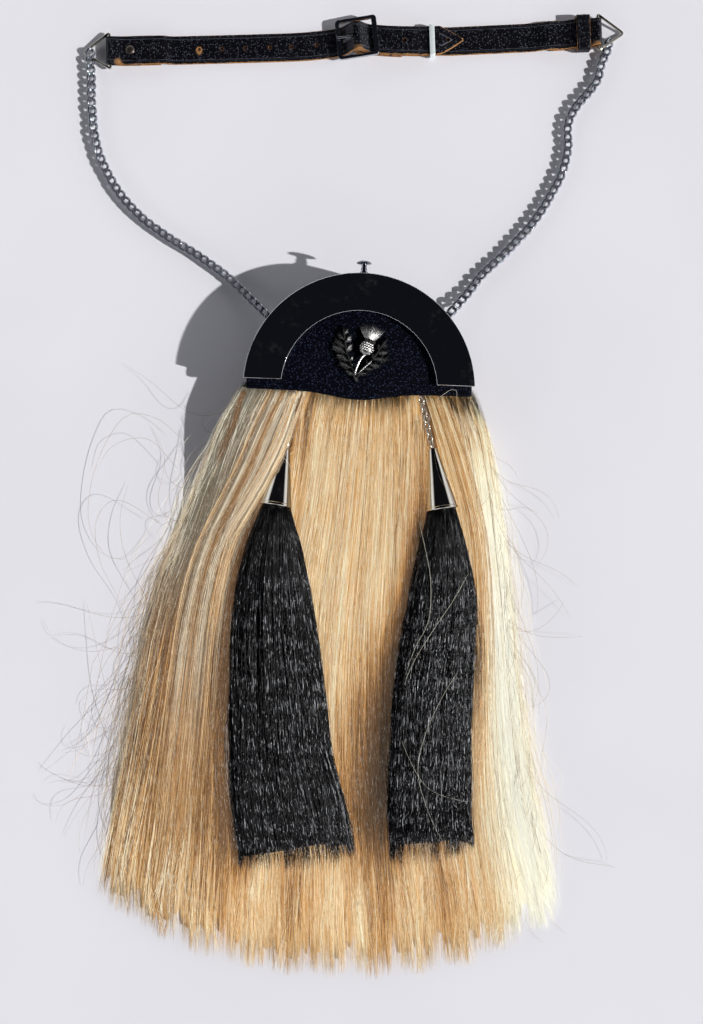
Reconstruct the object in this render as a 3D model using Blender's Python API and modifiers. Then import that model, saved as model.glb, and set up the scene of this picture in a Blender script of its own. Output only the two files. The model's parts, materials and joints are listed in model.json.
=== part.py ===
"""A full-dress horsehair sporran with its belt, lying on its back with the belt buckled.

Frame, in metres: X to the right and Y up the front as one looks at it, Z out of the front. The
origin is on the back flap's flat face, under the centre of the cantle's arch, and Z = 0 is the
surface that the whole object lies on. The belt has a frame of its own, an empty on the bar of
the left ring: X along the strap, Y across it, Z up.
"""

import math
from typing import NamedTuple

import bmesh
import bpy
from mathutils import Matrix, Vector

MM = 0.001
GAP = 0.3 * MM  # between pieces that touch
HAIRLINE = 0.05 * MM  # the least clearance, under what lies flat

# Cantle: a pressed metal arch, six inches wide, over a leather-faced plate
ARCH_R = 76 * MM
ARCH_INNER_R = 51 * MM
ARCH_FOOT_Y = 4.3 * MM
ARCH_FRONT = 28 * MM
ARCH_BEVEL = 1.0 * MM
ARCH_SHEET = 1.2 * MM
ARCH_STEPS = 32
RIM_BACK = 20 * MM
PLATE_BACK = 22 * MM
PLATE_FRONT = 25 * MM
PLATE_R = ARCH_R - ARCH_SHEET - 2 * GAP
PLATE_EDGE = 0.6 * MM
PLATE_STEPS = 28
LIP_Y = -2.0 * MM
LIP_BULGE = 4.8 * MM
LIP_BULGE_WIDTH = 24 * MM
LIP_STEPS = 20
KNOB_R = 4.85 * MM
KNOB_HEIGHT = 8.0 * MM
KNOB_STEM_R = 1.9 * MM
KNOB_CAP = 1.8 * MM
KNOB_FOOT = 0.8 * MM
KNOB_X = 0.4 * MM
KNOB_Z = 24 * MM

# Pouch: a flat leather bag with its mouth in the back, under a flap
LEATHER = 2.0 * MM
FLAP_THICKNESS = 1.8 * MM
FLAP_R = 54 * MM
FLAP_DROP = 42 * MM
FLAP_EDGE = 0.4 * MM
FLAP_STEPS = 18
POUCH_R = 64 * MM
POUCH_BACK = FLAP_THICKNESS + GAP
POUCH_FRONT = PLATE_BACK - GAP
POUCH_SIDE_Y = -60 * MM
POUCH_BOTTOM_Y = -98 * MM
HAIR_SHELF = 15 * MM
HAIR_SHELF_Y = 5 * MM
HAIR_SHELF_RISE = 3 * MM
POUCH_BOTTOM_FRONT = 9 * MM
MOUTH_WIDTH = 84 * MM
MOUTH_LOW_Y = -6 * MM
MOUTH_HIGH_Y = 38 * MM
MOUTH_CORNER_R = 6 * MM
POUCH_BEVEL = 1.5 * MM
POUCH_STEPS = 20
POUCH_FOOT_STEPS = 12

# Eyes on the pouch's sides, which take the belt chains
EYE_Z = 9 * MM
EYE_WIRE_R = 1.0 * MM
EYE_BEND_R = 3.5 * MM
EYE_REACH = 6.0 * MM
EYE_ANGLES = {"left": 142.4, "right": 42.7}

# Belt: a 19 mm strap, two triangular rings and two curb chains
STRAP_START = Vector((-177.0, 225.2, 0.0)) * MM
STRAP_TURN = math.radians(4.26)
RINGS_APART = 330 * MM
STRAP_WIDTH = 19 * MM
STRAP_THICKNESS = 1.6 * MM
STRAP_BOW = 1.4 * MM
RING_WIRE_R = 0.9 * MM
RING_HALF_BASE = 12.4 * MM
RING_REACH = 18.3 * MM
RING_CORNER_R = 2.2 * MM
RING_LOW_Z = 1.1 * MM
FOLD_R = RING_WIRE_R + GAP + STRAP_THICKNESS / 2
FLAT_Z = STRAP_THICKNESS / 2 + HAIRLINE
LAYER = STRAP_THICKNESS + GAP
CHAIN_R = 2.75 * MM
CHAIN_STEP = 13 * MM
STRAP_STEP = 6 * MM
STRAP_END_NARROW = 0.06  # share of its width that the strap loses at its folds

# Buckle, half way along the strap
BUCKLE_S = 167.5 * MM
BUCKLE_LENGTH = 28 * MM
BUCKLE_WIDTH = 26.5 * MM
BUCKLE_LEFT_BAR = 2.6 * MM
BUCKLE_RIGHT_BAR = 3.4 * MM
BUCKLE_RAIL = 2.0 * MM
BUCKLE_THICKNESS = 2.0 * MM
BUCKLE_BAR = 1.6 * MM
BUCKLE_Z = 5.75 * MM
BUCKLE_RISE = math.radians(7.0)
BUCKLE_TWIST = math.radians(4.0)
BUCKLE_SHIFT = 1.6 * MM
BAR_FOLD_R = BUCKLE_BAR / 2 * 1.42 + GAP + STRAP_THICKNESS / 2
PRONG_R = 0.8 * MM
KEEPER_S = 218 * MM
KEEPER_LENGTH = 3.5 * MM
KEEPER_WALL = 0.7 * MM
END_LOOP_S = 320 * MM
END_LOOP_LENGTH = 9 * MM
END_LOOP_WALL = 1.4 * MM
RIVET_S = 13.6 * MM
RIVET_R = 3.0 * MM
HOLE_R = 1.3 * MM
HOLE_STEPS = (60.0, 75.5, 91.3, 108.1, 122.6, 140.0, 199.5, 229.0)
PRONG_SLOT = (157.5, 166.7)

# Thistle badge, cast in low relief
BADGE_BACK = PLATE_FRONT + GAP
LEAF_THICKNESS = 1.6 * MM
BULB_CENTRE = Vector((3.8, 26.0, 0.0)) * MM
BULB_LEAN = math.radians(-14)
BULB_SIZE = Vector((5.4, 5.2, 3.6)) * MM
TUFT_SPREAD = math.radians(42)
TUFT_BLADES = 7
TUFT_LENGTH = 13.5 * MM
STEM_R = 1.2 * MM
STEM_FOOT = Vector((-2.2, 6.4, 0.0)) * MM

# Hair skirt
HAIR_TOP_Y = 3.8 * MM
HAIR_END_Y = -395 * MM
HAIR_SIDE_RISE = 50 * MM
HAIR_SIDE_POWER = 2.4
HAIR_LOCKS = 11
LOCK_COLUMNS = 4
LOCK_RIDGE = 1.8 * MM
LOCK_NOTCH = 15 * MM
LOCK_STAGGER = 5 * MM
HAIR_EDGE = 4.0 * MM
HAIR_SIDE_DROP_Y = -90 * MM
SHELF_HALF_WIDTH = 70 * MM
SHELF_FADE = 14 * MM
SHELF_END_Y = -103 * MM
SHELF_END_FADE = 30 * MM

# Tassels: a chain, a turned cone and a bundle of black hair each
CONE_TOP_R = 3.2 * MM
CONE_BASE_R = 10.4 * MM
CONE_WALL = 1.0 * MM
CONE_HOLE_R = 1.4 * MM
CONE_RIM = 2.0 * MM
TASSEL_BED = 4.0 * MM
TASSEL_BED_MARGIN = 4 * MM
TASSEL_BED_FADE = 5 * MM
TASSEL_SIDES = 28
TASSEL_LOCKS = 7
TASSEL_RIDGE = 0.07
TASSEL_FRAY = 9 * MM
HEAD_DEPTH = 12 * MM
LINK_HALF_LENGTH = 2.35 * MM
LINK_HALF_WIDTH = 1.65 * MM
LINK_WIRE_R = 0.5 * MM
LINK_PITCH = 3.85 * MM
LINK_SIDES = 10
LINK_WIRE_SIDES = 5
LINK_TURN = math.radians(42)


class HairRow(NamedTuple):
    """One row across the hair skirt, in millimetres: its edges and the height of its crown."""

    y: float
    left: float
    right: float
    crown: float


class TasselRow(NamedTuple):
    """One section of a tassel's hair, in millimetres: its edges and its half thickness."""

    y: float
    left: float
    right: float
    half: float


class Lobe(NamedTuple):
    """One spike of a thistle leaf: where it starts along the rib (0 to 1) and its tip, in mm."""

    along: float
    x: float
    y: float


HAIR_ROWS = (
    HairRow(3.8, -77, 76, 21.6),
    HairRow(-8, -83, 80, 21.6),
    HairRow(-20, -90, 85.5, 22.3),
    HairRow(-40, -98, 92, 20.5),
    HairRow(-60, -105, 96.5, 18.5),
    HairRow(-80, -111.5, 100.5, 17.0),
    HairRow(-106, -120, 105, 15.2),
    HairRow(-135, -130, 110, 12.6),
    HairRow(-165, -137, 114, 12.0),
    HairRow(-200, -142, 118.5, 11.4),
    HairRow(-240, -148, 125, 11.0),
    HairRow(-280, -155, 134.5, 10.5),
    HairRow(-315, -161, 145, 9.5),
    HairRow(-345, -166, 153, 8.0),
    HairRow(-395, -168, 160, 3.5),
)

TASSEL_ROWS = {
    "left": (
        TasselRow(-80, -62.0, -41.4, 9.0),
        TasselRow(-103, -69.0, -35.5, 8.3),
        TasselRow(-135, -75.0, -29.0, 7.4),
        TasselRow(-165, -76.5, -23.5, 6.9),
        TasselRow(-200, -75.5, -18.0, 6.5),
        TasselRow(-240, -73.5, -12.0, 6.0),
        TasselRow(-280, -71.0, 0.0, 5.4),
        TasselRow(-312, -68.0, 10.0, 3.8),
    ),
    "right": (
        TasselRow(-78, 48.0, 68.0, 9.0),
        TasselRow(-103, 45.0, 75.0, 8.3),
        TasselRow(-135, 41.0, 81.5, 7.4),
        TasselRow(-165, 37.0, 81.5, 6.9),
        TasselRow(-200, 34.0, 80.0, 6.5),
        TasselRow(-240, 33.0, 81.5, 6.0),
        TasselRow(-280, 31.5, 84.5, 5.4),
        TasselRow(-304, 32.5, 89.0, 3.8),
    ),
}

# The foot and the top of each cone's axis, and where its chain comes from under the lip, in mm
CONE_FEET = {"left": (-51.5, -78.6), "right": (57.8, -76.7)}
CONE_TOPS = {"left": (-46.9, -40.5), "right": (50.2, -36.8)}
CHAIN_TOPS = {"left": (-42.5, -3.1), "right": (40.8, -3.1)}

LEAF_ROOT = (-1.6, 7.0)
LEAVES = {
    "left": {
        "bend": (-7.5, 20.0),
        "tip": (-11.2, 40.5),
        "outer": (
            Lobe(0.22, -10.6, 14.6),
            Lobe(0.40, -15.4, 20.6),
            Lobe(0.58, -18.9, 27.0),
            Lobe(0.75, -17.0, 33.4),
        ),
        "inner": (Lobe(0.50, -3.6, 26.5), Lobe(0.72, -5.2, 34.6)),
    },
    "right": {
        "bend": (9.5, 16.5),
        "tip": (17.4, 34.5),
        "outer": (
            Lobe(0.20, 5.8, 8.6),
            Lobe(0.40, 13.6, 13.4),
            Lobe(0.60, 19.2, 19.4),
            Lobe(0.80, 19.6, 27.2),
        ),
        "inner": (Lobe(0.48, 5.4, 19.6), Lobe(0.78, 10.6, 30.6)),
    },
}

# Routes of the belt chains from ring to eye, in mm. The rest of each route is worked out.
CHAIN_ROUTES = {
    "left": (
        (-190.6, 218.1), (-189.2, 205.0), (-188.2, 189.0), (-186.2, 172.0), (-182.0, 156.0),
        (-174.5, 141.0), (-165.0, 127.2), (-152.0, 114.0), (-134.0, 101.5), (-114.0, 90.0),
        (-94.5, 77.1), (-80.0, 65.2),
    ),
    "right": (
        (159.0, 237.4), (155.8, 229.0), (153.8, 219.0), (147.0, 208.5), (139.0, 198.5),
        (134.6, 187.0), (135.2, 172.0), (132.0, 155.0), (123.5, 136.5), (112.5, 118.5),
        (97.5, 100.8), (81.5, 84.5), (70.0, 69.0),
    ),
}
CHAIN_RISE_FROM = 0.86  # share of the route after which the chain climbs to its eye

COLOURS = {
    # name: base colour, roughness, metallic
    "chrome_arch": ((0.55, 0.56, 0.58), 0.08, 1.0),
    "navy_leather": ((0.012, 0.014, 0.022), 0.55, 0.0),
    "black_leather": ((0.014, 0.013, 0.012), 0.45, 0.0),
    "dark_chrome": ((0.42, 0.43, 0.45), 0.18, 1.0),
    "bright_steel": ((0.78, 0.78, 0.78), 0.12, 1.0),
    "antique_silver": ((0.20, 0.20, 0.21), 0.38, 1.0),
    "blond_hair": ((0.72, 0.52, 0.30), 0.50, 0.0),
    "black_hair": ((0.010, 0.010, 0.012), 0.45, 0.0),
}


def clear_scene():
    """Empties the file and makes the collections for the parts and for their cutters."""
    for old in list(bpy.data.objects):
        bpy.data.objects.remove(old, do_unlink=True)
    scene = bpy.context.scene
    scene.unit_settings.scale_length = 1.0
    for name in ("horsehair_sporran", "cutters"):
        scene.collection.children.link(bpy.data.collections.new(name))


def finish(name):
    """The material of that name, made once."""
    found = bpy.data.materials.get(name)
    if found:
        return found
    colour, roughness, metallic = COLOURS[name]
    made = bpy.data.materials.new(name)
    made.use_nodes = True
    shader = made.node_tree.nodes["Principled BSDF"]
    shader.inputs["Base Color"].default_value = (*colour, 1.0)
    shader.inputs["Roughness"].default_value = roughness
    shader.inputs["Metallic"].default_value = metallic
    return made


def add_part(name, data, look, parent=None):
    """Links an object of the part, with its material."""
    made = bpy.data.objects.new(name, data)
    data.materials.append(finish(look))
    bpy.data.collections["horsehair_sporran"].objects.link(made)
    made.parent = parent
    return made


def add_cutter(name, data, parent=None):
    """Links an object that only cuts or joins another."""
    made = bpy.data.objects.new(name, data)
    bpy.data.collections["cutters"].objects.link(made)
    made.parent = parent
    made.hide_render = True
    made.display_type = "WIRE"
    return made


def combine(target, other, operation):
    """Adds a Boolean modifier with the exact solver."""
    step = target.modifiers.new(other.name, "BOOLEAN")
    step.operation = operation
    step.solver = "EXACT"
    step.object = other


def round_edges(target, width, segments=2, angle=50):
    """Adds a Bevel modifier on the edges sharper than the angle, in degrees."""
    step = target.modifiers.new("rounded edges", "BEVEL")
    step.width = width
    step.segments = segments
    step.limit_method = "ANGLE"
    step.angle_limit = math.radians(angle)


def to_mesh(bm, name, smooth_angle=None):
    """Turns a bmesh into a mesh with its faces outward, smooth below the angle in degrees."""
    bmesh.ops.recalc_face_normals(bm, faces=bm.faces)
    if bm.calc_volume(signed=True) < 0:
        bmesh.ops.reverse_faces(bm, faces=bm.faces)
    mesh = bpy.data.meshes.new(name)
    bm.to_mesh(mesh)
    bm.free()
    if smooth_angle:
        mesh.shade_smooth()
        mesh.set_sharp_from_angle(angle=math.radians(smooth_angle))
    return mesh


def column(table, name, y):
    """A column of a table read at y, in metres, straight between its rows."""
    rows = sorted(table, key=lambda row: row.y)
    y = min(max(y / MM, rows[0].y), rows[-1].y)
    for low, high in zip(rows, rows[1:]):
        if y <= high.y:
            share = (y - low.y) / (high.y - low.y)
            return (getattr(low, name) * (1 - share) + getattr(high, name) * share) * MM
    return getattr(rows[-1], name) * MM


def ease(value, low, high):
    """0 below low, 1 above high, and smooth between them. It falls where low is the greater."""
    share = min(max((value - low) / (high - low), 0.0), 1.0)
    return share * share * (3 - 2 * share)


def smooth_route(points, step):
    """Points about a step apart on a smooth curve through the given ones."""
    points = [Vector(p) for p in points]
    ends = [2 * points[0] - points[1], *points, 2 * points[-1] - points[-2]]
    route = [points[0]]
    for before, start, end, after in zip(ends, ends[1:], ends[2:], ends[3:]):
        count = max(1, round((end - start).length / step))
        for i in range(1, count + 1):
            t = i / count
            route.append(
                0.5
                * (
                    2 * start
                    + (end - before) * t
                    + (2 * before - 5 * start + 4 * end - after) * t**2
                    + (3 * start - before - 3 * end + after) * t**3
                )
            )
    return route


def prism(outline, low, high, name):
    """A flat outline extruded from one height to another."""
    bm = bmesh.new()
    face = bm.faces.new([bm.verts.new((x, y, low)) for x, y in outline])
    extruded = bmesh.ops.extrude_face_region(bm, geom=[face], use_keep_orig=True)
    raised = [v for v in extruded["geom"] if isinstance(v, bmesh.types.BMVert)]
    bmesh.ops.translate(bm, verts=raised, vec=(0, 0, high - low))
    return to_mesh(bm, name)


def box(low, high, name):
    """A box between two corners."""
    outline = ((low[0], low[1]), (high[0], low[1]), (high[0], high[1]), (low[0], high[1]))
    return prism(outline, low[2], high[2], name)


def arc(centre, radius, start, end, count):
    """Points on an arc, from one angle to another in degrees."""
    angles = [math.radians(start + (end - start) * i / count) for i in range(count + 1)]
    return [(centre[0] + radius * math.cos(a), centre[1] + radius * math.sin(a)) for a in angles]


def rounded_box(length, width, radius, centre=(0.0, 0.0)):
    """The outline of a rectangle with round corners."""
    corners = ((1, 1, 0), (-1, 1, 90), (-1, -1, 180), (1, -1, 270))
    outline = []
    for side_x, side_y, start in corners:
        middle = (
            centre[0] + side_x * (length / 2 - radius),
            centre[1] + side_y * (width / 2 - radius),
        )
        outline += arc(middle, radius, start, start + 90, 3)
    return outline


def turned(name, profile, steps, look):
    """A profile of (radius, height), turned about Z. It runs down its outer side."""
    bm = bmesh.new()
    verts = [bm.verts.new((r, 0, h)) for r, h in profile]
    for one, other in zip(verts, verts[1:]):
        bm.edges.new((one, other))
    if profile[0][0] > 0:
        bm.edges.new((verts[-1], verts[0]))
    mesh = bpy.data.meshes.new(name)
    bm.to_mesh(mesh)
    bm.free()
    made = add_part(name, mesh, look)
    screw = made.modifiers.new("turned", "SCREW")
    screw.steps = screw.render_steps = steps
    screw.use_merge_vertices = True
    screw.merge_threshold = 0.00001
    screw.use_smooth_shade = True
    return made


def wire(name, points, radius, look, cyclic=False, resolution=1, parent=None):
    """A round wire or tube through points."""
    curve = bpy.data.curves.new(name, "CURVE")
    curve.dimensions = "3D"
    curve.bevel_depth = radius
    curve.bevel_resolution = resolution
    curve.use_fill_caps = True
    spline = curve.splines.new("POLY")
    spline.points.add(len(points) - 1)
    for target, place in zip(spline.points, points):
        target.co = (*place, 1.0)
    spline.use_cyclic_u = cyclic
    return add_part(name, curve, look, parent)


def loft(rings, name, smooth_angle=40):
    """A closed skin over rings of points, with a strip of faces from side to side at each end."""
    bm = bmesh.new()
    made = [[bm.verts.new(point) for point in ring] for ring in rings]
    for one, other in zip(made, made[1:]):
        for i in range(len(one)):
            j = (i + 1) % len(one)
            bm.faces.new((one[i], one[j], other[j], other[i]))
    for ring in (made[0], made[-1]):
        count = len(ring)
        bm.faces.new((ring[0], ring[1], ring[-1]))
        for i in range(1, count // 2 - 1):
            bm.faces.new((ring[i], ring[i + 1], ring[count - i - 1], ring[count - i]))
        bm.faces.new((ring[count // 2 - 1], ring[count // 2], ring[count // 2 + 1]))
    return to_mesh(bm, name, smooth_angle)


# ---------------------------------------------------------------- cantle


def arch_solid(section, foot_y, name):
    """Half a ring turned from a section of (radius, height), cut off level at its two feet."""
    bm = bmesh.new()
    verts = [bm.verts.new((r, 0, h)) for r, h in section]
    edges = [bm.edges.new((verts[i - 1], verts[i])) for i in range(len(verts))]
    bmesh.ops.spin(
        bm, geom=verts + edges, cent=(0, 0, 0), axis=(0, 0, 1), angle=math.pi, steps=ARCH_STEPS
    )
    cut = bmesh.ops.bisect_plane(
        bm,
        geom=bm.verts[:] + bm.edges[:] + bm.faces[:],
        plane_co=(0, foot_y, 0),
        plane_no=(0, -1, 0),
        clear_outer=True,
    )
    rim = [e for e in cut["geom_cut"] if isinstance(e, bmesh.types.BMEdge)]
    bmesh.ops.edgenet_fill(bm, edges=rim)
    return to_mesh(bm, name, 30)


def make_arch():
    """The pressed metal arch: a front, a deep outer rim, a low inner rim and closed feet."""
    inner_back = PLATE_FRONT + GAP
    section = (
        (ARCH_R, RIM_BACK),
        (ARCH_R, ARCH_FRONT - ARCH_BEVEL),
        (ARCH_R - ARCH_BEVEL, ARCH_FRONT),
        (ARCH_INNER_R + ARCH_BEVEL, ARCH_FRONT),
        (ARCH_INNER_R, ARCH_FRONT - ARCH_BEVEL),
        (ARCH_INNER_R, inner_back),
        (ARCH_R - ARCH_SHEET, inner_back),
        (ARCH_R - ARCH_SHEET, RIM_BACK),
    )
    mesh = arch_solid(section, ARCH_FOOT_Y, "cantle_band")
    bm = bmesh.new()
    bm.from_mesh(mesh)
    cut = bmesh.ops.bisect_plane(
        bm,
        geom=bm.verts[:] + bm.edges[:] + bm.faces[:],
        plane_co=(0, ARCH_FOOT_Y, ARCH_FRONT - ARCH_BEVEL),
        plane_no=(0, -1, 1),
        clear_outer=True,
    )
    rim = [e for e in cut["geom_cut"] if isinstance(e, bmesh.types.BMEdge)]
    bmesh.ops.edgenet_fill(bm, edges=rim)
    band = add_part("cantle_band", to_mesh(bm, "cantle_band", 30), "chrome_arch")
    hollow = (
        (ARCH_INNER_R + ARCH_SHEET, inner_back - 2 * MM),
        (ARCH_INNER_R + ARCH_SHEET, ARCH_FRONT - ARCH_SHEET),
        (ARCH_R - ARCH_SHEET, ARCH_FRONT - ARCH_SHEET),
        (ARCH_R - ARCH_SHEET, inner_back - 2 * MM),
    )
    cutter = arch_solid(hollow, ARCH_FOOT_Y + ARCH_SHEET, "arch hollow")
    combine(band, add_cutter("arch hollow", cutter), "DIFFERENCE")


def lip_y(x):
    """The lower edge of the leather face, with its shallow bulge in the middle."""
    return LIP_Y - LIP_BULGE * math.exp(-((x / LIP_BULGE_WIDTH) ** 2))


def make_face():
    """The leather-faced plate inside the arch and below it."""
    outline = arc((0, 0), PLATE_R, 0, 180, PLATE_STEPS)
    across = [PLATE_R * (2 * i / LIP_STEPS - 1) for i in range(LIP_STEPS + 1)]
    outline += [(x, lip_y(x)) for x in across]
    face = add_part(
        "cantle_face", prism(outline, PLATE_BACK, PLATE_FRONT, "cantle_face"), "navy_leather"
    )
    round_edges(face, PLATE_EDGE, segments=1, angle=60)


def make_knob():
    """The mushroom-headed knob on top of the arch."""
    cap = KNOB_HEIGHT - KNOB_CAP
    profile = (
        (0, KNOB_HEIGHT),
        (0.5 * KNOB_R, KNOB_HEIGHT - 0.15 * MM),
        (0.85 * KNOB_R, KNOB_HEIGHT - 0.7 * MM),
        (KNOB_R, cap + 0.4 * MM),
        (0.95 * KNOB_R, cap),
        (KNOB_STEM_R, cap - 0.2 * MM),
        (KNOB_STEM_R, KNOB_FOOT),
        (1.4 * KNOB_STEM_R, KNOB_FOOT),
        (1.4 * KNOB_STEM_R, 0),
        (0, 0),
    )
    knob = turned("top_knob", profile, 12, "dark_chrome")
    knob.rotation_euler = (-math.pi / 2, 0, 0)
    knob.location = (KNOB_X, ARCH_R + GAP, KNOB_Z)


# ---------------------------------------------------------------- thistle badge


def leaf_outline(leaf):
    """A spiked leaf: out along one side of its rib, round the tip and back along the other."""
    root, bend, tip = (Vector(p) * MM for p in (LEAF_ROOT, leaf["bend"], leaf["tip"]))

    def rib(t):
        return root * (1 - t) ** 2 + bend * 2 * t * (1 - t) + tip * t**2

    def side(lobes):
        edge = []
        for i, lobe in enumerate(lobes):
            end = Vector((lobe.x, lobe.y)) * MM
            after = lobes[i + 1].along if i + 1 < len(lobes) else (lobe.along + 1) / 2
            notch = rib((lobe.along + after) / 2)
            edge += [end, notch.lerp(end, 0.22)]
        return edge

    inner, outer = side(leaf["inner"]), side(leaf["outer"])
    width = (outer[0] - inner[0]).normalized() * 1.0 * MM
    path = [root - width, *inner, tip, *reversed(outer), root + width]
    return [(p.x, p.y) for p in path]


def make_badge():
    """Two spiked leaves, a stem, a bulb and a fan of bristles, joined into one casting."""
    left, right = (
        prism(leaf_outline(LEAVES[side]), BADGE_BACK, BADGE_BACK + LEAF_THICKNESS, side)
        for side in ("left", "right")
    )
    badge = add_part("thistle_badge", left, "antique_silver")
    combine(badge, add_cutter("right leaf", right), "UNION")

    turn = Matrix.Rotation(BULB_LEAN, 4, "Z")
    bm = bmesh.new()
    bmesh.ops.create_uvsphere(bm, u_segments=14, v_segments=8, radius=1.0)
    scale = Matrix.Diagonal((*BULB_SIZE, 1.0))
    centre = BULB_CENTRE + Vector((0, 0, BADGE_BACK + 1.2 * MM))
    bm.transform(Matrix.Translation(centre) @ turn @ scale)
    low = [v for v in bm.verts if v.co.z < BADGE_BACK]
    for vert in low:
        vert.co.z = BADGE_BACK
    bmesh.ops.dissolve_limit(
        bm, angle_limit=math.radians(1), verts=bm.verts[:], edges=bm.edges[:]
    )
    combine(badge, add_cutter("bulb", to_mesh(bm, "bulb")), "UNION")

    tuft = []
    base = BULB_CENTRE + turn @ Vector((0, 0.62 * BULB_SIZE.y, 0))
    for i in range(TUFT_BLADES):
        share = i / (TUFT_BLADES - 1) - 0.5
        for offset, length in ((-0.5, 0.86), (0.0, 1.0), (0.5, 0.86)):
            angle = BULB_LEAN - (share + offset / TUFT_BLADES) * TUFT_SPREAD
            reach = TUFT_LENGTH * length
            tuft.append((base.x + reach * math.sin(-angle), base.y + reach * math.cos(angle)))
    root = turn @ Vector((2.6 * MM, 0, 0))
    fan = [(base.x - root.x, base.y - root.y), *tuft, (base.x + root.x, base.y + root.y)]
    mesh = prism(fan[::-1], BADGE_BACK + 0.2 * MM, BADGE_BACK + 2.6 * MM, "tuft")
    combine(badge, add_cutter("tuft", mesh), "UNION")

    top = BULB_CENTRE + turn @ Vector((0, -0.7 * BULB_SIZE.y, 0))
    way = STEM_FOOT - top
    bm = bmesh.new()
    bmesh.ops.create_cone(
        bm,
        cap_ends=True,
        segments=8,
        radius1=STEM_R,
        radius2=0.9 * STEM_R,
        depth=way.length,
        matrix=Matrix.Translation((top + STEM_FOOT) / 2 + Vector((0, 0, BADGE_BACK + STEM_R)))
        @ way.to_track_quat("Z", "Y").to_matrix().to_4x4(),
    )
    combine(badge, add_cutter("stem", to_mesh(bm, "stem")), "UNION")


# ---------------------------------------------------------------- pouch


def pouch_outline(inset):
    """The pouch from the front: a half circle, straight sides and a shallow round bottom."""
    radius = POUCH_R - inset
    outline = arc((0, 0), radius, 0, 180, POUCH_STEPS)
    depth = POUCH_SIDE_Y - POUCH_BOTTOM_Y - inset
    for i in range(POUCH_FOOT_STEPS + 1):
        angle = math.pi * (1 + i / POUCH_FOOT_STEPS)
        outline.append((radius * math.cos(angle), POUCH_SIDE_Y + depth * math.sin(angle)))
    return outline


def pouch_front(y, inset=0.0):
    """The height of the pouch's front: high behind the cantle, a shelf for the hair below it."""
    step_y = HAIR_SHELF_Y + 1.15 * inset
    fall = (HAIR_SHELF_Y - y) / (HAIR_SHELF_Y - POUCH_BOTTOM_Y)
    shelf = HAIR_SHELF - (HAIR_SHELF - POUCH_BOTTOM_FRONT) * max(fall, 0.0)
    share = min(max((y - step_y) / HAIR_SHELF_RISE, 0.0), 1.0)
    return shelf + (POUCH_FRONT - shelf) * share - inset


def pouch_body(inset, name):
    """The pouch as a closed body, smaller by the inset on every side."""
    mesh = prism(pouch_outline(inset), POUCH_BACK + inset, POUCH_FRONT, name)
    bm = bmesh.new()
    bm.from_mesh(mesh)
    step_y = HAIR_SHELF_Y + 1.15 * inset
    for y in (step_y, step_y + HAIR_SHELF_RISE):
        bmesh.ops.bisect_plane(
            bm,
            geom=bm.verts[:] + bm.edges[:] + bm.faces[:],
            plane_co=(0, y, 0),
            plane_no=(0, 1, 0),
        )
    for vert in bm.verts:
        if vert.co.z > POUCH_BACK + inset + MM:
            vert.co.z = pouch_front(vert.co.y, inset)
    return to_mesh(bm, name, 40)


def make_pouch():
    """The hollow leather pouch, with its mouth in the back, and the flap that covers it."""
    pouch = add_part("pouch_shell", pouch_body(0.0, "pouch_shell"), "black_leather")
    round_edges(pouch, POUCH_BEVEL)
    hollow = add_cutter("pouch hollow", pouch_body(LEATHER, "pouch hollow"))
    combine(pouch, hollow, "DIFFERENCE")
    middle = (0.0, (MOUTH_LOW_Y + MOUTH_HIGH_Y) / 2)
    outline = rounded_box(MOUTH_WIDTH, MOUTH_HIGH_Y - MOUTH_LOW_Y, MOUTH_CORNER_R, middle)
    mouth = prism(outline, POUCH_BACK - LEATHER, POUCH_BACK + 2 * LEATHER, "mouth")
    combine(pouch, add_cutter("mouth", mouth), "DIFFERENCE")

    outline = arc((0, 0), FLAP_R, 0, 180, FLAP_STEPS)
    for i in range(1, FLAP_STEPS):
        angle = math.pi * (1 + i / FLAP_STEPS)
        outline.append((FLAP_R * math.cos(angle), FLAP_DROP * math.sin(angle)))
    mesh = prism(outline, 0.0, FLAP_THICKNESS, "pouch_flap")
    round_edges(add_part("pouch_flap", mesh, "black_leather"), FLAP_EDGE, segments=1)


def make_eyes():
    """A bent wire eye on each side of the pouch, which takes a belt chain."""
    for side, degrees in EYE_ANGLES.items():
        start = POUCH_R + GAP + 2 * HAIRLINE
        bend = start + EYE_REACH
        path = [(start, -EYE_BEND_R), *arc((bend, 0), EYE_BEND_R, -90, 90, 6)]
        path.append((start, EYE_BEND_R))
        turn = Matrix.Rotation(math.radians(degrees), 3, "Z")
        points = [turn @ Vector((x, y, 0)) + Vector((0, 0, EYE_Z)) for x, y in path]
        wire(f"hanger_eye_{side}", points, EYE_WIRE_R, "dark_chrome")


# ---------------------------------------------------------------- belt


def add_strap_frame():
    """The empty that carries the strap, its rings and its buckle."""
    frame = bpy.data.objects.new("strap_frame", None)
    bpy.data.collections["horsehair_sporran"].objects.link(frame)
    frame.location = STRAP_START
    frame.rotation_euler = (0, 0, STRAP_TURN)
    return frame


def strap_side(s):
    """How far the strap's middle lies off the straight line between its rings."""
    bow = -STRAP_BOW * math.sin(math.pi * s / RINGS_APART)
    near_buckle = math.exp(-(((s - BUCKLE_S) / (22 * MM)) ** 2))
    return bow + (BUCKLE_SHIFT + STRAP_BOW) * near_buckle


def fold(centre_s, centre_z, radius, side, upward=True, count=7):
    """Points (s, z) round the outside of a bar, from under it to over it, or back."""
    points = []
    for i in range(count + 1):
        angle = math.pi * (i / count - 0.5) if upward else math.pi * (0.5 - i / count)
        points.append(
            (centre_s + side * radius * math.cos(angle), centre_z + radius * math.sin(angle))
        )
    return points


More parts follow.
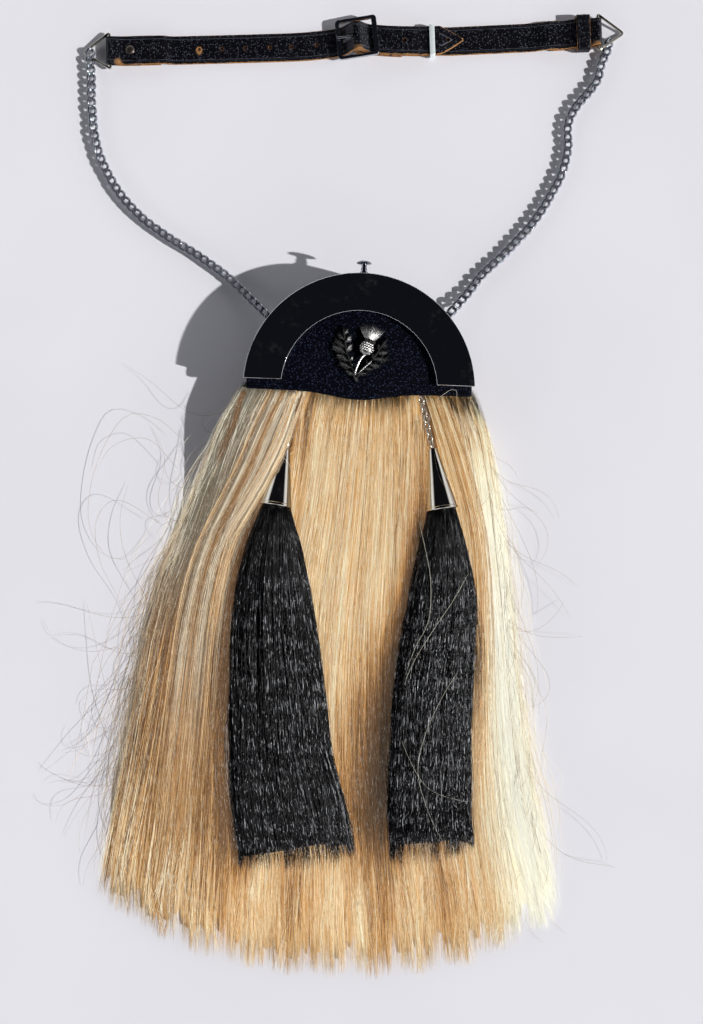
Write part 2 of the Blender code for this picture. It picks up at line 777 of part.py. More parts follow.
def ribbon(name, route, half_width, frame):
    """A strap along a route of (s, z): an open strip of leather with a Solidify modifier."""
    points = smooth_route([(s, z, 0.0) for s, z in route], STRAP_STEP)
    bm = bmesh.new()
    before = None
    for i, point in enumerate(points):
        s, z = point.x, max(point.y, FLAT_Z)
        wide, side = half_width(s, i, len(points)), strap_side(s)
        for end in (0.0, RINGS_APART):
            wide *= 1 - STRAP_END_NARROW * math.exp(-(((s - end) / (6 * MM)) ** 2))
        skew = BUCKLE_TWIST * math.exp(-(((s - BUCKLE_S) / (20 * MM)) ** 2))
        out = Vector((-math.sin(skew), math.cos(skew), 0)) * wide
        middle = Vector((s, side, z))
        pair = [bm.verts.new(middle - out), bm.verts.new(middle + out)]
        if before:
            bm.faces.new((before[0], pair[0], pair[1], before[1]))
        before = pair
    mesh = bpy.data.meshes.new(name)
    bm.to_mesh(mesh)
    bm.free()
    strap = add_part(name, mesh, "black_leather", frame)
    wall = strap.modifiers.new("leather", "SOLIDIFY")
    wall.thickness = STRAP_THICKNESS
    wall.offset = 0.0
    wall.use_even_offset = True
    return strap


def hole_cutter(name, places, radius, top, frame):
    """Upright punches at places along the strap, as one cutter."""
    bm = bmesh.new()
    for s in places:
        bmesh.ops.create_cone(
            bm,
            cap_ends=True,
            segments=8,
            radius1=radius,
            radius2=radius,
            depth=2 * top,
            matrix=Matrix.Translation((s, strap_side(s), 0)),
        )
    return add_cutter(name, to_mesh(bm, name), frame)


def make_billet(frame):
    """The punched strap, from its fold on the left ring over the buckle's bar to its point."""
    bar_z = FLAT_Z + FOLD_R
    s = BUCKLE_S
    low, high = FLAT_Z, FLAT_Z + LAYER
    route = [(34 * MM, low), (20 * MM, low), (8 * MM, low), (3 * MM, low)]
    route += fold(0.0, bar_z, FOLD_R, -1)
    route += [(4.5 * MM, high + 1.1 * MM), (10 * MM, high), (22 * MM, high), (35 * MM, high)]
    route += [(44 * MM, low), (60 * MM, low), (100 * MM, low), (138 * MM, low)]
    route += [
        (s - 18 * MM, low),
        (s - 12.7 * MM, low + 0.2 * MM),
        (s - 10.6 * MM, low + 0.5 * MM),
        (s - 8.4 * MM, low + 1.9 * MM),
        (s - 6.0 * MM, low + 4.4 * MM),
    ]
    route += arc((s, BUCKLE_Z), BAR_FOLD_R + LAYER + 0.1 * MM, 150, 40, 4)
    route += [
        (s + 5.6 * MM, high + LAYER + 2.1 * MM),
        (s + 8.5 * MM, high + LAYER + 0.45 * MM),
        (s + 11.5 * MM, high + LAYER),
        (s + 35 * MM, high + LAYER),
    ]
    through = KEEPER_WALL + GAP + STRAP_THICKNESS / 2
    route += [
        (KEEPER_S - 6 * MM, through + LAYER),
        (KEEPER_S + 5 * MM, through + LAYER),
        (KEEPER_S + 13 * MM, low + LAYER + 0.1 * MM),
        (KEEPER_S + 21.5 * MM, low + LAYER),
    ]
    point_s = KEEPER_S + 21.5 * MM
    half = STRAP_WIDTH / 2

    def half_width(s, i, count):
        if i < count / 2 or s < point_s - 17 * MM:
            return half
        left = max(point_s - s, 0.0) / (17 * MM)
        return max(half * min(1.0, 1.08 * left**0.8), 0.8 * MM)

    billet = ribbon("strap_billet", route, half_width, frame)
    holes = hole_cutter("punched holes", [h * MM for h in HOLE_STEPS], HOLE_R, 12 * MM, frame)
    combine(billet, holes, "DIFFERENCE")
    punch = hole_cutter("rivet hole", [RIVET_S], RIVET_R * 0.6 + GAP, 12 * MM, frame)
    combine(billet, punch, "DIFFERENCE")
    side = strap_side(BUCKLE_S)
    low_corner = (PRONG_SLOT[0] * MM, side - 1.7 * MM, 2 * MM)
    high_corner = (PRONG_SLOT[1] * MM, side + 1.7 * MM, 14 * MM)
    slot = add_cutter("prong slot", box(low_corner, high_corner, "prong slot"), frame)
    combine(billet, slot, "DIFFERENCE")

    profile = (
        (0, 2 * LAYER + 1.0 * MM),
        (0.6 * RIVET_R, 2 * LAYER + 0.8 * MM),
        (RIVET_R, 2 * LAYER + 0.15 * MM),
        (RIVET_R, 2 * LAYER + 0.05 * MM),
        (0.6 * RIVET_R, 2 * LAYER + 0.05 * MM),
        (0.6 * RIVET_R, 0.1 * MM),
        (0, 0.1 * MM),
    )
    rivet = turned("strap_rivet", profile, 12, "dark_chrome")
    rivet.parent = frame
    rivet.location = (RIVET_S, strap_side(RIVET_S), 0)


def make_buckle_strap(frame):
    """The other strap, from its fold on the buckle's bar to its fold on the right ring."""
    low, high = FLAT_Z, FLAT_Z + LAYER
    s, end = BUCKLE_S, RINGS_APART
    through = KEEPER_WALL + GAP + STRAP_THICKNESS / 2
    in_loop = END_LOOP_WALL + GAP + STRAP_THICKNESS / 2
    route = [(s + 30 * MM, low), (s + 20 * MM, low), (s + 11.5 * MM, low)]
    route += [(s + 6 * MM, low + 1.3 * MM)]
    route += fold(s, BUCKLE_Z, BAR_FOLD_R, -1)
    route += [
        *arc((s, BUCKLE_Z), BAR_FOLD_R, 65, 40, 1),
        (s + 4.2 * MM, high + 2.45 * MM),
        (s + 7.4 * MM, high + 0.55 * MM),
        (s + 11 * MM, high),
        (s + 31 * MM, high),
        (KEEPER_S - 7 * MM, through),
        (KEEPER_S + 5 * MM, through),
        (KEEPER_S + 14 * MM, low),
        (KEEPER_S + 40 * MM, low),
        (end - 46 * MM, low),
        (end - 34 * MM, high),
        (end - 22 * MM, high + 0.1 * MM),
        (end - 16 * MM, in_loop + LAYER),
        (end - 10 * MM, in_loop + LAYER),
        (end - 6 * MM, in_loop + LAYER + 0.05 * MM),
        (end - 3 * MM, in_loop + LAYER + 1.2 * MM),
    ]
    route += fold(end, in_loop + FOLD_R, FOLD_R, 1, upward=False)
    route += [(end - 6 * MM, in_loop), (end - 14 * MM, in_loop), (end - 22 * MM, low + 0.1 * MM)]
    route += [(end - 32 * MM, low)]
    half = STRAP_WIDTH / 2
    strap = ribbon("strap_buckle_side", route, lambda s, i, count: half, frame)
    side = strap_side(BUCKLE_S)
    low_corner = (s - 6 * MM, side - 2.0 * MM, 1.5 * MM)
    high_corner = (s + 6.5 * MM, side + 2.0 * MM, 12 * MM)
    slot = add_cutter("fold slot", box(low_corner, high_corner, "fold slot"), frame)
    combine(strap, slot, "DIFFERENCE")


def band_loop(name, s, length, wall, inner_low, inner_high, inner_width, look, frame):
    """A flat band bent round the straps: a block with its inside cut out."""
    side = strap_side(s)
    half = inner_width / 2
    outline = rounded_box(inner_width + 2 * wall, inner_high - inner_low + 2 * wall, 1.2 * MM)
    mesh = prism(outline, -length / 2, length / 2, name)
    upright = Matrix.Translation((s, side, (inner_low + inner_high) / 2))
    upright @= Matrix.Rotation(math.pi / 2, 4, "Z") @ Matrix.Rotation(math.pi / 2, 4, "X")
    mesh.transform(upright)
    loop = add_part(name, mesh, look, frame)
    inside = box(
        (s - length, side - half, inner_low), (s + length, side + half, inner_high), name
    )
    combine(loop, add_cutter(f"{name} inside", inside, frame), "DIFFERENCE")


def make_loops(frame):
    """The metal keeper by the strap's point and the leather loop by the right ring."""
    slack = STRAP_WIDTH + 4 * GAP
    keeper_top = KEEPER_WALL + 2 * LAYER + GAP
    band_loop(
        "strap_keeper", KEEPER_S, KEEPER_LENGTH, KEEPER_WALL, KEEPER_WALL, keeper_top,
        slack, "bright_steel", frame,
    )
    loop_top = END_LOOP_WALL + 2 * LAYER + 2 * GAP
    band_loop(
        "strap_end_loop", END_LOOP_S, END_LOOP_LENGTH, END_LOOP_WALL, END_LOOP_WALL, loop_top,
        slack + 0.6 * MM, "black_leather", frame,
    )


def make_rings(frame):
    """The two triangular rings of round wire, each with its bar in a fold of the strap."""
    bars = {
        "left": (0.0, FLAT_Z + FOLD_R, -1),
        "right": (RINGS_APART, END_LOOP_WALL + GAP + STRAP_THICKNESS / 2 + FOLD_R, 1),
    }
    for name, (bar_s, bar_z, side) in bars.items():
        corners = [(0, -RING_HALF_BASE), (0, RING_HALF_BASE), (RING_REACH, 0)]
        path = []
        for i, corner in enumerate(corners):
            here = Vector(corner)
            before, after = Vector(corners[i - 1]), Vector(corners[(i + 1) % 3])
            start = here + (before - here).normalized() * RING_CORNER_R
            end = here + (after - here).normalized() * RING_CORNER_R
            for t in (0.0, 0.33, 0.67, 1.0):
                path.append(start * (1 - t) ** 2 + here * 2 * t * (1 - t) + end * t**2)
        points = []
        for p in path:
            z = bar_z + (RING_LOW_Z - bar_z) * p.x / RING_REACH
            points.append((bar_s + side * p.x, p.y + strap_side(bar_s), z))
        wire(f"strap_ring_{name}", points, RING_WIRE_R, "bright_steel", cyclic=True, parent=frame)


def make_buckle(frame):
    """The centre-bar frame and the prong that lies through the punched strap."""
    side = strap_side(BUCKLE_S)
    place = Matrix.Translation((BUCKLE_S, side, BUCKLE_Z))
    place @= Matrix.Rotation(BUCKLE_TWIST, 4, "Z") @ Matrix.Rotation(-BUCKLE_RISE, 4, "Y")
    half = BUCKLE_THICKNESS / 2
    mesh = prism(rounded_box(BUCKLE_LENGTH, BUCKLE_WIDTH, 2.4 * MM), -half, half, "buckle_frame")
    buckle = add_part("buckle_frame", mesh, "dark_chrome", frame)
    buckle.matrix_local = place
    round_edges(buckle, 0.5 * MM, segments=1)
    tall = BUCKLE_WIDTH - 2 * BUCKLE_RAIL
    for name, way, bar in (("left", -1, BUCKLE_LEFT_BAR), ("right", 1, BUCKLE_RIGHT_BAR)):
        inner, outer = BUCKLE_BAR / 2, BUCKLE_LENGTH / 2 - bar
        outline = rounded_box(outer - inner, tall, 1.0 * MM, (way * (inner + outer) / 2, 0.0))
        window = prism(outline, -4 * half, 4 * half, f"{name} window")
        cutter = add_cutter(f"{name} window", window, frame)
        cutter.matrix_local = place
        combine(buckle, cutter, "DIFFERENCE")

    eye_r = BUCKLE_BAR / 2 * 1.42 + 1.5 * GAP + PRONG_R
    bm = bmesh.new()
    rings = []
    for i in range(12):
        angle = 2 * math.pi * i / 12
        out = Vector((math.cos(angle), 0, math.sin(angle)))
        rings.append([
            bm.verts.new(
                out * (eye_r + PRONG_R * math.cos(turn)) + Vector((0, PRONG_R * math.sin(turn), 0))
            )
            for turn in (2 * math.pi * j / 6 for j in range(6))
        ])
    for i, ring in enumerate(rings):
        after = rings[(i + 1) % len(rings)]
        for j in range(6):
            bm.faces.new((ring[j], ring[(j + 1) % 6], after[(j + 1) % 6], after[j]))
    prong = add_part("buckle_prong", to_mesh(bm, "buckle_prong", 40), "dark_chrome", frame)
    prong.location = (BUCKLE_S, side, BUCKLE_Z)

    left_bar_s = BUCKLE_S - BUCKLE_LENGTH / 2 + BUCKLE_LEFT_BAR / 2
    left_bar_top = BUCKLE_Z - math.sin(BUCKLE_RISE) * BUCKLE_LENGTH / 2 + half
    start = Vector((BUCKLE_S - 0.6 * MM, side, BUCKLE_Z + eye_r - GAP))
    end = Vector((left_bar_s - 0.9 * MM, side, left_bar_top + 3 * GAP + 0.7 * PRONG_R))
    way = end - start
    bm = bmesh.new()
    bmesh.ops.create_cone(
        bm,
        cap_ends=True,
        segments=8,
        radius1=1.05 * PRONG_R,
        radius2=0.7 * PRONG_R,
        depth=way.length,
        matrix=Matrix.Translation((start + end) / 2)
        @ way.to_track_quat("Z", "Y").to_matrix().to_4x4(),
    )
    combine(prong, add_cutter("prong pin", to_mesh(bm, "prong pin"), frame), "UNION")


def make_belt_chains():
    """Each belt chain as a tube along its route, from its ring up to its eye."""
    for side, plan in CHAIN_ROUTES.items():
        turn = math.radians(EYE_ANGLES[side])
        reach = POUCH_R + GAP + EYE_REACH + EYE_BEND_R + EYE_WIRE_R + 2 * GAP
        last = Vector((math.cos(turn), math.sin(turn))) * reach
        flat = [Vector((x, y, 0)) * MM for x, y in plan] + [Vector((last.x, last.y, 0))]
        route = smooth_route(flat, CHAIN_STEP)
        lengths = [0.0]
        for one, other in zip(route, route[1:]):
            lengths.append(lengths[-1] + (other - one).length)
        low = CHAIN_R + HAIRLINE
        points = []
        for place, length in zip(route, lengths):
            climb = ease(length / lengths[-1], CHAIN_RISE_FROM, 1.0)
            points.append((place.x, place.y, low + (EYE_Z - low) * climb))
        wire(f"belt_chain_{side}", points, CHAIN_R, "dark_chrome", resolution=2)


# ---------------------------------------------------------------- hair skirt


def tassel_mask(x, y):
    """1 where a tassel lies on the hair, 0 away from it."""
    found = 0.0
    for side, rows in TASSEL_ROWS.items():
        top_x, top_y = CHAIN_TOPS[side]
        first = rows[0]
        if y / MM > first.y:
            share = (y / MM - first.y) / (top_y - first.y)
            middle = (first.left + first.right) / 2 * (1 - share) + top_x * share
            half = (first.right - first.left) / 2 * (1 - share) + 2.0 * share
            centre, half = middle * MM, half * MM
        else:
            left, right = column(rows, "left", y), column(rows, "right", y)
            centre, half = (left + right) / 2, (right - left) / 2
        edge = half + TASSEL_BED_MARGIN
        across = 1 - ease(abs(x - centre), edge, edge + TASSEL_BED_FADE)
        along = ease(y, rows[-1].y * MM - 26 * MM, rows[-1].y * MM - 8 * MM)
        start = 1 - ease(y, -26 * MM, -8 * MM)
        found = max(found, across * along * start)
    return found


def hair_across(x, y):
    """Where x lies across the skirt at y, from -1 at its left edge to 1 at its right."""
    left, right = column(HAIR_ROWS, "left", y), column(HAIR_ROWS, "right", y)
    return (x - (left + right) / 2) / ((right - left) / 2)


def side_drop(y):
    """The height of the skirt's underside beside the pouch, from its roots to the floor."""
    return (HAIR_SHELF + GAP) * ease(y, HAIR_SIDE_DROP_Y, HAIR_TOP_Y)


def hair_under(x, y):
    """The skirt's underside: over the pouch, down beside it, and flat on the floor."""
    beside = side_drop(y)
    over = pouch_front(max(min(y, HAIR_TOP_Y), POUCH_BOTTOM_Y)) + GAP
    across = 1 - ease(abs(x), SHELF_HALF_WIDTH, SHELF_HALF_WIDTH + SHELF_FADE)
    along = 1 - ease(y, SHELF_END_Y, SHELF_END_Y - SHELF_END_FADE)
    return beside + max(over - beside, 0.0) * across * along


def hair_over(x, y):
    """The skirt's upper side: crowned, ridged by its locks, and pressed down by the tassels."""
    u = hair_across(x, y)
    crown = column(HAIR_ROWS, "crown", y)
    edge = side_drop(y) + HAIR_EDGE
    lock = (u + 1) / 2 * HAIR_LOCKS
    swell = abs(math.sin(math.pi * lock)) - 0.5
    ridge = LOCK_RIDGE * swell * ease(y, -10 * MM, -110 * MM)
    height = edge + (crown - edge) * (1 - min(abs(u), 1.0) ** 3) + ridge
    bed = crown - TASSEL_BED
    mask = tassel_mask(x, y)
    return height + (bed - height) * mask


def hair_end(u):
    """The y where the hair ends: lock tips, notched between the locks."""
    lock = (u + 1) / 2 * HAIR_LOCKS
    swell = 1 - abs(2 * (lock % 1.0) - 1)
    stagger = LOCK_STAGGER * math.sin(2.4 * math.floor(min(lock, HAIR_LOCKS - 0.01)) + 1.0)
    outer = HAIR_SIDE_RISE * abs(u) ** HAIR_SIDE_POWER
    return HAIR_END_Y + outer + LOCK_NOTCH * (1 - swell) + stagger * swell


def make_hair():
    """The skirt of blond hair, its locks fused into one closed pad."""
    columns = HAIR_LOCKS * LOCK_COLUMNS
    shares = [(HAIR_ROWS[0].y - row.y) / (HAIR_ROWS[0].y - HAIR_ROWS[-1].y) for row in HAIR_ROWS]
    bm = bmesh.new()
    upper, lower = [], []
    for i in range(columns + 1):
        u = 2 * i / columns - 1
        end = hair_end(u)
        tops, unders = [], []
        for share in shares:
            y = HAIR_TOP_Y + (end - HAIR_TOP_Y) * share
            left, right = column(HAIR_ROWS, "left", y), column(HAIR_ROWS, "right", y)
            x = (left + right) / 2 + u * (right - left) / 2
            under = hair_under(x, y)
            over = max(hair_over(x, y), under + 1.8 * MM)
            if share == shares[-1]:
                over = under + 2.0 * MM
            tops.append(bm.verts.new((x, y, over)))
            unders.append(bm.verts.new((x, y, under)))
        upper.append(tops)
        lower.append(unders)
    for i in range(columns):
        for j in range(len(shares) - 1):
            bm.faces.new((upper[i][j], upper[i + 1][j], upper[i + 1][j + 1], upper[i][j + 1]))
            bm.faces.new((lower[i][j], lower[i][j + 1], lower[i + 1][j + 1], lower[i + 1][j]))
        for j in (0, -1):
            bm.faces.new((upper[i][j], upper[i + 1][j], lower[i + 1][j], lower[i][j]))
    for i in (0, -1):
        for j in range(len(shares) - 1):
            bm.faces.new((upper[i][j], upper[i][j + 1], lower[i][j + 1], lower[i][j]))
    add_part("hair_skirt", to_mesh(bm, "hair_skirt", 60), "blond_hair")


# ---------------------------------------------------------------- tassels


def bed_height(y):
    """The height of the pressed-down hair that a tassel lies on."""
    return column(HAIR_ROWS, "crown", y) - TASSEL_BED


def cone_axis(side):
    """The foot and the top of a cone's axis, with its side lying on the hair."""
    foot, top = Vector((*CONE_FEET[side], 0)) * MM, Vector((*CONE_TOPS[side], 0)) * MM
    foot.z = bed_height(foot.y) + 2 * GAP + CONE_BASE_R
    top.z = bed_height(top.y) + 2 * GAP + CONE_TOP_R
    return foot, top


def make_cone(side):
    """A thin turned cone with a rim at its mouth and a hole for the chain at its top."""
    foot, top = cone_axis(side)
    length = (top - foot).length
    slope = (CONE_BASE_R - CONE_TOP_R) / length
    profile = (
        (CONE_HOLE_R, length),
        (CONE_TOP_R, length),
        (CONE_BASE_R - slope * CONE_RIM - 0.5 * MM, CONE_RIM + 0.3 * MM),
        (CONE_BASE_R - 0.2 * MM, CONE_RIM),
        (CONE_BASE_R, CONE_RIM / 2),
        (CONE_BASE_R - 0.3 * MM, 0),
        (CONE_BASE_R - CONE_WALL, 0),
        (CONE_TOP_R - CONE_WALL, length - CONE_WALL),
        (CONE_HOLE_R, length - CONE_WALL),
    )
    cone = turned(f"tassel_cone_{side}", profile, 20, "bright_steel")
    cone.rotation_mode = "QUATERNION"
    cone.rotation_quaternion = (top - foot).to_track_quat("Z", "Y")
    cone.location = foot


def tassel_ring(centre, way, half_width, half_height, ridge, fray):
    """One section of a tassel: an oval, ridged by its locks and pulled out at their tips."""
    side = Vector((-way.y, way.x, 0)).normalized()
    up = side.cross(way)
    if up.z < 0:
        up = -up
    ring = []
    for i in range(TASSEL_SIDES):
        angle = 2 * math.pi * i / TASSEL_SIDES
        out = 1 + ridge * (math.cos(TASSEL_LOCKS * angle) - 1)
        lock = (math.cos(angle) + 1) / 2 * (TASSEL_LOCKS - 1)
        notch = 1 - abs(2 * (lock % 1.0) - 1)
        ring.append(
            centre
            + side * half_width * out * math.cos(angle)
            + up * half_height * out * math.sin(angle)
            - way * fray * notch
        )
    return ring


def make_tassel_hair(side):
    """A bundle of black hair: a round head in the cone, spreading into flat locks."""
    foot, top = cone_axis(side)
    inward = (top - foot).normalized()
    slope = (CONE_BASE_R - CONE_TOP_R) / (top - foot).length
    rings = []
    for depth in (HEAD_DEPTH, 0.0):
        radius = CONE_BASE_R - CONE_WALL - slope * depth - 2 * GAP
        rings.append(tassel_ring(foot + inward * depth, -inward, radius, radius, 0.0, 0.0))
    rows = TASSEL_ROWS[side][1:]
    centres = []
    for row in rows:
        half = row.half * MM
        z = bed_height(row.y * MM) + 2 * GAP + half
        centres.append(Vector(((row.left + row.right) / 2 * MM, row.y * MM, z)))
    line = [foot, *centres]
    for i, (row, centre) in enumerate(zip(rows, centres)):
        after = line[min(i + 2, len(line) - 1)]
        way = (after - line[i]).normalized()
        wide = (row.right - row.left) / 2 * MM * abs(way.y)
        ridge = TASSEL_RIDGE * (i + 1) / len(rows)
        fray = TASSEL_FRAY if row is rows[-1] else 0.0
        rings.append(tassel_ring(centre, way, wide, row.half * MM, ridge, fray))
    add_part(f"tassel_hair_{side}", loft(rings, f"tassel_hair_{side}"), "black_hair")


def add_link(bm, place):
    """One oval link of round wire, lying in the XY plane of its place."""
    rings = []
    for i in range(LINK_SIDES):
        angle = 2 * math.pi * (i + 0.5) / LINK_SIDES
        out = Vector((math.cos(angle), math.sin(angle), 0))
        centre = Vector((LINK_HALF_LENGTH * out.x, LINK_HALF_WIDTH * out.y, 0))
        ring = []
        for j in range(LINK_WIRE_SIDES):
            turn = 2 * math.pi * j / LINK_WIRE_SIDES
            across = out * math.cos(turn) + Vector((0, 0, math.sin(turn)))
            ring.append(bm.verts.new(place @ (centre + across * LINK_WIRE_R)))
        rings.append(ring)
    for i, ring in enumerate(rings):
        after = rings[(i + 1) % LINK_SIDES]
        for j in range(LINK_WIRE_SIDES):
            k = (j + 1) % LINK_WIRE_SIDES
            bm.faces.new((ring[j], after[j], after[k], ring[k]))


def make_tassel_chain(side):
    """The fine chain from under the lip to the cone: links through each other, fused."""
    _, cone_top = cone_axis(side)
    x, y = CHAIN_TOPS[side]
    start = Vector((x, y, 0)) * MM
    rest = LINK_HALF_WIDTH + LINK_WIRE_R + GAP
    start.z = hair_over(start.x, start.y) + rest
    flat_end = cone_top + (start - cone_top).normalized() * (GAP + LINK_WIRE_R)
    way = (flat_end - start).normalized()
    room = (flat_end - start).length - 2 * LINK_HALF_LENGTH
    count = max(2, round(room / LINK_PITCH) + 1)
    pitch = room / (count - 1)
    turn = way.to_track_quat("X", "Z").to_matrix().to_4x4()
    sets = [bmesh.new(), bmesh.new()]
    for i in range(count):
        along = start + way * (LINK_HALF_LENGTH + pitch * i)
        along.z = max(along.z, hair_over(along.x, along.y) + rest)
        roll = Matrix.Rotation(LINK_TURN * (1 if i % 2 else -1), 4, "X")
        add_link(sets[i % 2], Matrix.Translation(along) @ turn @ roll)
    odd, even = (to_mesh(bm, f"tassel_chain_{side}") for bm in sets)
    chain = add_part(f"tassel_chain_{side}", odd, "bright_steel")
    combine(chain, add_cutter(f"tassel links {side}", even), "UNION")


def main():
    """Builds every piece."""
    clear_scene()
    make_arch()
    make_face()
    make_knob()
    make_badge()
    make_pouch()
    make_eyes()
    frame = add_strap_frame()
    make_billet(frame)
    make_buckle_strap(frame)
    make_loops(frame)
    make_rings(frame)
    make_buckle(frame)
    make_belt_chains()
    make_hair()
    for side in ("left", "right"):
        make_cone(side)
        make_tassel_hair(side)
        make_tassel_chain(side)


main()
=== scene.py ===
"""Looks of a full-dress horsehair sporran that lies on its back with its belt buckled.

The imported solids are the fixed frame. This script dresses them, puts finer pieces in the place of
the soft and the small ones, and adds the loose hair, the stitches, the floor, the light and the
camera. Lengths in the tables are in millimetres, in the frame of the part: X to the right, Y up
the front, Z out of the front.
"""

import json
import logging
import math
from dataclasses import dataclass, field
from enum import Enum
from typing import Callable, Iterable, NamedTuple, Optional, Sequence, Union

import bpy
import numpy as np
from mathutils import Matrix, Vector

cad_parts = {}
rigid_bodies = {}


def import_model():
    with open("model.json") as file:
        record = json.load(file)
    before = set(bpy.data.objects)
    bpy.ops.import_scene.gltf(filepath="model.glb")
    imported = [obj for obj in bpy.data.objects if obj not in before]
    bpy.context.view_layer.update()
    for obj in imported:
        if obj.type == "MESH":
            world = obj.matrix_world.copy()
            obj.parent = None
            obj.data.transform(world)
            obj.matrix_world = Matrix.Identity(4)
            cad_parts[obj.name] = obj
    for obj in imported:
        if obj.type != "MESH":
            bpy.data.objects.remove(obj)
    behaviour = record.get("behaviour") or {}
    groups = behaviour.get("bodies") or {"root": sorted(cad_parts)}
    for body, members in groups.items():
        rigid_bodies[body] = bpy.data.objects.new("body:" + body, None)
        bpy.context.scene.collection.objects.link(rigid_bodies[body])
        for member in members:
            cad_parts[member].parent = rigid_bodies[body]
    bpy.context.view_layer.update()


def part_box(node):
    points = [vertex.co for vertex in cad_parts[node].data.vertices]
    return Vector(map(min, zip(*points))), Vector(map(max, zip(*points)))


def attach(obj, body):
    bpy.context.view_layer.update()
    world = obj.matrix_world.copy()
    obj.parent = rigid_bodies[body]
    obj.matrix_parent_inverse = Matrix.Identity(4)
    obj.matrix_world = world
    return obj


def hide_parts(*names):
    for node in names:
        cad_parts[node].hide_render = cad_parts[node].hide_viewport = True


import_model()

MM = 0.001
SEED = 1847
LOG = logging.getLogger("sporran")
Colour = tuple[float, float, float]
Number = Union[float, "Signal"]
Tint = Union[Colour, "Signal"]


class Side(Enum):
    """The two sides of the sporran, as one faces it."""

    LEFT = "left"
    RIGHT = "right"

    def __str__(self) -> str:
        """The word that names of pieces and nodes hold."""
        return self.value

    @property
    def sign(self) -> int:
        """-1 at the left and 1 at the right."""
        return -1 if self is Side.LEFT else 1


class Axis(Enum):
    """An axis that a piece is sliced across."""

    X = 0
    Y = 1
    Z = 2


# ---------------------------------------------------------------- shader expressions


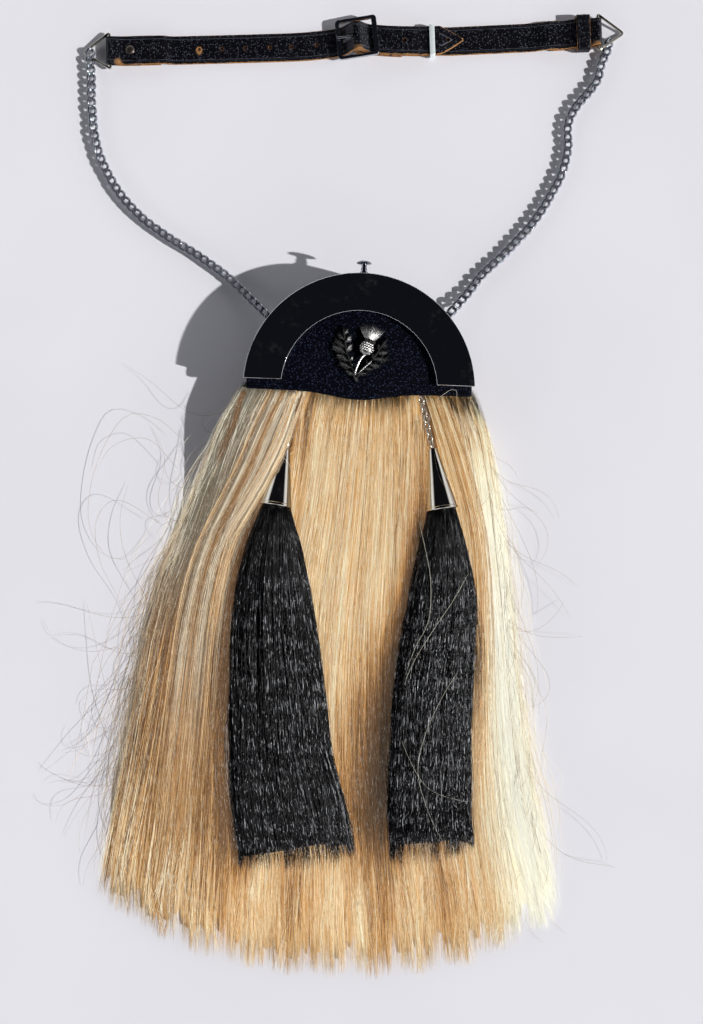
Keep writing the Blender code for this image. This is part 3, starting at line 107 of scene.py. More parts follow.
class Graph:
    """The node tree of one material or world, with short ways to add to it."""

    def __init__(self, tree: bpy.types.NodeTree) -> None:
        """Empties the tree."""
        self.tree = tree
        tree.nodes.clear()

    def node(
        self, kind: str, settings: Optional[dict] = None, inputs: Optional[dict] = None
    ) -> bpy.types.Node:
        """Adds one node.

        Args:
            kind: the node's type name.
            settings: its properties.
            inputs: values or signals for its sockets, by name or index.

        Returns:
            The node.
        """
        made = self.tree.nodes.new(kind)
        for name, value in (settings or {}).items():
            setattr(made, name, value)
        for name, value in (inputs or {}).items():
            if isinstance(value, Signal):
                self.tree.links.new(value.socket, made.inputs[name])
            else:
                made.inputs[name].default_value = value
        return made

    def signal(self, node: bpy.types.Node, output: Union[str, int] = 0) -> "Signal":
        """Wraps an output of a node."""
        return Signal(self, node.outputs[output])

    def apart(self, kind: str, source: "Signal") -> tuple["Signal", ...]:
        """The three parts of a vector or a colour."""
        node = self.node(kind, inputs={0: source})
        return tuple(self.signal(node, i) for i in range(3))

    def place(self) -> tuple["Signal", ...]:
        """The object coordinates in millimetres: as one vector, then x, y and z.

        Returns:
            The vector and its three parts.
        """
        coords = self.signal(self.node("ShaderNodeTexCoord"), "Object")
        parts = tuple(part * (1 / MM) for part in self.apart("ShaderNodeSeparateXYZ", coords))
        return self.vector(*parts), *parts

    def uv(self, name: str) -> tuple["Signal", ...]:
        """The two coordinates of a UV map."""
        coords = self.signal(self.node("ShaderNodeUVMap", {"uv_map": name}), "UV")
        return self.apart("ShaderNodeSeparateXYZ", coords)[:2]

    def channels(self, name: str) -> tuple["Signal", ...]:
        """The three channels of a colour attribute."""
        found = self.signal(self.node("ShaderNodeAttribute", {"attribute_name": name}), "Color")
        return self.apart("ShaderNodeSeparateColor", found)

    def vector(self, x: Number, y: Number, z: Number = 0.0) -> "Signal":
        """Three numbers as one vector."""
        return self.signal(self.node("ShaderNodeCombineXYZ", inputs={0: x, 1: y, 2: z}))

    def noise(
        self, where: "Signal", scale: float = 1.0, detail: float = 3.0, rough: float = 0.55
    ) -> "Signal":
        """Perlin noise, from 0 to 1."""
        inputs = {"Vector": where, "Scale": scale, "Detail": detail, "Roughness": rough}
        return self.signal(self.node("ShaderNodeTexNoise", inputs=inputs), 0)

    def cells(self, where: "Signal", scale: float, feature: str = "F1") -> "Signal":
        """Distance in a Voronoi pattern.

        Args:
            where: the place in the pattern.
            scale: how fine the pattern is.
            feature: which distance is measured, such as F1 or DISTANCE_TO_EDGE.

        Returns:
            The distance.
        """
        inputs = {"Vector": where, "Scale": scale}
        node = self.node("ShaderNodeTexVoronoi", {"feature": feature}, inputs)
        return self.signal(node, "Distance")

    def mix(self, share: Number, one: Tint, other: Tint) -> "Signal":
        """Blends two colours: the first at 0, the other at 1.

        Args:
            share: how much of the other.
            one: the first.
            other: the other.

        Returns:
            The blend.
        """
        one, other = (c if isinstance(c, Signal) else (*c, 1.0) for c in (one, other))
        node = self.node("ShaderNodeMix", {"data_type": "RGBA"}, {0: share, 6: one, 7: other})
        return self.signal(node, 2)

    def steps(self, value: "Signal", stops: Sequence[tuple[float, Colour]]) -> "Signal":
        """Colours along a value, each blended into the next.

        Args:
            value: what the colours are laid along.
            stops: pairs of a value and its colour.

        Returns:
            The colour.
        """
        colour = stops[0][1]
        for (low, _), (high, after) in zip(stops, stops[1:]):
            colour = self.mix(value.ramp(low, high), colour, after)
        return colour

    def bump(self, height: "Signal", distance: float, strength: float = 1.0) -> "Signal":
        """A normal from a height; distance is in millimetres."""
        inputs = {"Height": height, "Distance": distance * MM, "Strength": strength}
        return self.signal(self.node("ShaderNodeBump", inputs=inputs))

    def shader(self, **inputs: Union[Number, Colour]) -> "Signal":
        """A Principled BSDF; underscores stand for spaces, and colours have three numbers.

        Args:
            **inputs: the values of its inputs, by name.

        Returns:
            The shader's output.
        """
        named = {name.replace("_", " "): value for name, value in inputs.items()}
        for name, value in named.items():
            if isinstance(value, tuple) and "Color" in name:
                named[name] = (*value, 1.0)
        return self.signal(self.node("ShaderNodeBsdfPrincipled", inputs=named))

    def out(self, surface: "Signal") -> None:
        """Ends the tree with its output.

        Args:
            surface: the shader's output.
        """
        world = isinstance(self.tree.id_data, bpy.types.World)
        kind = "ShaderNodeOutputWorld" if world else "ShaderNodeOutputMaterial"
        self.node(kind, inputs={"Surface": surface})


class Signal:
    """A socket that takes part in arithmetic. Each operator adds a Math node."""

    def __init__(self, graph: Graph, socket: bpy.types.NodeSocket) -> None:
        """Wraps a socket of the graph."""
        self.graph, self.socket = graph, socket

    def math(self, operation: str, *others: Number, first: Optional[Number] = None) -> "Signal":
        """Adds a Math node with this signal as its first value, or after the one given.

        Args:
            operation: the node's operation.
            *others: the values that follow.
            first: goes before this signal, if given.

        Returns:
            The result.
        """
        values = (self, *others) if first is None else (first, self, *others)
        node = self.graph.node(
            "ShaderNodeMath", {"operation": operation}, dict(enumerate(values))
        )
        return self.graph.signal(node)

    def __add__(self, other: Number) -> "Signal":
        """Sum."""
        return self.math("ADD", other)

    def __sub__(self, other: Number) -> "Signal":
        """Difference."""
        return self.math("SUBTRACT", other)

    def __rsub__(self, other: Number) -> "Signal":
        """Difference from a number."""
        return self.math("SUBTRACT", first=other)

    def __mul__(self, other: Number) -> "Signal":
        """Product."""
        return self.math("MULTIPLY", other)

    def __truediv__(self, other: Number) -> "Signal":
        """Quotient."""
        return self.math("DIVIDE", other)

    def __pow__(self, other: Number) -> "Signal":
        """Power."""
        return self.math("POWER", other)

    __radd__ = __add__
    __rmul__ = __mul__

    def size(self) -> "Signal":
        """Absolute value."""
        return self.math("ABSOLUTE")

    def wave(self) -> "Signal":
        """Sine."""
        return self.math("SINE")

    def ramp(self, low: float, high: float) -> "Signal":
        """0 at low, 1 at high and smooth between, whichever is the greater.

        Args:
            low: where it is 0.
            high: where it is 1.

        Returns:
            The smooth step.
        """
        inputs = {0: self, 1: low, 2: high, 3: 0.0, 4: 1.0}
        settings = {"interpolation_type": "SMOOTHSTEP", "clamp": True}
        return self.graph.signal(self.graph.node("ShaderNodeMapRange", settings, inputs))

    def near(self, *centre: float, radius: float, others: Sequence["Signal"] = ()) -> "Signal":
        """1 at a point of this signal and the others, falling to 0 at the radius.

        Args:
            *centre: where this signal has its point.
            radius: where it has fallen to 0.
            others: the point's other coordinates.

        Returns:
            The spot.
        """
        square = (self - centre[0]) ** 2.0
        for other, value in zip(others, centre[1:]):
            square = square + (other - value) ** 2.0
        return square.ramp(radius**2, 0.0)


# ---------------------------------------------------------------- finishes


@dataclass(frozen=True)
class Finish:
    """A material that is made once, under its name."""

    name: str

    def material(self) -> bpy.types.Material:
        """The material, built the first time that it is asked for.

        Returns:
            The material.
        """
        found = bpy.data.materials.get(self.name)
        if found:
            return found
        made = bpy.data.materials.new(self.name)
        made.use_nodes = True
        graph = Graph(made.node_tree)
        graph.out(self.surface(graph))
        return made

    def surface(self, graph: Graph) -> Signal:
        """The shader of the finish."""
        raise NotImplementedError


@dataclass(frozen=True)
class PolishedMetal(Finish):
    """Plated metal with smudges, fine scratches and a little pitting."""

    colour: Colour = (0.5, 0.51, 0.53)
    roughness: float = 0.07
    smudge: float = 0.16
    wear: float = 0.02
    film: Colour = (0.10, 0.12, 0.15)
    metal: float = 1.0

    def surface(self, graph: Graph) -> Signal:
        """Mirror metal, with a dull film where it has been handled.

        Args:
            graph: the node tree that is being built.

        Returns:
            The shader's output.
        """
        where, x, y, z = graph.place()
        cloud = graph.noise(where, 0.045, 5.0, 0.66).ramp(0.50, 0.74)
        mottle = graph.noise(where, 0.22, 4.0, 0.7).ramp(0.45, 0.75)
        scratch = graph.noise(graph.vector(x * 0.15, y * 1.9, z), 1.3, 2.0, 0.7).ramp(0.66, 0.8)
        dull = cloud * mottle
        height = graph.noise(where, 0.35, 3.0) * 0.5 + graph.noise(where, 2.4, 2.0) * 0.12
        return graph.shader(
            Base_Color=graph.mix(dull, self.colour, self.film),
            Metallic=self.metal - dull * 0.08 - scratch * 0.02,
            Roughness=dull * self.smudge + scratch * 0.05 + self.roughness,
            Normal=graph.bump(height, self.wear, 0.6),
        )


@dataclass(frozen=True)
class AntiqueSilver(Finish):
    """A dark cast silver, rubbed bright on what stands out."""

    dark: Colour = (0.036, 0.036, 0.038)
    bright: Colour = (0.27, 0.265, 0.255)
    low: float = 25.4
    high: float = 30.8

    def surface(self, graph: Graph) -> Signal:
        """Dark in the hollows and rubbed on the high spots.

        Args:
            graph: the node tree that is being built.

        Returns:
            The shader's output.
        """
        where, _, _, z = graph.place()
        grain = graph.noise(where, 0.8, 4.0, 0.65)
        rubbed = (z.ramp(self.low, self.high) * 0.9 + grain * 0.9 - 0.45).ramp(0.0, 0.6)
        return graph.shader(
            Base_Color=graph.mix(rubbed, self.dark, self.bright),
            Metallic=0.95,
            Roughness=0.44 - rubbed * 0.14,
            Normal=graph.bump(graph.noise(where, 2.6, 4.0, 0.7), 0.12, 0.8),
        )


@dataclass(frozen=True)
class StippledLeather(Finish):
    """Dark leather with a fine dotted grain."""

    colour: Colour = (0.0003, 0.0006, 0.0030)
    sheen: Colour = (0.020, 0.025, 0.052)
    grain: float = 0.62
    roughness: float = 0.44
    shine: float = 0.07

    def surface(self, graph: Graph) -> Signal:
        """Fine dots, with an uneven shine.

        Args:
            graph: the node tree that is being built.

        Returns:
            The shader's output.
        """
        where, *_ = graph.place()
        dots = 1.0 - graph.cells(where, self.grain)
        fine = graph.noise(where, 1.7, 3.0, 0.75)
        patches = graph.noise(where, 0.05, 3.0)
        height = dots * 0.6 + fine * 0.7
        # painted highlight: the tops of the raised dots are lighter, in the sheen colour
        painted_highlight = (height - 0.74).ramp(0.0, 0.14)
        return graph.shader(
            Base_Color=graph.mix(painted_highlight, self.colour, self.sheen),
            Roughness=patches * 0.16 + fine * 0.14 + self.roughness - 0.12,
            Specular_IOR_Level=self.shine,
            Normal=graph.bump(height, 0.26, 1.0),
        )


@dataclass(frozen=True)
class StrapLeather(Finish):
    """Black strap leather: pebbled, creased across, tan where it is cut or worn.

    The UV map "strap" holds the place along the strap and how far the edge is, in millimetres.
    The colour attribute "worn" holds in its first channel where the black has rubbed off.
    """

    colour: Colour = (0.0008, 0.0008, 0.0026)
    painted_highlight: Colour = (0.060, 0.063, 0.084)
    tan: Colour = (0.46, 0.23, 0.085)
    brown: Colour = (0.13, 0.055, 0.020)

    def surface(self, graph: Graph) -> Signal:
        """Pebbled black with tan edges.

        Args:
            graph: the node tree that is being built.

        Returns:
            The shader's output.
        """
        where, x, y, z = graph.place()
        along, edge = graph.uv("strap")
        rubbed, _, _ = graph.channels("worn")
        warp = graph.noise(where, 0.4, 2.0) * 1.8
        slant = graph.vector(x * 0.8 + y * 0.35 + warp, y * 0.8 - x * 0.3 + warp, z)
        pebble = graph.cells(slant, 0.86)
        fine = graph.noise(where, 1.9, 4.0, 0.75)
        across = graph.vector(along * 0.9, edge * 0.05, z * 0.1)
        crease = graph.noise(across, 0.9, 4.0, 0.65).ramp(0.60, 0.72)
        ragged = graph.noise(where, 0.28, 4.0, 0.6)
        cut = (edge + (ragged - 0.5) * 1.3).ramp(0.42, 0.05)
        worn = (cut + rubbed * (ragged * 0.9 + 0.55)).ramp(0.30, 0.9)
        groove = edge.near(1.9, radius=0.55)
        knobs = pebble.ramp(0.40, 0.08) * (1.0 - groove)
        line = edge.near(2.5, radius=0.34) * ragged.ramp(0.25, 0.50)
        height = knobs * 0.7 + fine * 0.35 - crease * 0.3 - groove * 1.3
        # painted highlight: the pebbles' tops and a thin line beside the edge groove are lighter
        black = graph.mix(knobs * fine.ramp(0.20, 0.46) + line * 0.5, self.colour, self.painted_highlight)
        raw = graph.mix(fine.ramp(0.35, 0.65), self.brown, self.tan)
        return graph.shader(
            Base_Color=graph.mix(worn, black, raw),
            Roughness=ragged * 0.16 + worn * 0.4 + 0.34,
            Specular_IOR_Level=0.20,
            Normal=graph.bump(height, 0.20, 1.0),
        )


@dataclass(frozen=True)
class Horsehair(Finish):
    """Combed hair.

    The UV map "comb" holds the place across and along the hair, in millimetres, and the colour
    attribute "lay" its tone (0 dark to 1 pale), how silver it is, and how deep it lies; the depth
    is painted shade, which darkens the hair and dims its painted glints.
    """

    tones: tuple[tuple[float, Colour], ...]
    silver: Colour
    silver_dark: Colour
    streak: float = 0.5
    roughness: float = 0.38
    painted_glint: float = 0.0
    shine: float = 0.45
    kink: float = 0.5
    relief: float = 0.25
    curl: float = 0.12
    dull: float = 0.0

    def surface(self, graph: Graph) -> Signal:
        """Streaks along the comb, in the tones of the place.

        Args:
            graph: the node tree that is being built.

        Returns:
            The shader's output.
        """
        across, along = graph.uv("comb")
        tone, silver, depth = graph.channels("lay")
        sway = (graph.noise(graph.vector(across * 0.05, along * 0.03), 1.0, 2.0) - 0.5) * 7.0
        across = across + sway
        broad = graph.noise(graph.vector(across * 0.22, along * 0.014), 1.0, 3.0, 0.6)
        fine = graph.noise(graph.vector(across * 2.1, along * 0.07), 1.0, 4.0, 0.75)
        streaks = tone + (broad - 0.5) * self.streak + (fine - 0.5) * self.streak
        # painted shade: hair that lies deep is darker
        level = streaks - depth * 0.45
        grey = graph.mix(level.ramp(0.10, 0.90), self.silver_dark, self.silver)
        colour = graph.mix(silver, graph.steps(level, self.tones), grey)
        # painted highlight: short bright glints along the strands, laid into the base colour in the
        # silver colour
        painted_sparks = graph.noise(graph.vector(across * 3.0, along * self.curl), 1.0, 2.0, 0.5)
        waves = graph.noise(graph.vector(across * 1.3, along * self.curl), 1.0, 2.0, 0.5)
        painted_sparks = painted_sparks.ramp(0.57, 0.66) * (1.0 - depth * 0.85)
        return graph.shader(
            Base_Color=graph.mix(painted_sparks * self.painted_glint, colour, self.silver),
            Roughness=fine * 0.16 - painted_sparks * 0.12 + depth * self.dull + self.roughness,
            Specular_IOR_Level=self.shine,
            Normal=graph.bump(fine * 0.5 + broad * 0.6 + waves * self.kink, self.relief, 0.7),
        )


@dataclass(frozen=True)
class Thread(Finish):
    """Waxed sewing thread."""

    colour: Colour = (0.02, 0.019, 0.018)

    def surface(self, graph: Graph) -> Signal:
        """A twisted thread.

        Args:
            graph: the node tree that is being built.

        Returns:
            The shader's output.
        """
        _, x, y, z = graph.place()
        # painted light and shade along the twist: the crests lighter, the grooves darker
        twist = ((x + y * 0.8 + z) * 7.0).wave() * 0.5 + 0.5
        light = tuple(2.4 * c for c in self.colour)
        return graph.shader(
            Base_Color=graph.mix(twist, self.colour, light),
            Roughness=0.6,
            Normal=graph.bump(twist, 0.1, 0.6),
        )


@dataclass(frozen=True)
class Sheet(Finish):
    """The pale sheet that the object lies on."""

    colour: Colour = (0.735, 0.725, 0.762)

    def surface(self, graph: Graph) -> Signal:
        """A matt sheet with the faintest unevenness.

        Args:
            graph: the node tree that is being built.

        Returns:
            The shader's output.
        """
        where, *_ = graph.place()
        tooth = graph.noise(where, 0.9, 3.0, 0.7)
        soft = graph.noise(where, 0.006, 2.0)
        pale = tuple(min(1.0, 1.03 * c) for c in self.colour)
        return graph.shader(
            Base_Color=graph.mix(soft.ramp(0.3, 0.7), self.colour, pale),
            Roughness=0.9,
            Specular_IOR_Level=0.2,
            Normal=graph.bump(tooth, 0.05, 0.4),
        )


ARCH_CHROME = PolishedMetal("arch_chrome_look", roughness=0.04, smudge=0.05, wear=0.008)
DARK_CHROME = PolishedMetal(
    "dark_chrome_look", colour=(0.25, 0.26, 0.29), roughness=0.08, smudge=0.08
)
# painted reflection: the warm tint gives the mirror bands of the cones and rings the cream of the
# hair that they reflect
BRIGHT_STEEL = PolishedMetal(
    "bright_steel_look", colour=(0.46, 0.43, 0.375), roughness=0.06, smudge=0.06
)
BUCKLE_STEEL = PolishedMetal(
    "buckle_steel_look", colour=(0.52, 0.53, 0.57), roughness=0.13, smudge=0.1
)
PALE_STEEL = PolishedMetal(
    "pale_steel_look", colour=(0.74, 0.79, 0.80), roughness=0.36, smudge=0.1, metal=0.25
)
SILVER = AntiqueSilver("antique_silver_look")
FACE_LEATHER = StippledLeather("face_leather_look")
POUCH_LEATHER = StippledLeather(
    "pouch_leather_look", (0.009, 0.008, 0.008), (0.035, 0.032, 0.030), 0.8, 0.5
)
STRAP_LEATHER = StrapLeather("strap_leather_look")
FINE_STEEL = PolishedMetal(
    "fine_steel_look", colour=(0.56, 0.53, 0.47), roughness=0.20, smudge=0.15
)
BRONZE = PolishedMetal("bronze_look", colour=(0.10, 0.08, 0.07), roughness=0.42, smudge=0.2)
BLOND = Horsehair(
    "blond_hair_look",
    tones=(
        # the stop below 0 is reached only where painted shade darkens the hair
        (-0.40, (0.012, 0.008, 0.004)),
        (0.00, (0.135, 0.062, 0.016)),
        (0.25, (0.370, 0.178, 0.046)),
        (0.50, (0.630, 0.375, 0.135)),
        (0.70, (0.690, 0.530, 0.315)),
        (0.88, (0.790, 0.690, 0.450)),
        (1.05, (0.830, 0.800, 0.630)),
    ),
    silver=(0.850, 0.840, 0.740),
    silver_dark=(0.190, 0.180, 0.135),
    streak=0.46,
    painted_glint=0.30,
    shine=0.34,
    dull=0.35,
)
BLACK = Horsehair(
    "black_hair_look",
    tones=(
        (0.0, (0.0006, 0.0006, 0.0008)),
        (0.6, (0.002, 0.002, 0.0024)),
        (1.0, (0.030, 0.030, 0.035)),
    ),
    silver=(0.760, 0.760, 0.790),
    silver_dark=(0.030, 0.030, 0.035),
    streak=0.6,
    roughness=0.16,
    painted_glint=0.95,
    shine=0.30,
    kink=2.6,
    relief=0.6,
    curl=0.075,
    dull=0.35,
)
THREAD = Thread("thread_look")
SHEET = Sheet("sheet_look")


# ---------------------------------------------------------------- geometry


Points = Sequence[Sequence[float]]
Spread = Union[float, np.ndarray]
Shape = tuple[int, ...]
UP = np.array([0.0, 0.0, 1.0])
SAME_POINT = 0.005 * MM  # doubles of a spun piece
SAME_WIRE_POINT = 0.002 * MM


def link_object(name: str, mesh: bpy.types.Mesh, finish: Finish) -> bpy.types.Object:
    """Puts a mesh into the scene with its finish.

    Args:
        name: the name of the new piece.
        mesh: the mesh.
        finish: the finish that it gets.

    Returns:
        The piece.
    """
    made = bpy.data.objects.new(name, mesh)
    mesh.materials.clear()
    mesh.materials.append(finish.material())
    bpy.context.scene.collection.objects.link(made)
    return made


def mesh_from(name: str, verts: np.ndarray, faces: np.ndarray) -> bpy.types.Mesh:
    """A mesh from arrays in millimetres.

    Args:
        name: the mesh's name.
        verts: an array of points.
        faces: an array of rows of vertex numbers, all of one length.

    Returns:
        The mesh, smooth.
    """
    mesh = bpy.data.meshes.new(name)
    sides = faces.shape[1]
    mesh.vertices.add(len(verts))
    mesh.vertices.foreach_set("co", (np.asarray(verts, np.float32) * MM).ravel())
    mesh.loops.add(faces.size)
    mesh.loops.foreach_set("vertex_index", faces.astype(np.int32).ravel())
    mesh.polygons.add(len(faces))
    mesh.polygons.foreach_set("loop_start", np.arange(len(faces), dtype=np.int32) * sides)
    mesh.update(calc_edges=True)
    mesh.polygons.foreach_set("use_smooth", np.ones(len(faces), bool))
    return mesh


def set_uv(mesh: bpy.types.Mesh, name: str, per_vertex: np.ndarray) -> None:
    """Gives a mesh a UV map from two numbers for each vertex.

    Args:
        mesh: the mesh.
        name: the name of the UV map.
        per_vertex: an array with one row for each vertex.
    """
    index = np.zeros(len(mesh.loops), np.int32)
    mesh.loops.foreach_get("vertex_index", index)
    layer = mesh.uv_layers.new(name=name)
    layer.data.foreach_set("uv", per_vertex[index].astype(np.float32).ravel())


def set_colour(mesh: bpy.types.Mesh, name: str, per_vertex: np.ndarray) -> None:
    """Gives a mesh a colour attribute from three numbers for each vertex.

    Args:
        mesh: the mesh.
        name: the name of the attribute.
        per_vertex: an array with one row for each vertex.
    """
    layer = mesh.color_attributes.new(name=name, type="FLOAT_COLOR", domain="POINT")
    full = np.ones((len(per_vertex), 4), np.float32)
    full[:, :3] = per_vertex
    layer.data.foreach_set("color", full.ravel())


def read_places(mesh: bpy.types.Mesh) -> np.ndarray:
    """Where a mesh's vertices are, in millimetres.

    Args:
        mesh: the mesh.

    Returns:
        One row for each vertex.
    """
    places = np.zeros(len(mesh.vertices) * 3, np.float32)
    mesh.vertices.foreach_get("co", places)
    return places.reshape(-1, 3) / MM


def select_only(piece: bpy.types.Object) -> None:
    """Makes a piece the only selected and the active one.

    Args:
        piece: the piece.
    """
    bpy.ops.object.select_all(action="DESELECT")
    piece.select_set(True)
    bpy.context.view_layer.objects.active = piece


def apply_modifiers(piece: bpy.types.Object) -> None:
    """Applies a piece's modifiers in order.

    Args:
        piece: the piece.
    """
    select_only(piece)
    for step in list(piece.modifiers):
        bpy.ops.object.modifier_apply(modifier=step.name)


def smooth(piece: bpy.types.Object, angle: float = 40.0) -> bpy.types.Object:
    """Shades a piece smooth below an angle in degrees.

    Args:
        piece: the piece.
        angle: edges sharper than this stay sharp, in degrees.

    Returns:
        The same piece.
    """
    select_only(piece)
    bpy.ops.object.shade_smooth_by_angle(angle=math.radians(angle))
    return piece


def bevel(piece: bpy.types.Object, width: float, segments: int = 3, angle: float = 35.0) -> None:
    """Rounds the edges sharper than an angle; the width is in millimetres.

    Args:
        piece: the piece.
        width: how wide the rounding is, in millimetres.
        segments: how many facets it has.
        angle: the least angle of an edge that is rounded, in degrees.
    """
    step = piece.modifiers.new("rounded", "BEVEL")
    step.width = width * MM
    step.segments = segments
    step.limit_method = "ANGLE"
    step.angle_limit = math.radians(angle)
    step.harden_normals = False
    apply_modifiers(piece)


def cut(piece: bpy.types.Object, cutter: bpy.types.Object) -> None:
    """Cuts a piece with another, which then goes.

    Args:
        piece: the piece.
        cutter: what is cut away.
    """
    step = piece.modifiers.new("cut", "BOOLEAN")
    step.operation = "DIFFERENCE"
    step.solver = "EXACT"
    step.object = cutter
    apply_modifiers(piece)
    bpy.data.objects.remove(cutter)


def join(pieces: Sequence[bpy.types.Object], name: str) -> bpy.types.Object:
    """Joins pieces into the first one.

    Args:
        pieces: the pieces, the first of which stays.
        name: the name of the new piece.

    Returns:
        The joined piece.
    """
    bpy.ops.object.select_all(action="DESELECT")
    for piece in pieces:
        piece.select_set(True)
    bpy.context.view_layer.objects.active = pieces[0]
    if len(pieces) > 1:
        bpy.ops.object.join()
    pieces[0].name = name
    return pieces[0]


def edit(piece: bpy.types.Object, action: Callable[[], None]) -> None:
    """Runs an action on the whole of a piece in edit mode.

    Args:
        piece: the piece.
        action: what is done.
    """
    select_only(piece)
    bpy.ops.object.mode_set(mode="EDIT")
    bpy.ops.mesh.select_all(action="SELECT")
    action()
    bpy.ops.object.mode_set(mode="OBJECT")


def outward(piece: bpy.types.Object) -> bpy.types.Object:
    """Turns all faces of a piece outward."""
    edit(piece, lambda: bpy.ops.mesh.normals_make_consistent(inside=False))
    return piece


def slice_at(piece: bpy.types.Object, axis: Axis, levels: Iterable[float]) -> None:
    """Cuts edges into a piece at levels along an axis, in millimetres.

    Args:
        piece: the piece.
        axis: the axis.
        levels: where it is cut, in millimetres.
    """
    normal = tuple(float(i == axis.value) for i in range(3))

    def cut_edges() -> None:
        """Cuts at each level through the whole piece."""
        for level in levels:
            place = tuple(level * MM * share for share in normal)
            bpy.ops.mesh.select_all(action="SELECT")
            bpy.ops.mesh.bisect(plane_co=place, plane_no=normal)

    edit(piece, cut_edges)


def primitive(kind: str, **settings: float) -> bpy.types.Object:
    """A new mesh primitive, as the only selected object.

    Args:
        kind: the ending of the operator's name, such as plane.
        **settings: what the operator is given.

    Returns:
        The new piece.
    """
    bpy.ops.object.select_all(action="DESELECT")
    getattr(bpy.ops.mesh, f"primitive_{kind}_add")(**settings)
    return bpy.context.active_object


def outline_object(name: str, points: Points, finish: Finish, closed: bool) -> bpy.types.Object:
    """A chain of edges through points in millimetres, or one face if it is closed.

    Args:
        name: the name of the new piece.
        points: the points, in millimetres.
        finish: the finish that it gets.
        closed: makes one face.

    Returns:
        The piece.
    """
    mesh = bpy.data.meshes.new(name)
    verts = [tuple(MM * v for v in p) for p in points]
    edges = [] if closed else [(i, i + 1) for i in range(len(verts) - 1)]
    faces = [tuple(range(len(verts)))] if closed else []
    mesh.from_pydata(verts, edges, faces)
    return link_object(name, mesh, finish)


def plate(
    name: str, outline: Points, low: float, high: float, finish: Finish
) -> bpy.types.Object:
    """A flat outline, extruded from one height to another.

    Args:
        name: the name of the new piece.
        outline: its corners (x, y), in millimetres.
        low: the height of its underside.
        high: the height of its upper side.
        finish: the finish that it gets.

    Returns:
        The piece.
    """
    piece = outline_object(name, [(x, y, low) for x, y in outline], finish, True)
    rise = {"value": (0, 0, (high - low) * MM)}
    edit(piece, lambda: bpy.ops.mesh.extrude_region_move(TRANSFORM_OT_translate=rise))
    return outward(piece)


def spun(
    name: str, profile: Points, finish: Finish, steps: int, angle: float,
    foot_y: Optional[float] = None,
) -> bpy.types.Object:
    """A profile of (radius, height) in millimetres, spun round Z and cut off at its feet.

    Args:
        name: the name of the new piece.
        profile: points (radius, height), in millimetres.
        finish: the finish that it gets.
        steps: in how many steps it is spun.
        angle: how far it is spun, in radians.
        foot_y: where the piece is cut off, if it is.

    Returns:
        The piece.
    """
    piece = outline_object(name, [(r, 0.0, h) for r, h in profile], finish, False)

    def spin() -> None:
        """Spins the profile, closes the seam and cuts the feet level."""
        bpy.ops.mesh.spin(
            steps=steps, angle=angle, center=(0, 0, 0), axis=(0, 0, 1), dupli=False
        )
        bpy.ops.mesh.select_all(action="SELECT")
        bpy.ops.mesh.remove_doubles(threshold=SAME_POINT)
        if foot_y is not None:
            bpy.ops.mesh.bisect(
                plane_co=(0, foot_y * MM, 0), plane_no=(0, 1, 0), clear_inner=True, use_fill=True
            )

    edit(piece, spin)
    return outward(piece)


def lathe(
    name: str, profile: Points, finish: Finish, steps: int = 64, sharp: float = 30.0
) -> bpy.types.Object:
    """A turned piece, from its profile of (radius, height) in millimetres."""
    return smooth(spun(name, profile, finish, steps, 2 * math.pi), sharp)


def half_ring(
    name: str, section: Points, foot_y: float, finish: Finish, steps: int
) -> bpy.types.Object:
    """A closed section of (radius, height) spun half round Z and cut off level at its feet."""
    return spun(name, [*section, section[0]], finish, steps, -math.pi, foot_y)


def put(piece: bpy.types.Object, place: Matrix) -> bpy.types.Object:
    """Moves a piece's mesh, so that the object stays at the origin, unturned."""
    piece.data.transform(place)
    return piece


def mm_matrix(x: float, y: float, z: float) -> Matrix:
    """A move in millimetres."""
    return Matrix.Translation(Vector((x, y, z)) * MM)


def arc(
    centre: Sequence[float], radius: float, start: float, end: float, count: int
) -> list[tuple[float, float]]:
    """Points on an arc, from one angle to another in degrees.

    Args:
        centre: its centre (x, y).
        radius: the radius, in millimetres.
        start: the first angle.
        end: the last angle.
        count: how many points.

    Returns:
        The points (x, y).
    """
    angles = np.radians(np.linspace(start, end, count + 1))
    return [
        (centre[0] + radius * math.cos(a), centre[1] + radius * math.sin(a)) for a in angles
    ]


def rounded_box(length: float, width: float, radius: float, x: float = 0.0) -> list:
    """The outline of a rectangle with round corners.

    Args:
        length: along X.
        width: along Y.
        radius: the corners' radius.
        x: where its middle is.

    Returns:
        The points (x, y).
    """
    outline = []
    for side_x, side_y, start in ((1, 1, 0), (-1, 1, 90), (-1, -1, 180), (1, -1, 270)):
        middle = (x + side_x * (length / 2 - radius), side_y * (width / 2 - radius))
        outline += arc(middle, radius, start, start + 90, 6)
    return outline


def curve_through(points: Points, step: float) -> np.ndarray:
    """Points about a step apart on a smooth curve through the given ones.

    Args:
        points: what the curve goes through.
        step: the distance between two points.

    Returns:
        One row for each point.
    """
    given = np.asarray(points, float)
    ends = np.vstack([2 * given[0] - given[1], given, 2 * given[-1] - given[-2]])
    route = [given[0]]
    for before, start, end, after in zip(ends, ends[1:], ends[2:], ends[3:]):
        count = max(1, int(round(np.linalg.norm(end - start) / step)))
        for t in np.linspace(0, 1, count + 1)[1:]:
            route.append(
                0.5
                * (
                    2 * start
                    + (end - before) * t
                    + (2 * before - 5 * start + 4 * end - after) * t**2
                    + (3 * start - before - 3 * end + after) * t**3
                )
            )
    return np.array(route)


def distances(route: np.ndarray) -> np.ndarray:
    """How far along a route each of its points lies."""
    return np.concatenate([[0], np.cumsum(np.linalg.norm(np.diff(route, axis=0), axis=1))])


def shares(route: np.ndarray) -> np.ndarray:
    """How far along a route each of its points lies, from 0 to 1."""
    return distances(route) / distances(route)[-1]


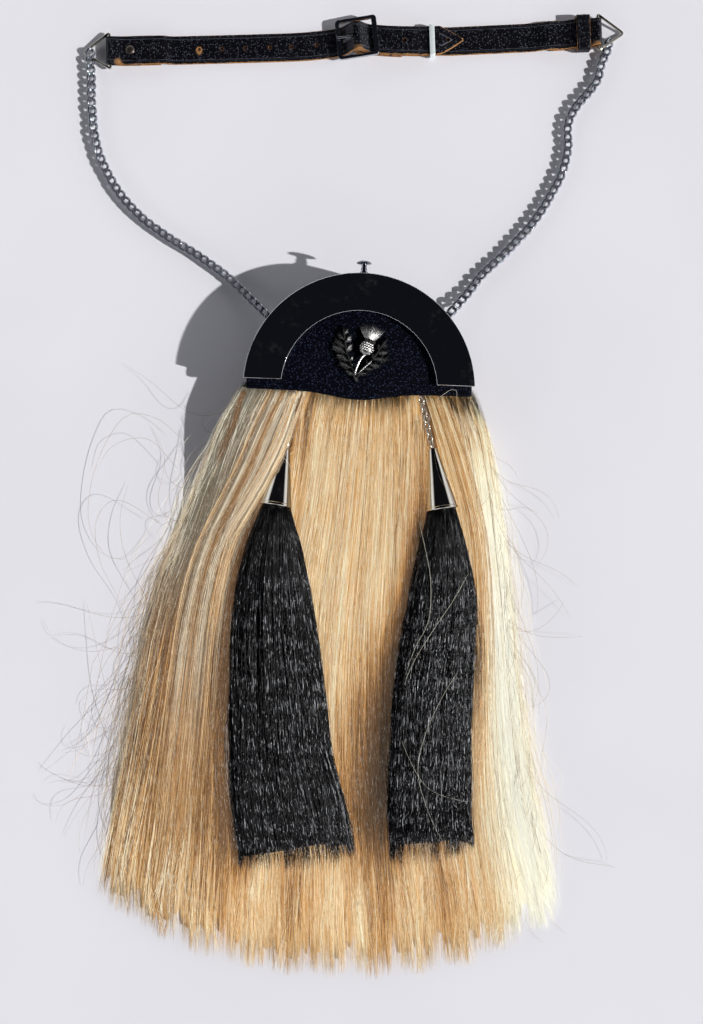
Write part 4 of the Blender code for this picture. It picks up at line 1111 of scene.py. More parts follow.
def along_curve(route: np.ndarray, count: int) -> np.ndarray:
    """The same route in an even number of points.

    Args:
        route: one row for each point.
        count: how many points.

    Returns:
        One row for each point.
    """
    lengths = distances(route)
    wanted = np.linspace(0, lengths[-1], count)
    return np.stack([np.interp(wanted, lengths, route[:, i]) for i in range(3)], axis=1)


def stacked(*parts: Spread) -> np.ndarray:
    """Numbers side by side in a last axis, each spread to the shape of all."""
    return np.stack(np.broadcast_arrays(*parts), axis=-1)


def unit(vectors: np.ndarray) -> np.ndarray:
    """Vectors of length one."""
    return vectors / np.maximum(np.linalg.norm(vectors, axis=-1, keepdims=True), 1e-9)


def ease(value: np.ndarray, low: float, high: float) -> np.ndarray:
    """0 below low, 1 above high and smooth between. It falls where low is the greater."""
    share = np.clip((np.asarray(value, float) - low) / (high - low), 0.0, 1.0)
    return share * share * (3 - 2 * share)


def tube(
    name: str, points: Points, radius: float, finish: Finish, cyclic: bool = False, sides: int = 12
) -> bpy.types.Object:
    """A round wire through points in millimetres.

    Args:
        name: the name of the new piece.
        points: the points, in millimetres.
        radius: the wire's radius.
        finish: the finish that it gets.
        cyclic: closes the wire into a ring.
        sides: how many facets go round the wire.

    Returns:
        The piece.
    """
    curve = bpy.data.curves.new(name, "CURVE")
    curve.dimensions = "3D"
    curve.bevel_depth = radius * MM
    curve.bevel_resolution = max(0, sides // 4 - 1)
    curve.use_fill_caps = True
    spline = curve.splines.new("POLY")
    spline.points.add(len(points) - 1)
    for target, place in zip(spline.points, points):
        target.co = (*(v * MM for v in place), 1.0)
    spline.use_cyclic_u = cyclic
    made = bpy.data.objects.new(name, curve)
    bpy.context.scene.collection.objects.link(made)
    select_only(made)
    bpy.ops.object.convert(target="MESH")
    made.data.materials.clear()
    made.data.materials.append(finish.material())
    edit(made, lambda: bpy.ops.mesh.remove_doubles(threshold=SAME_WIRE_POINT))
    return smooth(outward(made), 50)


def grid_faces(rows: int, columns: int, close_rows: bool, close_columns: bool) -> np.ndarray:
    """Quads over a grid of points, numbered row by row.

    Args:
        rows: how many rows of points.
        columns: how many points in a row.
        close_rows: joins the last row to the first.
        close_columns: joins the end of each row to its start.

    Returns:
        One row of four numbers for each quad.
    """
    i = np.arange(rows if close_rows else rows - 1)
    j = np.arange(columns if close_columns else columns - 1)
    i, j = np.meshgrid(i, j, indexing="ij")
    k, m = (i + 1) % rows, (j + 1) % columns
    quads = (i * columns + j, i * columns + m, k * columns + m, k * columns + j)
    return np.stack(quads, axis=-1).reshape(-1, 4)


class Strands:
    """Thin three-sided strands, pointed at both ends, gathered into one mesh."""

    SIDES = 3

    def __init__(self) -> None:
        """Starts with none."""
        self.blocks: list[tuple[np.ndarray, ...]] = []

    def add(
        self, paths: np.ndarray, radius: np.ndarray, comb: Spread = 0.0, lay: Spread = 0.0,
        most: float = 1.2,
    ) -> None:
        """Adds strands.

        Args:
            paths: (..., points, 3), in millimetres.
            radius: (..., points), in millimetres.
            comb: (..., points, 2), the place across and along the hair.
            lay: (..., points, 3), its tone, silver and depth.
            most: the greatest number that lay may hold.
        """
        points = paths.shape[-2]
        comb = np.broadcast_to(comb, (*paths.shape[:-1], 2)).reshape(-1, points, 2)
        lay = np.broadcast_to(np.clip(lay, 0, most), paths.shape).reshape(-1, points, 3)
        radius = radius.reshape(-1, points)
        self.blocks.append((paths.reshape(-1, points, 3), radius, comb, lay))

    def faces(self, inner: int) -> np.ndarray:
        """The triangles of one strand, with its rings first and its two tips last.

        Args:
            inner: how many rings there are.

        Returns:
            One row of three numbers for each triangle.
        """
        quads = grid_faces(inner, self.SIDES, False, True)
        here = np.arange(self.SIDES)
        after = (here + 1) % self.SIDES
        last = (inner - 1) * self.SIDES
        tip = np.full(self.SIDES, inner * self.SIDES)
        start = np.stack([here, after, tip], axis=1)
        end = np.stack([last + after, last + here, tip + 1], axis=1)
        return np.concatenate([quads[:, [2, 1, 0]], quads[:, [3, 2, 0]], start, end])

    def skin(self, paths: np.ndarray, radius: np.ndarray) -> np.ndarray:
        """The points of each strand: three round each inner point, then its two tips.

        Args:
            paths: (strands, points, 3), in millimetres.
            radius: (strands, points), in millimetres.

        Returns:
            One row of points for each strand.
        """
        way = unit(np.gradient(paths, axis=1))
        side = unit(np.cross(way, UP))
        up = np.cross(side, way)
        rings = []
        for k in range(self.SIDES):
            angle = math.pi / 2 + 2 * math.pi * k / self.SIDES
            out = side * math.cos(angle) + up * math.sin(angle)
            rings.append(paths[:, 1:-1] + out[:, 1:-1] * radius[:, 1:-1, None])
        body = np.stack(rings, axis=2).reshape(len(paths), -1, 3)
        return np.concatenate([body, paths[:, :1], paths[:, -1:]], axis=1)

    def build(self, name: str, finish: Finish) -> bpy.types.Object:
        """Makes the mesh, which rides on the part.

        Args:
            name: the name of the new piece.
            finish: the finish that it gets.

        Returns:
            The piece.
        """
        verts, tris, combs, lays = [], [], [], []
        base = 0
        for paths, radius, comb, lay in self.blocks:
            points = self.skin(paths, radius)
            verts.append(points)
            count, per = points.shape[:2]
            faces = self.faces(paths.shape[1] - 2)
            offsets = base + per * np.arange(count)
            tris.append((faces[None] + offsets[:, None, None]).reshape(-1, 3))
            for source, target in ((comb, combs), (lay, lays)):
                ring = np.repeat(source[:, 1:-1], self.SIDES, axis=1)
                target.append(np.concatenate([ring, source[:, :1], source[:, -1:]], axis=1))
            base += per * count
        verts, combs, lays = (
            np.concatenate([block.reshape(-1, block.shape[-1]) for block in blocks])
            for blocks in (verts, combs, lays)
        )
        mesh = mesh_from(name, verts, np.concatenate(tris))
        set_uv(mesh, "comb", combs)
        set_colour(mesh, "lay", lays)
        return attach(link_object(name, mesh, finish), "root")


def taper(
    count: int, points: int, rng: np.random.Generator, low: float, high: float, end: float = 0.12
) -> np.ndarray:
    """Radii of strands: random widths, thinner towards both ends.

    Args:
        count: how many strands.
        points: how many points each has.
        rng: the source of random numbers.
        low: the least radius.
        high: the greatest radius.
        end: how thin the ends are.

    Returns:
        One row of radii for each strand.
    """
    t = np.linspace(0, 1, points)
    shape = np.clip(np.minimum(t / 0.08, (1 - t) / 0.22), end, 1.0) ** 0.7
    return rng.uniform(low, high, (count, 1)) * shape[None]


def uneven_steps(count: int, shape: Shape, rng: np.random.Generator) -> np.ndarray:
    """Steps from 0 to 1 along each strand, shifted a little so that no two strands bend alike."""
    even = np.linspace(0, 1, count)
    return even + rng.uniform(-0.48, 0.48, shape) / (count - 1) * (4 * even * (1 - even)) ** 0.3


def show(piece: bpy.types.Object, *nodes: str, slot: Optional[str] = None) -> bpy.types.Object:
    """A new piece rides on the part and may stand for nodes of it.

    Args:
        piece: the piece.
        *nodes: the nodes that it stands for.
        slot: not used.

    Returns:
        The same piece.
    """
    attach(piece, "root")
    if nodes:
        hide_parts(*nodes)
    return piece


# ---------------------------------------------------------------- cantle


@dataclass
class Cantle:
    """The chromed arch, the leather face with its lip, and the knob."""

    outer: float = 76.0
    inner: float = 51.0
    sheet: float = 1.2
    foot_y: float = 4.3
    front: float = 28.0
    rim_back: float = 20.0
    face_back: float = 22.0
    face_front: float = 25.0
    lip_y: float = -2.0
    bulge: float = 4.8
    bulge_width: float = 24.0
    knob_radius: float = 4.85

    def build(self) -> list[bpy.types.Object]:
        """Makes the three pieces."""
        return [self.arch(), self.face(), self.knob()]

    def arch(self) -> bpy.types.Object:
        """The hollow arch, with a bright bevel round its front.

        Returns:
            The piece.
        """
        back = self.face_front + 0.3
        inside = self.outer - self.sheet
        section = (
            (self.outer, self.rim_back),
            (self.outer, self.front),
            (self.inner, self.front),
            (self.inner, back),
            (inside, back),
            (inside, self.rim_back),
        )
        ring = half_ring("cantle_arch", section, self.foot_y, ARCH_CHROME, 120)
        bevel(ring, 0.85, 3, 50)
        top = self.front - self.sheet
        hollow = (
            (self.inner + self.sheet, back - 2),
            (self.inner + self.sheet, top),
            (inside, top),
            (inside, back - 2),
        )
        cut(ring, half_ring("hollow", hollow, self.foot_y + self.sheet, ARCH_CHROME, 120))
        return show(smooth(ring, 30), "cantle_band", slot="arch_chrome")

    def lip(self, x: float) -> float:
        """The y of the lip's edge."""
        return self.lip_y - self.bulge * math.exp(-((x / self.bulge_width) ** 2))

    def face(self) -> bpy.types.Object:
        """The leather face, rolled over at its edges.

        Returns:
            The piece.
        """
        radius = self.outer - self.sheet - 0.6
        outline = arc((0, 0), radius, 0, 180, 110)
        outline += [(x, self.lip(x)) for x in np.linspace(-radius, radius, 90)]
        face = plate("leather_face", outline, self.face_back, self.face_front, FACE_LEATHER)
        bevel(face, 1.1, 4, 50)
        return show(smooth(face, 50), "cantle_face", slot="face_leather")

    def knob(self) -> bpy.types.Object:
        """The mushroom-headed knob, with a collar and a turned neck.

        Returns:
            The piece.
        """
        r = self.knob_radius
        profile = (
            (0.0, 8.0), (0.35 * r, 7.95), (0.62 * r, 7.75), (0.85 * r, 7.35), (0.96 * r, 6.95),
            (r, 6.6), (0.97 * r, 6.3), (0.88 * r, 6.15), (0.5 * r, 6.0), (1.9, 5.8), (1.75, 5.2),
            (1.75, 3.4), (2.0, 3.1), (2.1, 2.8), (2.0, 2.5), (1.8, 2.2), (1.85, 1.3), (2.2, 1.0),
            (2.7, 0.8), (2.75, 0.4), (2.7, 0.0), (0.0, 0.0),
        )
        knob = lathe("knob", profile, DARK_CHROME, 48)
        turn = Matrix.Rotation(-math.pi / 2, 4, "X")
        put(knob, mm_matrix(0.4, self.outer + 0.3, 24.0) @ turn)
        return show(knob, "top_knob", slot="dark_chrome")


# ---------------------------------------------------------------- thistle badge


class Leaf(NamedTuple):
    """A leaf of the thistle: the points of its rib, and the tips of its lobes."""

    rib: tuple[tuple[float, float], ...]
    lobes: tuple[tuple[float, float, float, float], ...]  # start along the rib, x, y, width


@dataclass
class ThistleBadge:
    """A thistle cast in low relief: two spiked leaves, a stem, a scaled bulb and its bristles."""

    back: float = 25.3
    bulb: tuple[float, float] = (4.0, 26.4)
    bulb_size: tuple[float, float, float] = (4.3, 4.6, 3.4)
    lean: float = -20.0
    tuft_foot: tuple[float, float] = (5.9, 31.5)
    tuft_span: tuple[float, float] = (30.0, -46.0)
    tuft_length: float = 11.6
    leaves: tuple[Leaf, ...] = (
        Leaf(
            ((-1.8, 7.0), (-5.0, 14.0), (-8.6, 22.5), (-10.6, 32.0), (-11.6, 41.6)),
            (
                (0.08, -9.6, 12.6, 1.5), (0.20, -13.9, 16.9, 1.9), (0.34, -15.8, 21.9, 2.1),
                (0.48, -18.8, 27.4, 2.3), (0.60, -17.4, 31.6, 2.2), (0.74, -15.2, 36.4, 1.8),
                (0.22, -4.2, 16.4, 1.3), (0.34, -4.3, 21.6, 1.6), (0.52, -5.4, 29.2, 2.0),
                (0.68, -6.2, 35.6, 1.9), (0.82, -8.6, 39.6, 1.4),
            ),
        ),
        Leaf(
            ((-2.2, 6.8), (2.2, 13.0), (7.4, 18.2), (13.0, 27.0), (17.9, 34.2)),
            (
                (0.10, 5.8, 10.4, 1.2), (0.24, 9.0, 13.0, 1.4), (0.38, 14.2, 15.8, 1.7),
                (0.52, 19.4, 20.4, 1.8), (0.66, 18.0, 24.6, 1.8), (0.80, 18.2, 28.2, 1.6),
                (0.34, 3.8, 19.6, 1.1), (0.52, 7.9, 23.8, 1.6), (0.72, 11.0, 29.6, 1.6),
                (0.84, 14.2, 32.4, 1.2),
            ),
        ),
    )
    blades: list = field(default_factory=list)

    def blade(
        self, start: np.ndarray, end: np.ndarray, wide: float, tall: float, z: float,
        sag: float = 0.0, lift: float = 0.0,
    ) -> None:
        """Keeps one tapered blade with a sharp back.

        Args:
            start: its root, (x, y).
            end: its tip.
            wide: its half width.
            tall: the height of its back.
            z: the height of its underside.
            sag: how far it bows sideways.
            lift: how far its tip rises.
        """
        t = np.linspace(0, 1, 8)[:, None]
        way = end - start
        across = np.array([-way[1], way[0]]) / max(np.linalg.norm(way), 1e-6)
        middle = start + way * t + across * sag * np.sin(math.pi * t)
        width = wide * (0.5 + 0.7 * np.sin(math.pi * np.clip(t * 0.9 + 0.05, 0, 1))) * (1 - t**4)
        width = np.maximum(width, 0.05)
        rise = tall * (1 - 0.5 * t) * (0.75 + 0.4 * np.sin(math.pi * t))
        ring = []
        for side, level in ((-1, 0.0), (-0.7, 0.45), (0, 1.0), (0.7, 0.45), (1, 0.0)):
            flat = middle + across * side * width
            ring.append(np.concatenate([flat, z + rise * level + lift * t**2], axis=1))
        self.blades.append(np.stack(ring, axis=1))

    def build(self) -> list[bpy.types.Object]:
        """Makes the badge as one piece.

        Returns:
            The badge.
        """
        rng = np.random.default_rng(SEED)
        for leaf in self.leaves:
            self.grow(leaf, rng)
        self.bristles(rng)
        pieces = [self.blade_mesh(), self.bulb_piece(), self.stem()]
        badge = join(pieces, "thistle")
        return [show(smooth(badge, 42), "thistle_badge", slot="antique_silver")]

    def grow(self, leaf: Leaf, rng: np.random.Generator) -> None:
        """A leaf's rib, its lobes, and the small spikes along them.

        Args:
            leaf: the leaf's measures.
            rng: the source of random numbers.
        """
        rib = curve_through([(x, y, 0.0) for x, y in leaf.rib], 0.5)[:, :2]

        def at(share: float) -> np.ndarray:
            """The point at a share of the rib.

            Args:
                share: how far along the rib, from 0 to 1.

            Returns:
                The point (x, y).
            """
            place = share * (len(rib) - 1)
            low = min(int(place), len(rib) - 2)
            return rib[low] + (rib[low + 1] - rib[low]) * (place - low)

        for low, high in ((0.0, 0.3), (0.24, 0.55), (0.48, 0.8), (0.72, 1.0)):
            self.blade(at(low), at(high), 0.85, 3.3, self.back, 0.0, 0.3)
        for share, x, y, wide in leaf.lobes:
            start, end = at(share), np.array([x, y])
            lift = rng.uniform(0.2, 1.3)
            self.blade(start, end, 1.1 * wide, 1.9, self.back, rng.uniform(-0.5, 0.5), lift)
            way = end - start
            left = np.array([-way[1], way[0]])
            for along, side in ((0.38, 1), (0.46, -1), (0.68, 1), (0.74, -1)):
                foot = start + way * along
                tip = foot + way * 0.30 + left * side * (0.36 - 0.20 * along)
                self.blade(foot, tip, 0.30 * wide, 1.7, self.back + 0.2, 0.0, lift * along)

    def bristles(self, rng: np.random.Generator) -> None:
        """The fan of bristles, in three layers.

        Args:
            rng: the source of random numbers.
        """
        foot = np.array(self.tuft_foot)
        first, last = self.tuft_span
        for layer, (count, length) in enumerate(((17, 1.0), (14, 0.84), (11, 0.66))):
            for share in np.linspace(0, 1, count):
                angle = math.radians(90 + first + (last - first) * share)
                way = np.array([math.cos(angle), math.sin(angle)])
                side = (share - 0.5) * 3.4
                root = foot + np.array([side, -0.35 * side])
                reach = self.tuft_length * length * rng.uniform(0.93, 1.03)
                z = self.back + 0.7 + 0.8 * layer
                self.blade(root, root + way * reach, 0.62, 0.5, z, 0.0, 0.3)
        for k in range(-3, 4):
            root = foot + np.array([k * 0.72, -0.3 * k - 1.8])
            tip = root + np.array([k * 0.42 + 0.5, 3.4 - 0.3 * abs(k)])
            self.blade(root, tip, 0.55, 1.6, self.back + 2.3)

    def blade_mesh(self) -> bpy.types.Object:
        """All the kept blades as one mesh, each closed underneath and at its ends.

        Returns:
            The piece.
        """
        verts, quads, caps, base = [], [], [], 0
        for ring in self.blades:
            rows, columns = ring.shape[:2]
            verts.append(ring.reshape(-1, 3))
            quads.append(grid_faces(rows, columns, False, True) + base)
            last = base + (rows - 1) * columns
            caps += [[row + i for i in range(columns)] for row in (base, last)]
            base += rows * columns
        mesh = bpy.data.meshes.new("blades")
        points = (np.concatenate(verts) * MM).tolist()
        mesh.from_pydata(points, [], [*np.concatenate(quads).tolist(), *caps])
        return outward(link_object("blades", mesh, SILVER))

    def bulb_piece(self) -> bpy.types.Object:
        """The bulb, with rows of pointed scales.

        Returns:
            The piece.
        """
        x, y = self.bulb
        a, b, c = self.bulb_size
        middle = self.back + 1.3
        bulb = primitive("uv_sphere", segments=40, ring_count=24, radius=MM)
        lean = Matrix.Rotation(math.radians(self.lean), 4, "Z")
        bulb.data.transform(mm_matrix(x, y, middle) @ lean @ Matrix.Diagonal((a, b, c, 1.0)))
        for vert in bulb.data.vertices:
            vert.co.z = max(vert.co.z, self.back * MM)
        bulb.data.materials.append(SILVER.material())
        turn = np.array(lean)[:2, :2]
        kept, self.blades = self.blades, []
        for row in range(5):
            for k in range(-3, 4):
                u, v = (k + 0.5 * (row % 2)) / 3.4, (row - 2.2) / 3.2
                if u * u + v * v > 0.9:
                    continue
                z = middle + c * math.sqrt(1 - u * u - v * v)
                foot = np.array([x, y]) + turn @ np.array([u * a, v * b])
                tip = foot + turn @ np.array([u * 0.6, 1.8])
                self.blade(foot, tip, 0.85, 0.85, z - 0.4)
        piece = self.blade_mesh()
        self.blades = kept
        return join([bulb, piece], "bulb")

    def stem(self) -> bpy.types.Object:
        """The two crossing stems.

        Returns:
            The piece.
        """
        up = self.back
        routes = (
            ((3.3, 22.6, up + 1.8), (0.6, 19.6, up + 2.5), (-1.4, 15.4, up + 2.6),
             (-2.6, 11.4, up + 2.2), (-3.0, 8.0, up + 1.4), (-1.2, 5.6, up + 1.0)),
            ((7.4, 18.2, up + 1.6), (2.2, 13.2, up + 2.2), (-0.8, 9.8, up + 2.0),
             (-2.6, 7.6, up + 1.2), (-2.0, 5.4, up + 0.9), (-0.4, 5.0, up + 0.8)),
        )
        stems = [
            tube(f"stem_{i}", curve_through(route, 0.6), radius, SILVER)
            for i, (route, radius) in enumerate(zip(routes, (0.8, 0.62)))
        ]
        return join(stems, "stems")


# ---------------------------------------------------------------- pouch


@dataclass
class Pouch:
    """The flat leather bag behind the hair, its flap, its stitches and its two wire eyes."""

    radius: float = 64.0
    back: float = 2.1
    front: float = 21.7
    leather: float = 2.0
    side_y: float = -60.0
    foot_y: float = -98.0
    shelf: float = 15.0
    shelf_y: float = 5.0
    shelf_foot: float = 9.0
    step_run: float = 3.0  # how long the slope is from the shelf up to the front
    step_lean: float = 1.15  # how far the hollow's slope lies from the outer one, by its inset
    mouth: tuple[float, float, float] = (84.0, 44.0, 6.0)  # its length, width and corners
    mouth_y: float = 16.0
    flap_radius: float = 54.0
    flap_drop: float = 42.0
    flap_thickness: float = 1.8
    eye_angles: tuple[tuple[Side, float], ...] = ((Side.LEFT, 142.4), (Side.RIGHT, 42.7))
    eye_bend: float = 3.5
    eye_reach: float = 6.4
    eye_z: float = 9.0

    def outline(self, inset: float) -> list[tuple[float, float]]:
        """The pouch from the front.

        Args:
            inset: how far inside the outline, in millimetres.

        Returns:
            The points (x, y).
        """
        radius = self.radius - inset
        points = arc((0, 0), radius, 0, 180, 72)
        depth = self.side_y - self.foot_y - inset
        for angle in np.linspace(math.pi, 2 * math.pi, 49):
            points.append((radius * math.cos(angle), self.side_y + depth * math.sin(angle)))
        return points

    def step_y(self, inset: float) -> float:
        """The y at which the slope from the shelf starts."""
        return self.shelf_y + self.step_lean * inset

    def front_at(self, y: float, inset: float) -> float:
        """The height of the pouch's front.

        Args:
            y: how far up the sheet, in millimetres.
            inset: how far inside the outline, in millimetres.

        Returns:
            The height, in millimetres.
        """
        fall = max((self.shelf_y - y) / (self.shelf_y - self.foot_y), 0.0)
        low = self.shelf - (self.shelf - self.shelf_foot) * fall
        share = min(max((y - self.step_y(inset)) / self.step_run, 0.0), 1.0)
        return low + (self.front - low) * share - inset

    def body(self, name: str, inset: float) -> bpy.types.Object:
        """The pouch as a closed body, smaller by the inset.

        Args:
            name: the name of the new piece.
            inset: how far inside the outline, in millimetres.

        Returns:
            The body.
        """
        back = self.back + inset
        piece = plate(name, self.outline(inset), back, self.front, POUCH_LEATHER)
        step = self.step_y(inset)
        slice_at(piece, Axis.Y, (step, step + self.step_run))
        for vert in piece.data.vertices:
            if vert.co.z > (back + 1) * MM:
                vert.co.z = self.front_at(vert.co.y / MM, inset) * MM
        return piece

    def flap_outline(self, inset: float, count: int = 60) -> list[tuple[float, float]]:
        """The flap from the back.

        Args:
            inset: how far inside the outline, in millimetres.
            count: how many points each arc has.

        Returns:
            The points (x, y).
        """
        radius, drop = self.flap_radius - inset, self.flap_drop - inset
        points = arc((0, 0), radius, 0, 180, count)
        for angle in np.linspace(math.pi, 2 * math.pi, count + 1)[1:-1]:
            points.append((radius * math.cos(angle), drop * math.sin(angle)))
        return points

    def build(self) -> list[bpy.types.Object]:
        """Makes the pouch, the flap, the eyes and the stitches.

        Returns:
            The pieces.
        """
        shell = self.body("pouch", 0.0)
        bevel(shell, 1.6, 4, 40)
        cut(shell, self.body("pouch hollow", self.leather))
        hole = [(x, y + self.mouth_y) for x, y in rounded_box(*self.mouth)]
        cut(shell, plate("mouth", hole, 0.0, self.back + 4.0, POUCH_LEATHER))
        show(smooth(shell, 45), "pouch_shell", slot="pouch_leather")
        flap = plate("flap", self.flap_outline(0.0), 0.0, self.flap_thickness, POUCH_LEATHER)
        bevel(flap, 0.5, 3, 40)
        show(smooth(flap, 45), "pouch_flap", slot="pouch_leather")
        return [shell, flap, *self.eyes(), self.stitches()]

    def eyes(self) -> list[bpy.types.Object]:
        """The bent wire eyes for the belt chains.

        Returns:
            The eyes.
        """
        made = []
        bend, root = self.radius + self.eye_reach, self.radius
        path = [(root, -self.eye_bend), *arc((bend, 0), self.eye_bend, -90, 90, 20)]
        path.append((root, self.eye_bend))
        for side, degrees in self.eye_angles:
            cos, sin = math.cos(math.radians(degrees)), math.sin(math.radians(degrees))
            points = [(x * cos - y * sin, x * sin + y * cos, self.eye_z) for x, y in path]
            eye = tube(f"{side}_eye", points, 1.0, DARK_CHROME, sides=16)
            made.append(show(eye, f"hanger_eye_{side}", slot="dark_chrome"))
        return made

    def stitches(self) -> bpy.types.Object:
        """Two rows of stitches: round the pouch's back, and round the flap.

        Returns:
            The stitches, as one piece.
        """
        rows = (
            (self.outline(3.6), self.back - 0.05, 3.6),
            (self.flap_outline(3.0, 40), 0.23, 3.2),
        )
        strands = Strands()
        for outline, z, step in rows:
            closed = np.array([(x, y, z) for x, y in [*outline, outline[0]]])
            count = int(distances(closed)[-1] / step)
            ends = along_curve(closed, count * 8 + 1)
            paths = np.stack([ends[i * 8 : i * 8 + 7] for i in range(count)])
            bulge = np.sin(np.linspace(0, math.pi, 7))
            paths[:, :, 2] -= 0.25 * (bulge - 0.6) if z > 1 else 0.0
            radius = np.full((count, 7), 0.32) * np.clip(bulge * 2, 0.5, 1.0)
            strands.add(paths, radius)
        return strands.build("stitches", THREAD)


# ---------------------------------------------------------------- belt


class Wear(NamedTuple):
    """A place where the black has rubbed off: its x, y, radius and strength."""

    x: float
    y: float
    radius: float
    strength: float


@dataclass
class Belt:
    """The two straps, the loops, the rings, the rivet and the buckle, in the strap's own frame."""

    start: tuple[float, float] = (-177.0, 225.2)
    turn: float = 4.26
    length: float = 330.0
    width: float = 19.0
    thickness: float = 1.6
    step: float = 1.2
    bow: float = 1.4
    gap: float = 0.3
    buckle_s: float = 167.5
    buckle_z: float = 5.75
    buckle_rise: float = 7.0
    buckle_twist: float = 4.0
    buckle_bar: float = 1.6
    buckle_length: float = 28.0
    buckle_width: float = 26.5
    buckle_half: float = 1.0  # half the frame's thickness
    buckle_window: float = 22.5  # the width of its two openings
    end_bars: tuple[tuple[Side, float], ...] = ((Side.LEFT, 2.6), (Side.RIGHT, 3.4))
    bar_swell: float = 1.42  # how far the round bar's wire stands out from its flat middle
    keeper_s: float = 218.0
    keeper_wall: float = 0.7
    end_loop_s: float = 320.0
    end_loop_wall: float = 1.4
    end_loop_length: float = 9.0
    point: float = 17.0
    prong_half: float = 1.7  # half the width of the prong's slot
    ring_wire: float = 0.9
    holes: tuple[float, ...] = (60.0, 75.5, 91.3, 108.1, 122.6, 140.0, 199.5, 229.0)
    worn: tuple[Wear, ...] = (
        Wear(-117.0, 227.9, 2.3, 1.2),
        Wear(-9.0, 228.6, 4.2, 0.9),
        Wear(-12.0, 240.0, 8.0, 0.30),
        Wear(151.5, 238.8, 4.0, 1.3),
        Wear(-171.0, 217.5, 3.4, 0.9),
    )

    @property
    def flat_z(self) -> float:
        """The height of the middle of a strap that lies on the floor."""
        return self.thickness / 2 + 0.05

    @property
    def layer(self) -> float:
        """How much higher the next layer lies."""
        return self.thickness + self.gap

    @property
    def fold_r(self) -> float:
        """The radius of a strap's middle round a ring's bar."""
        return self.ring_wire + self.gap + self.thickness / 2

    @property
    def bar_r(self) -> float:
        """The radius of a strap's middle round the buckle's bar."""
        return self.buckle_bar / 2 * self.bar_swell + self.gap + self.thickness / 2

    def place(self) -> Matrix:
        """The strap's own frame."""
        turn = Matrix.Rotation(math.radians(self.turn), 4, "Z")
        return mm_matrix(*self.start, 0.0) @ turn

    def side(self, s: float) -> float:
        """How far the strap's middle lies off the straight line between its rings.

        Args:
            s: how far along that line, in millimetres.

        Returns:
            The distance, in millimetres.
        """
        bow = -self.bow * math.sin(math.pi * s / self.length)
        near = math.exp(-(((s - self.buckle_s) / 22.0) ** 2))
        return bow + (1.6 + self.bow) * near

    def fold(self, s: float, z: float, radius: float, side: Side, upward: bool = True) -> list:
        """Points (s, z) round a bar, from under it to over it, or back.

        Args:
            s: where the bar is along the straps.
            z: the height of its middle.
            radius: how far from it the strap's middle lies.
            side: the side of the bar that the strap goes round.
            upward: goes from under the bar to over it.

        Returns:
            The points.
        """
        angles = np.linspace(-math.pi / 2, math.pi / 2, 10) * (1 if upward else -1)
        reach = side.sign * radius
        return [(s + reach * math.cos(a), z + radius * math.sin(a)) for a in angles]

    def build(self) -> list[bpy.types.Object]:
        """Makes the straps and their metal.

        Returns:
            The pieces.
        """
        return [
            self.billet(),
            self.buckle_strap(),
            *self.loops(),
            *self.rings(),
            self.buckle(),
            self.prong(),
            self.rivet(),
            self.stitching(),
        ]

    def tip_half(self, left: Spread) -> Spread:
        """Half the width of a strap's point, where a share of it is left."""
        return self.width / 2 * np.minimum(1.0, 1.08 * left**0.8)

    def flat_strap(
        self, name: str, length: float, point: float, holes: Iterable[float],
        slot: tuple[float, float],
    ) -> bpy.types.Object:
        """A strap laid out flat along X, with its point, its holes and its slot for the prong.

        Args:
            name: the name of the new piece.
            length: its length, in millimetres.
            point: how much of it is the point.
            holes: where its holes are.
            slot: where its slot starts and ends.

        Returns:
            The flat strap.
        """
        half = self.width / 2
        edge = [(s, -half) for s in np.arange(0.0, length - point, self.step)]
        if point:
            for left in np.linspace(1, 0, 14):
                edge.append((length - point * left, -max(self.tip_half(left), 0.8)))
        else:
            edge.append((length, -half))
        outline = edge + [(s, -v) for s, v in reversed(edge)]
        strap = plate(name, outline, -self.thickness / 2, self.thickness / 2, STRAP_LEATHER)
        bevel(strap, 0.45, 2, 60)
        for s in holes:
            hole = primitive("cylinder", vertices=24, radius=1.3 * MM, depth=6 * MM)
            cut(strap, put(hole, mm_matrix(s, 0, 0)))
        (low, high), side = slot, self.prong_half
        corners = [(low, -side), (high, -side), (high, side), (low, side)]
        cut(strap, plate("slot", corners, -3, 3, STRAP_LEATHER))
        slice_at(strap, Axis.Y, (-7.9, -5.0, -2.5, 0.0, 2.5, 5.0, 7.9))
        slice_at(strap, Axis.X, np.arange(self.step, length, self.step))
        return strap

    def route(self, points: list) -> np.ndarray:
        """A strap's way from its points (s, z), as rows of arc length, s, z and slope.

        Args:
            points: pairs of s and z.

        Returns:
            One row for each step.
        """
        way = curve_through([(s, z, 0.0) for s, z in points], 1.0)
        way[:, 1] = np.maximum(way[:, 1], self.flat_z)
        lengths = distances(way)
        even = np.arange(0, lengths[-1], 0.5)
        s, z = (np.interp(even, lengths, way[:, i]) for i in range(2))
        slope = np.unwrap(np.arctan2(np.gradient(z), np.gradient(s)))
        slope = np.convolve(np.pad(slope, 2, mode="edge"), np.ones(5) / 5, mode="valid")
        return np.column_stack([even, s, z, slope])

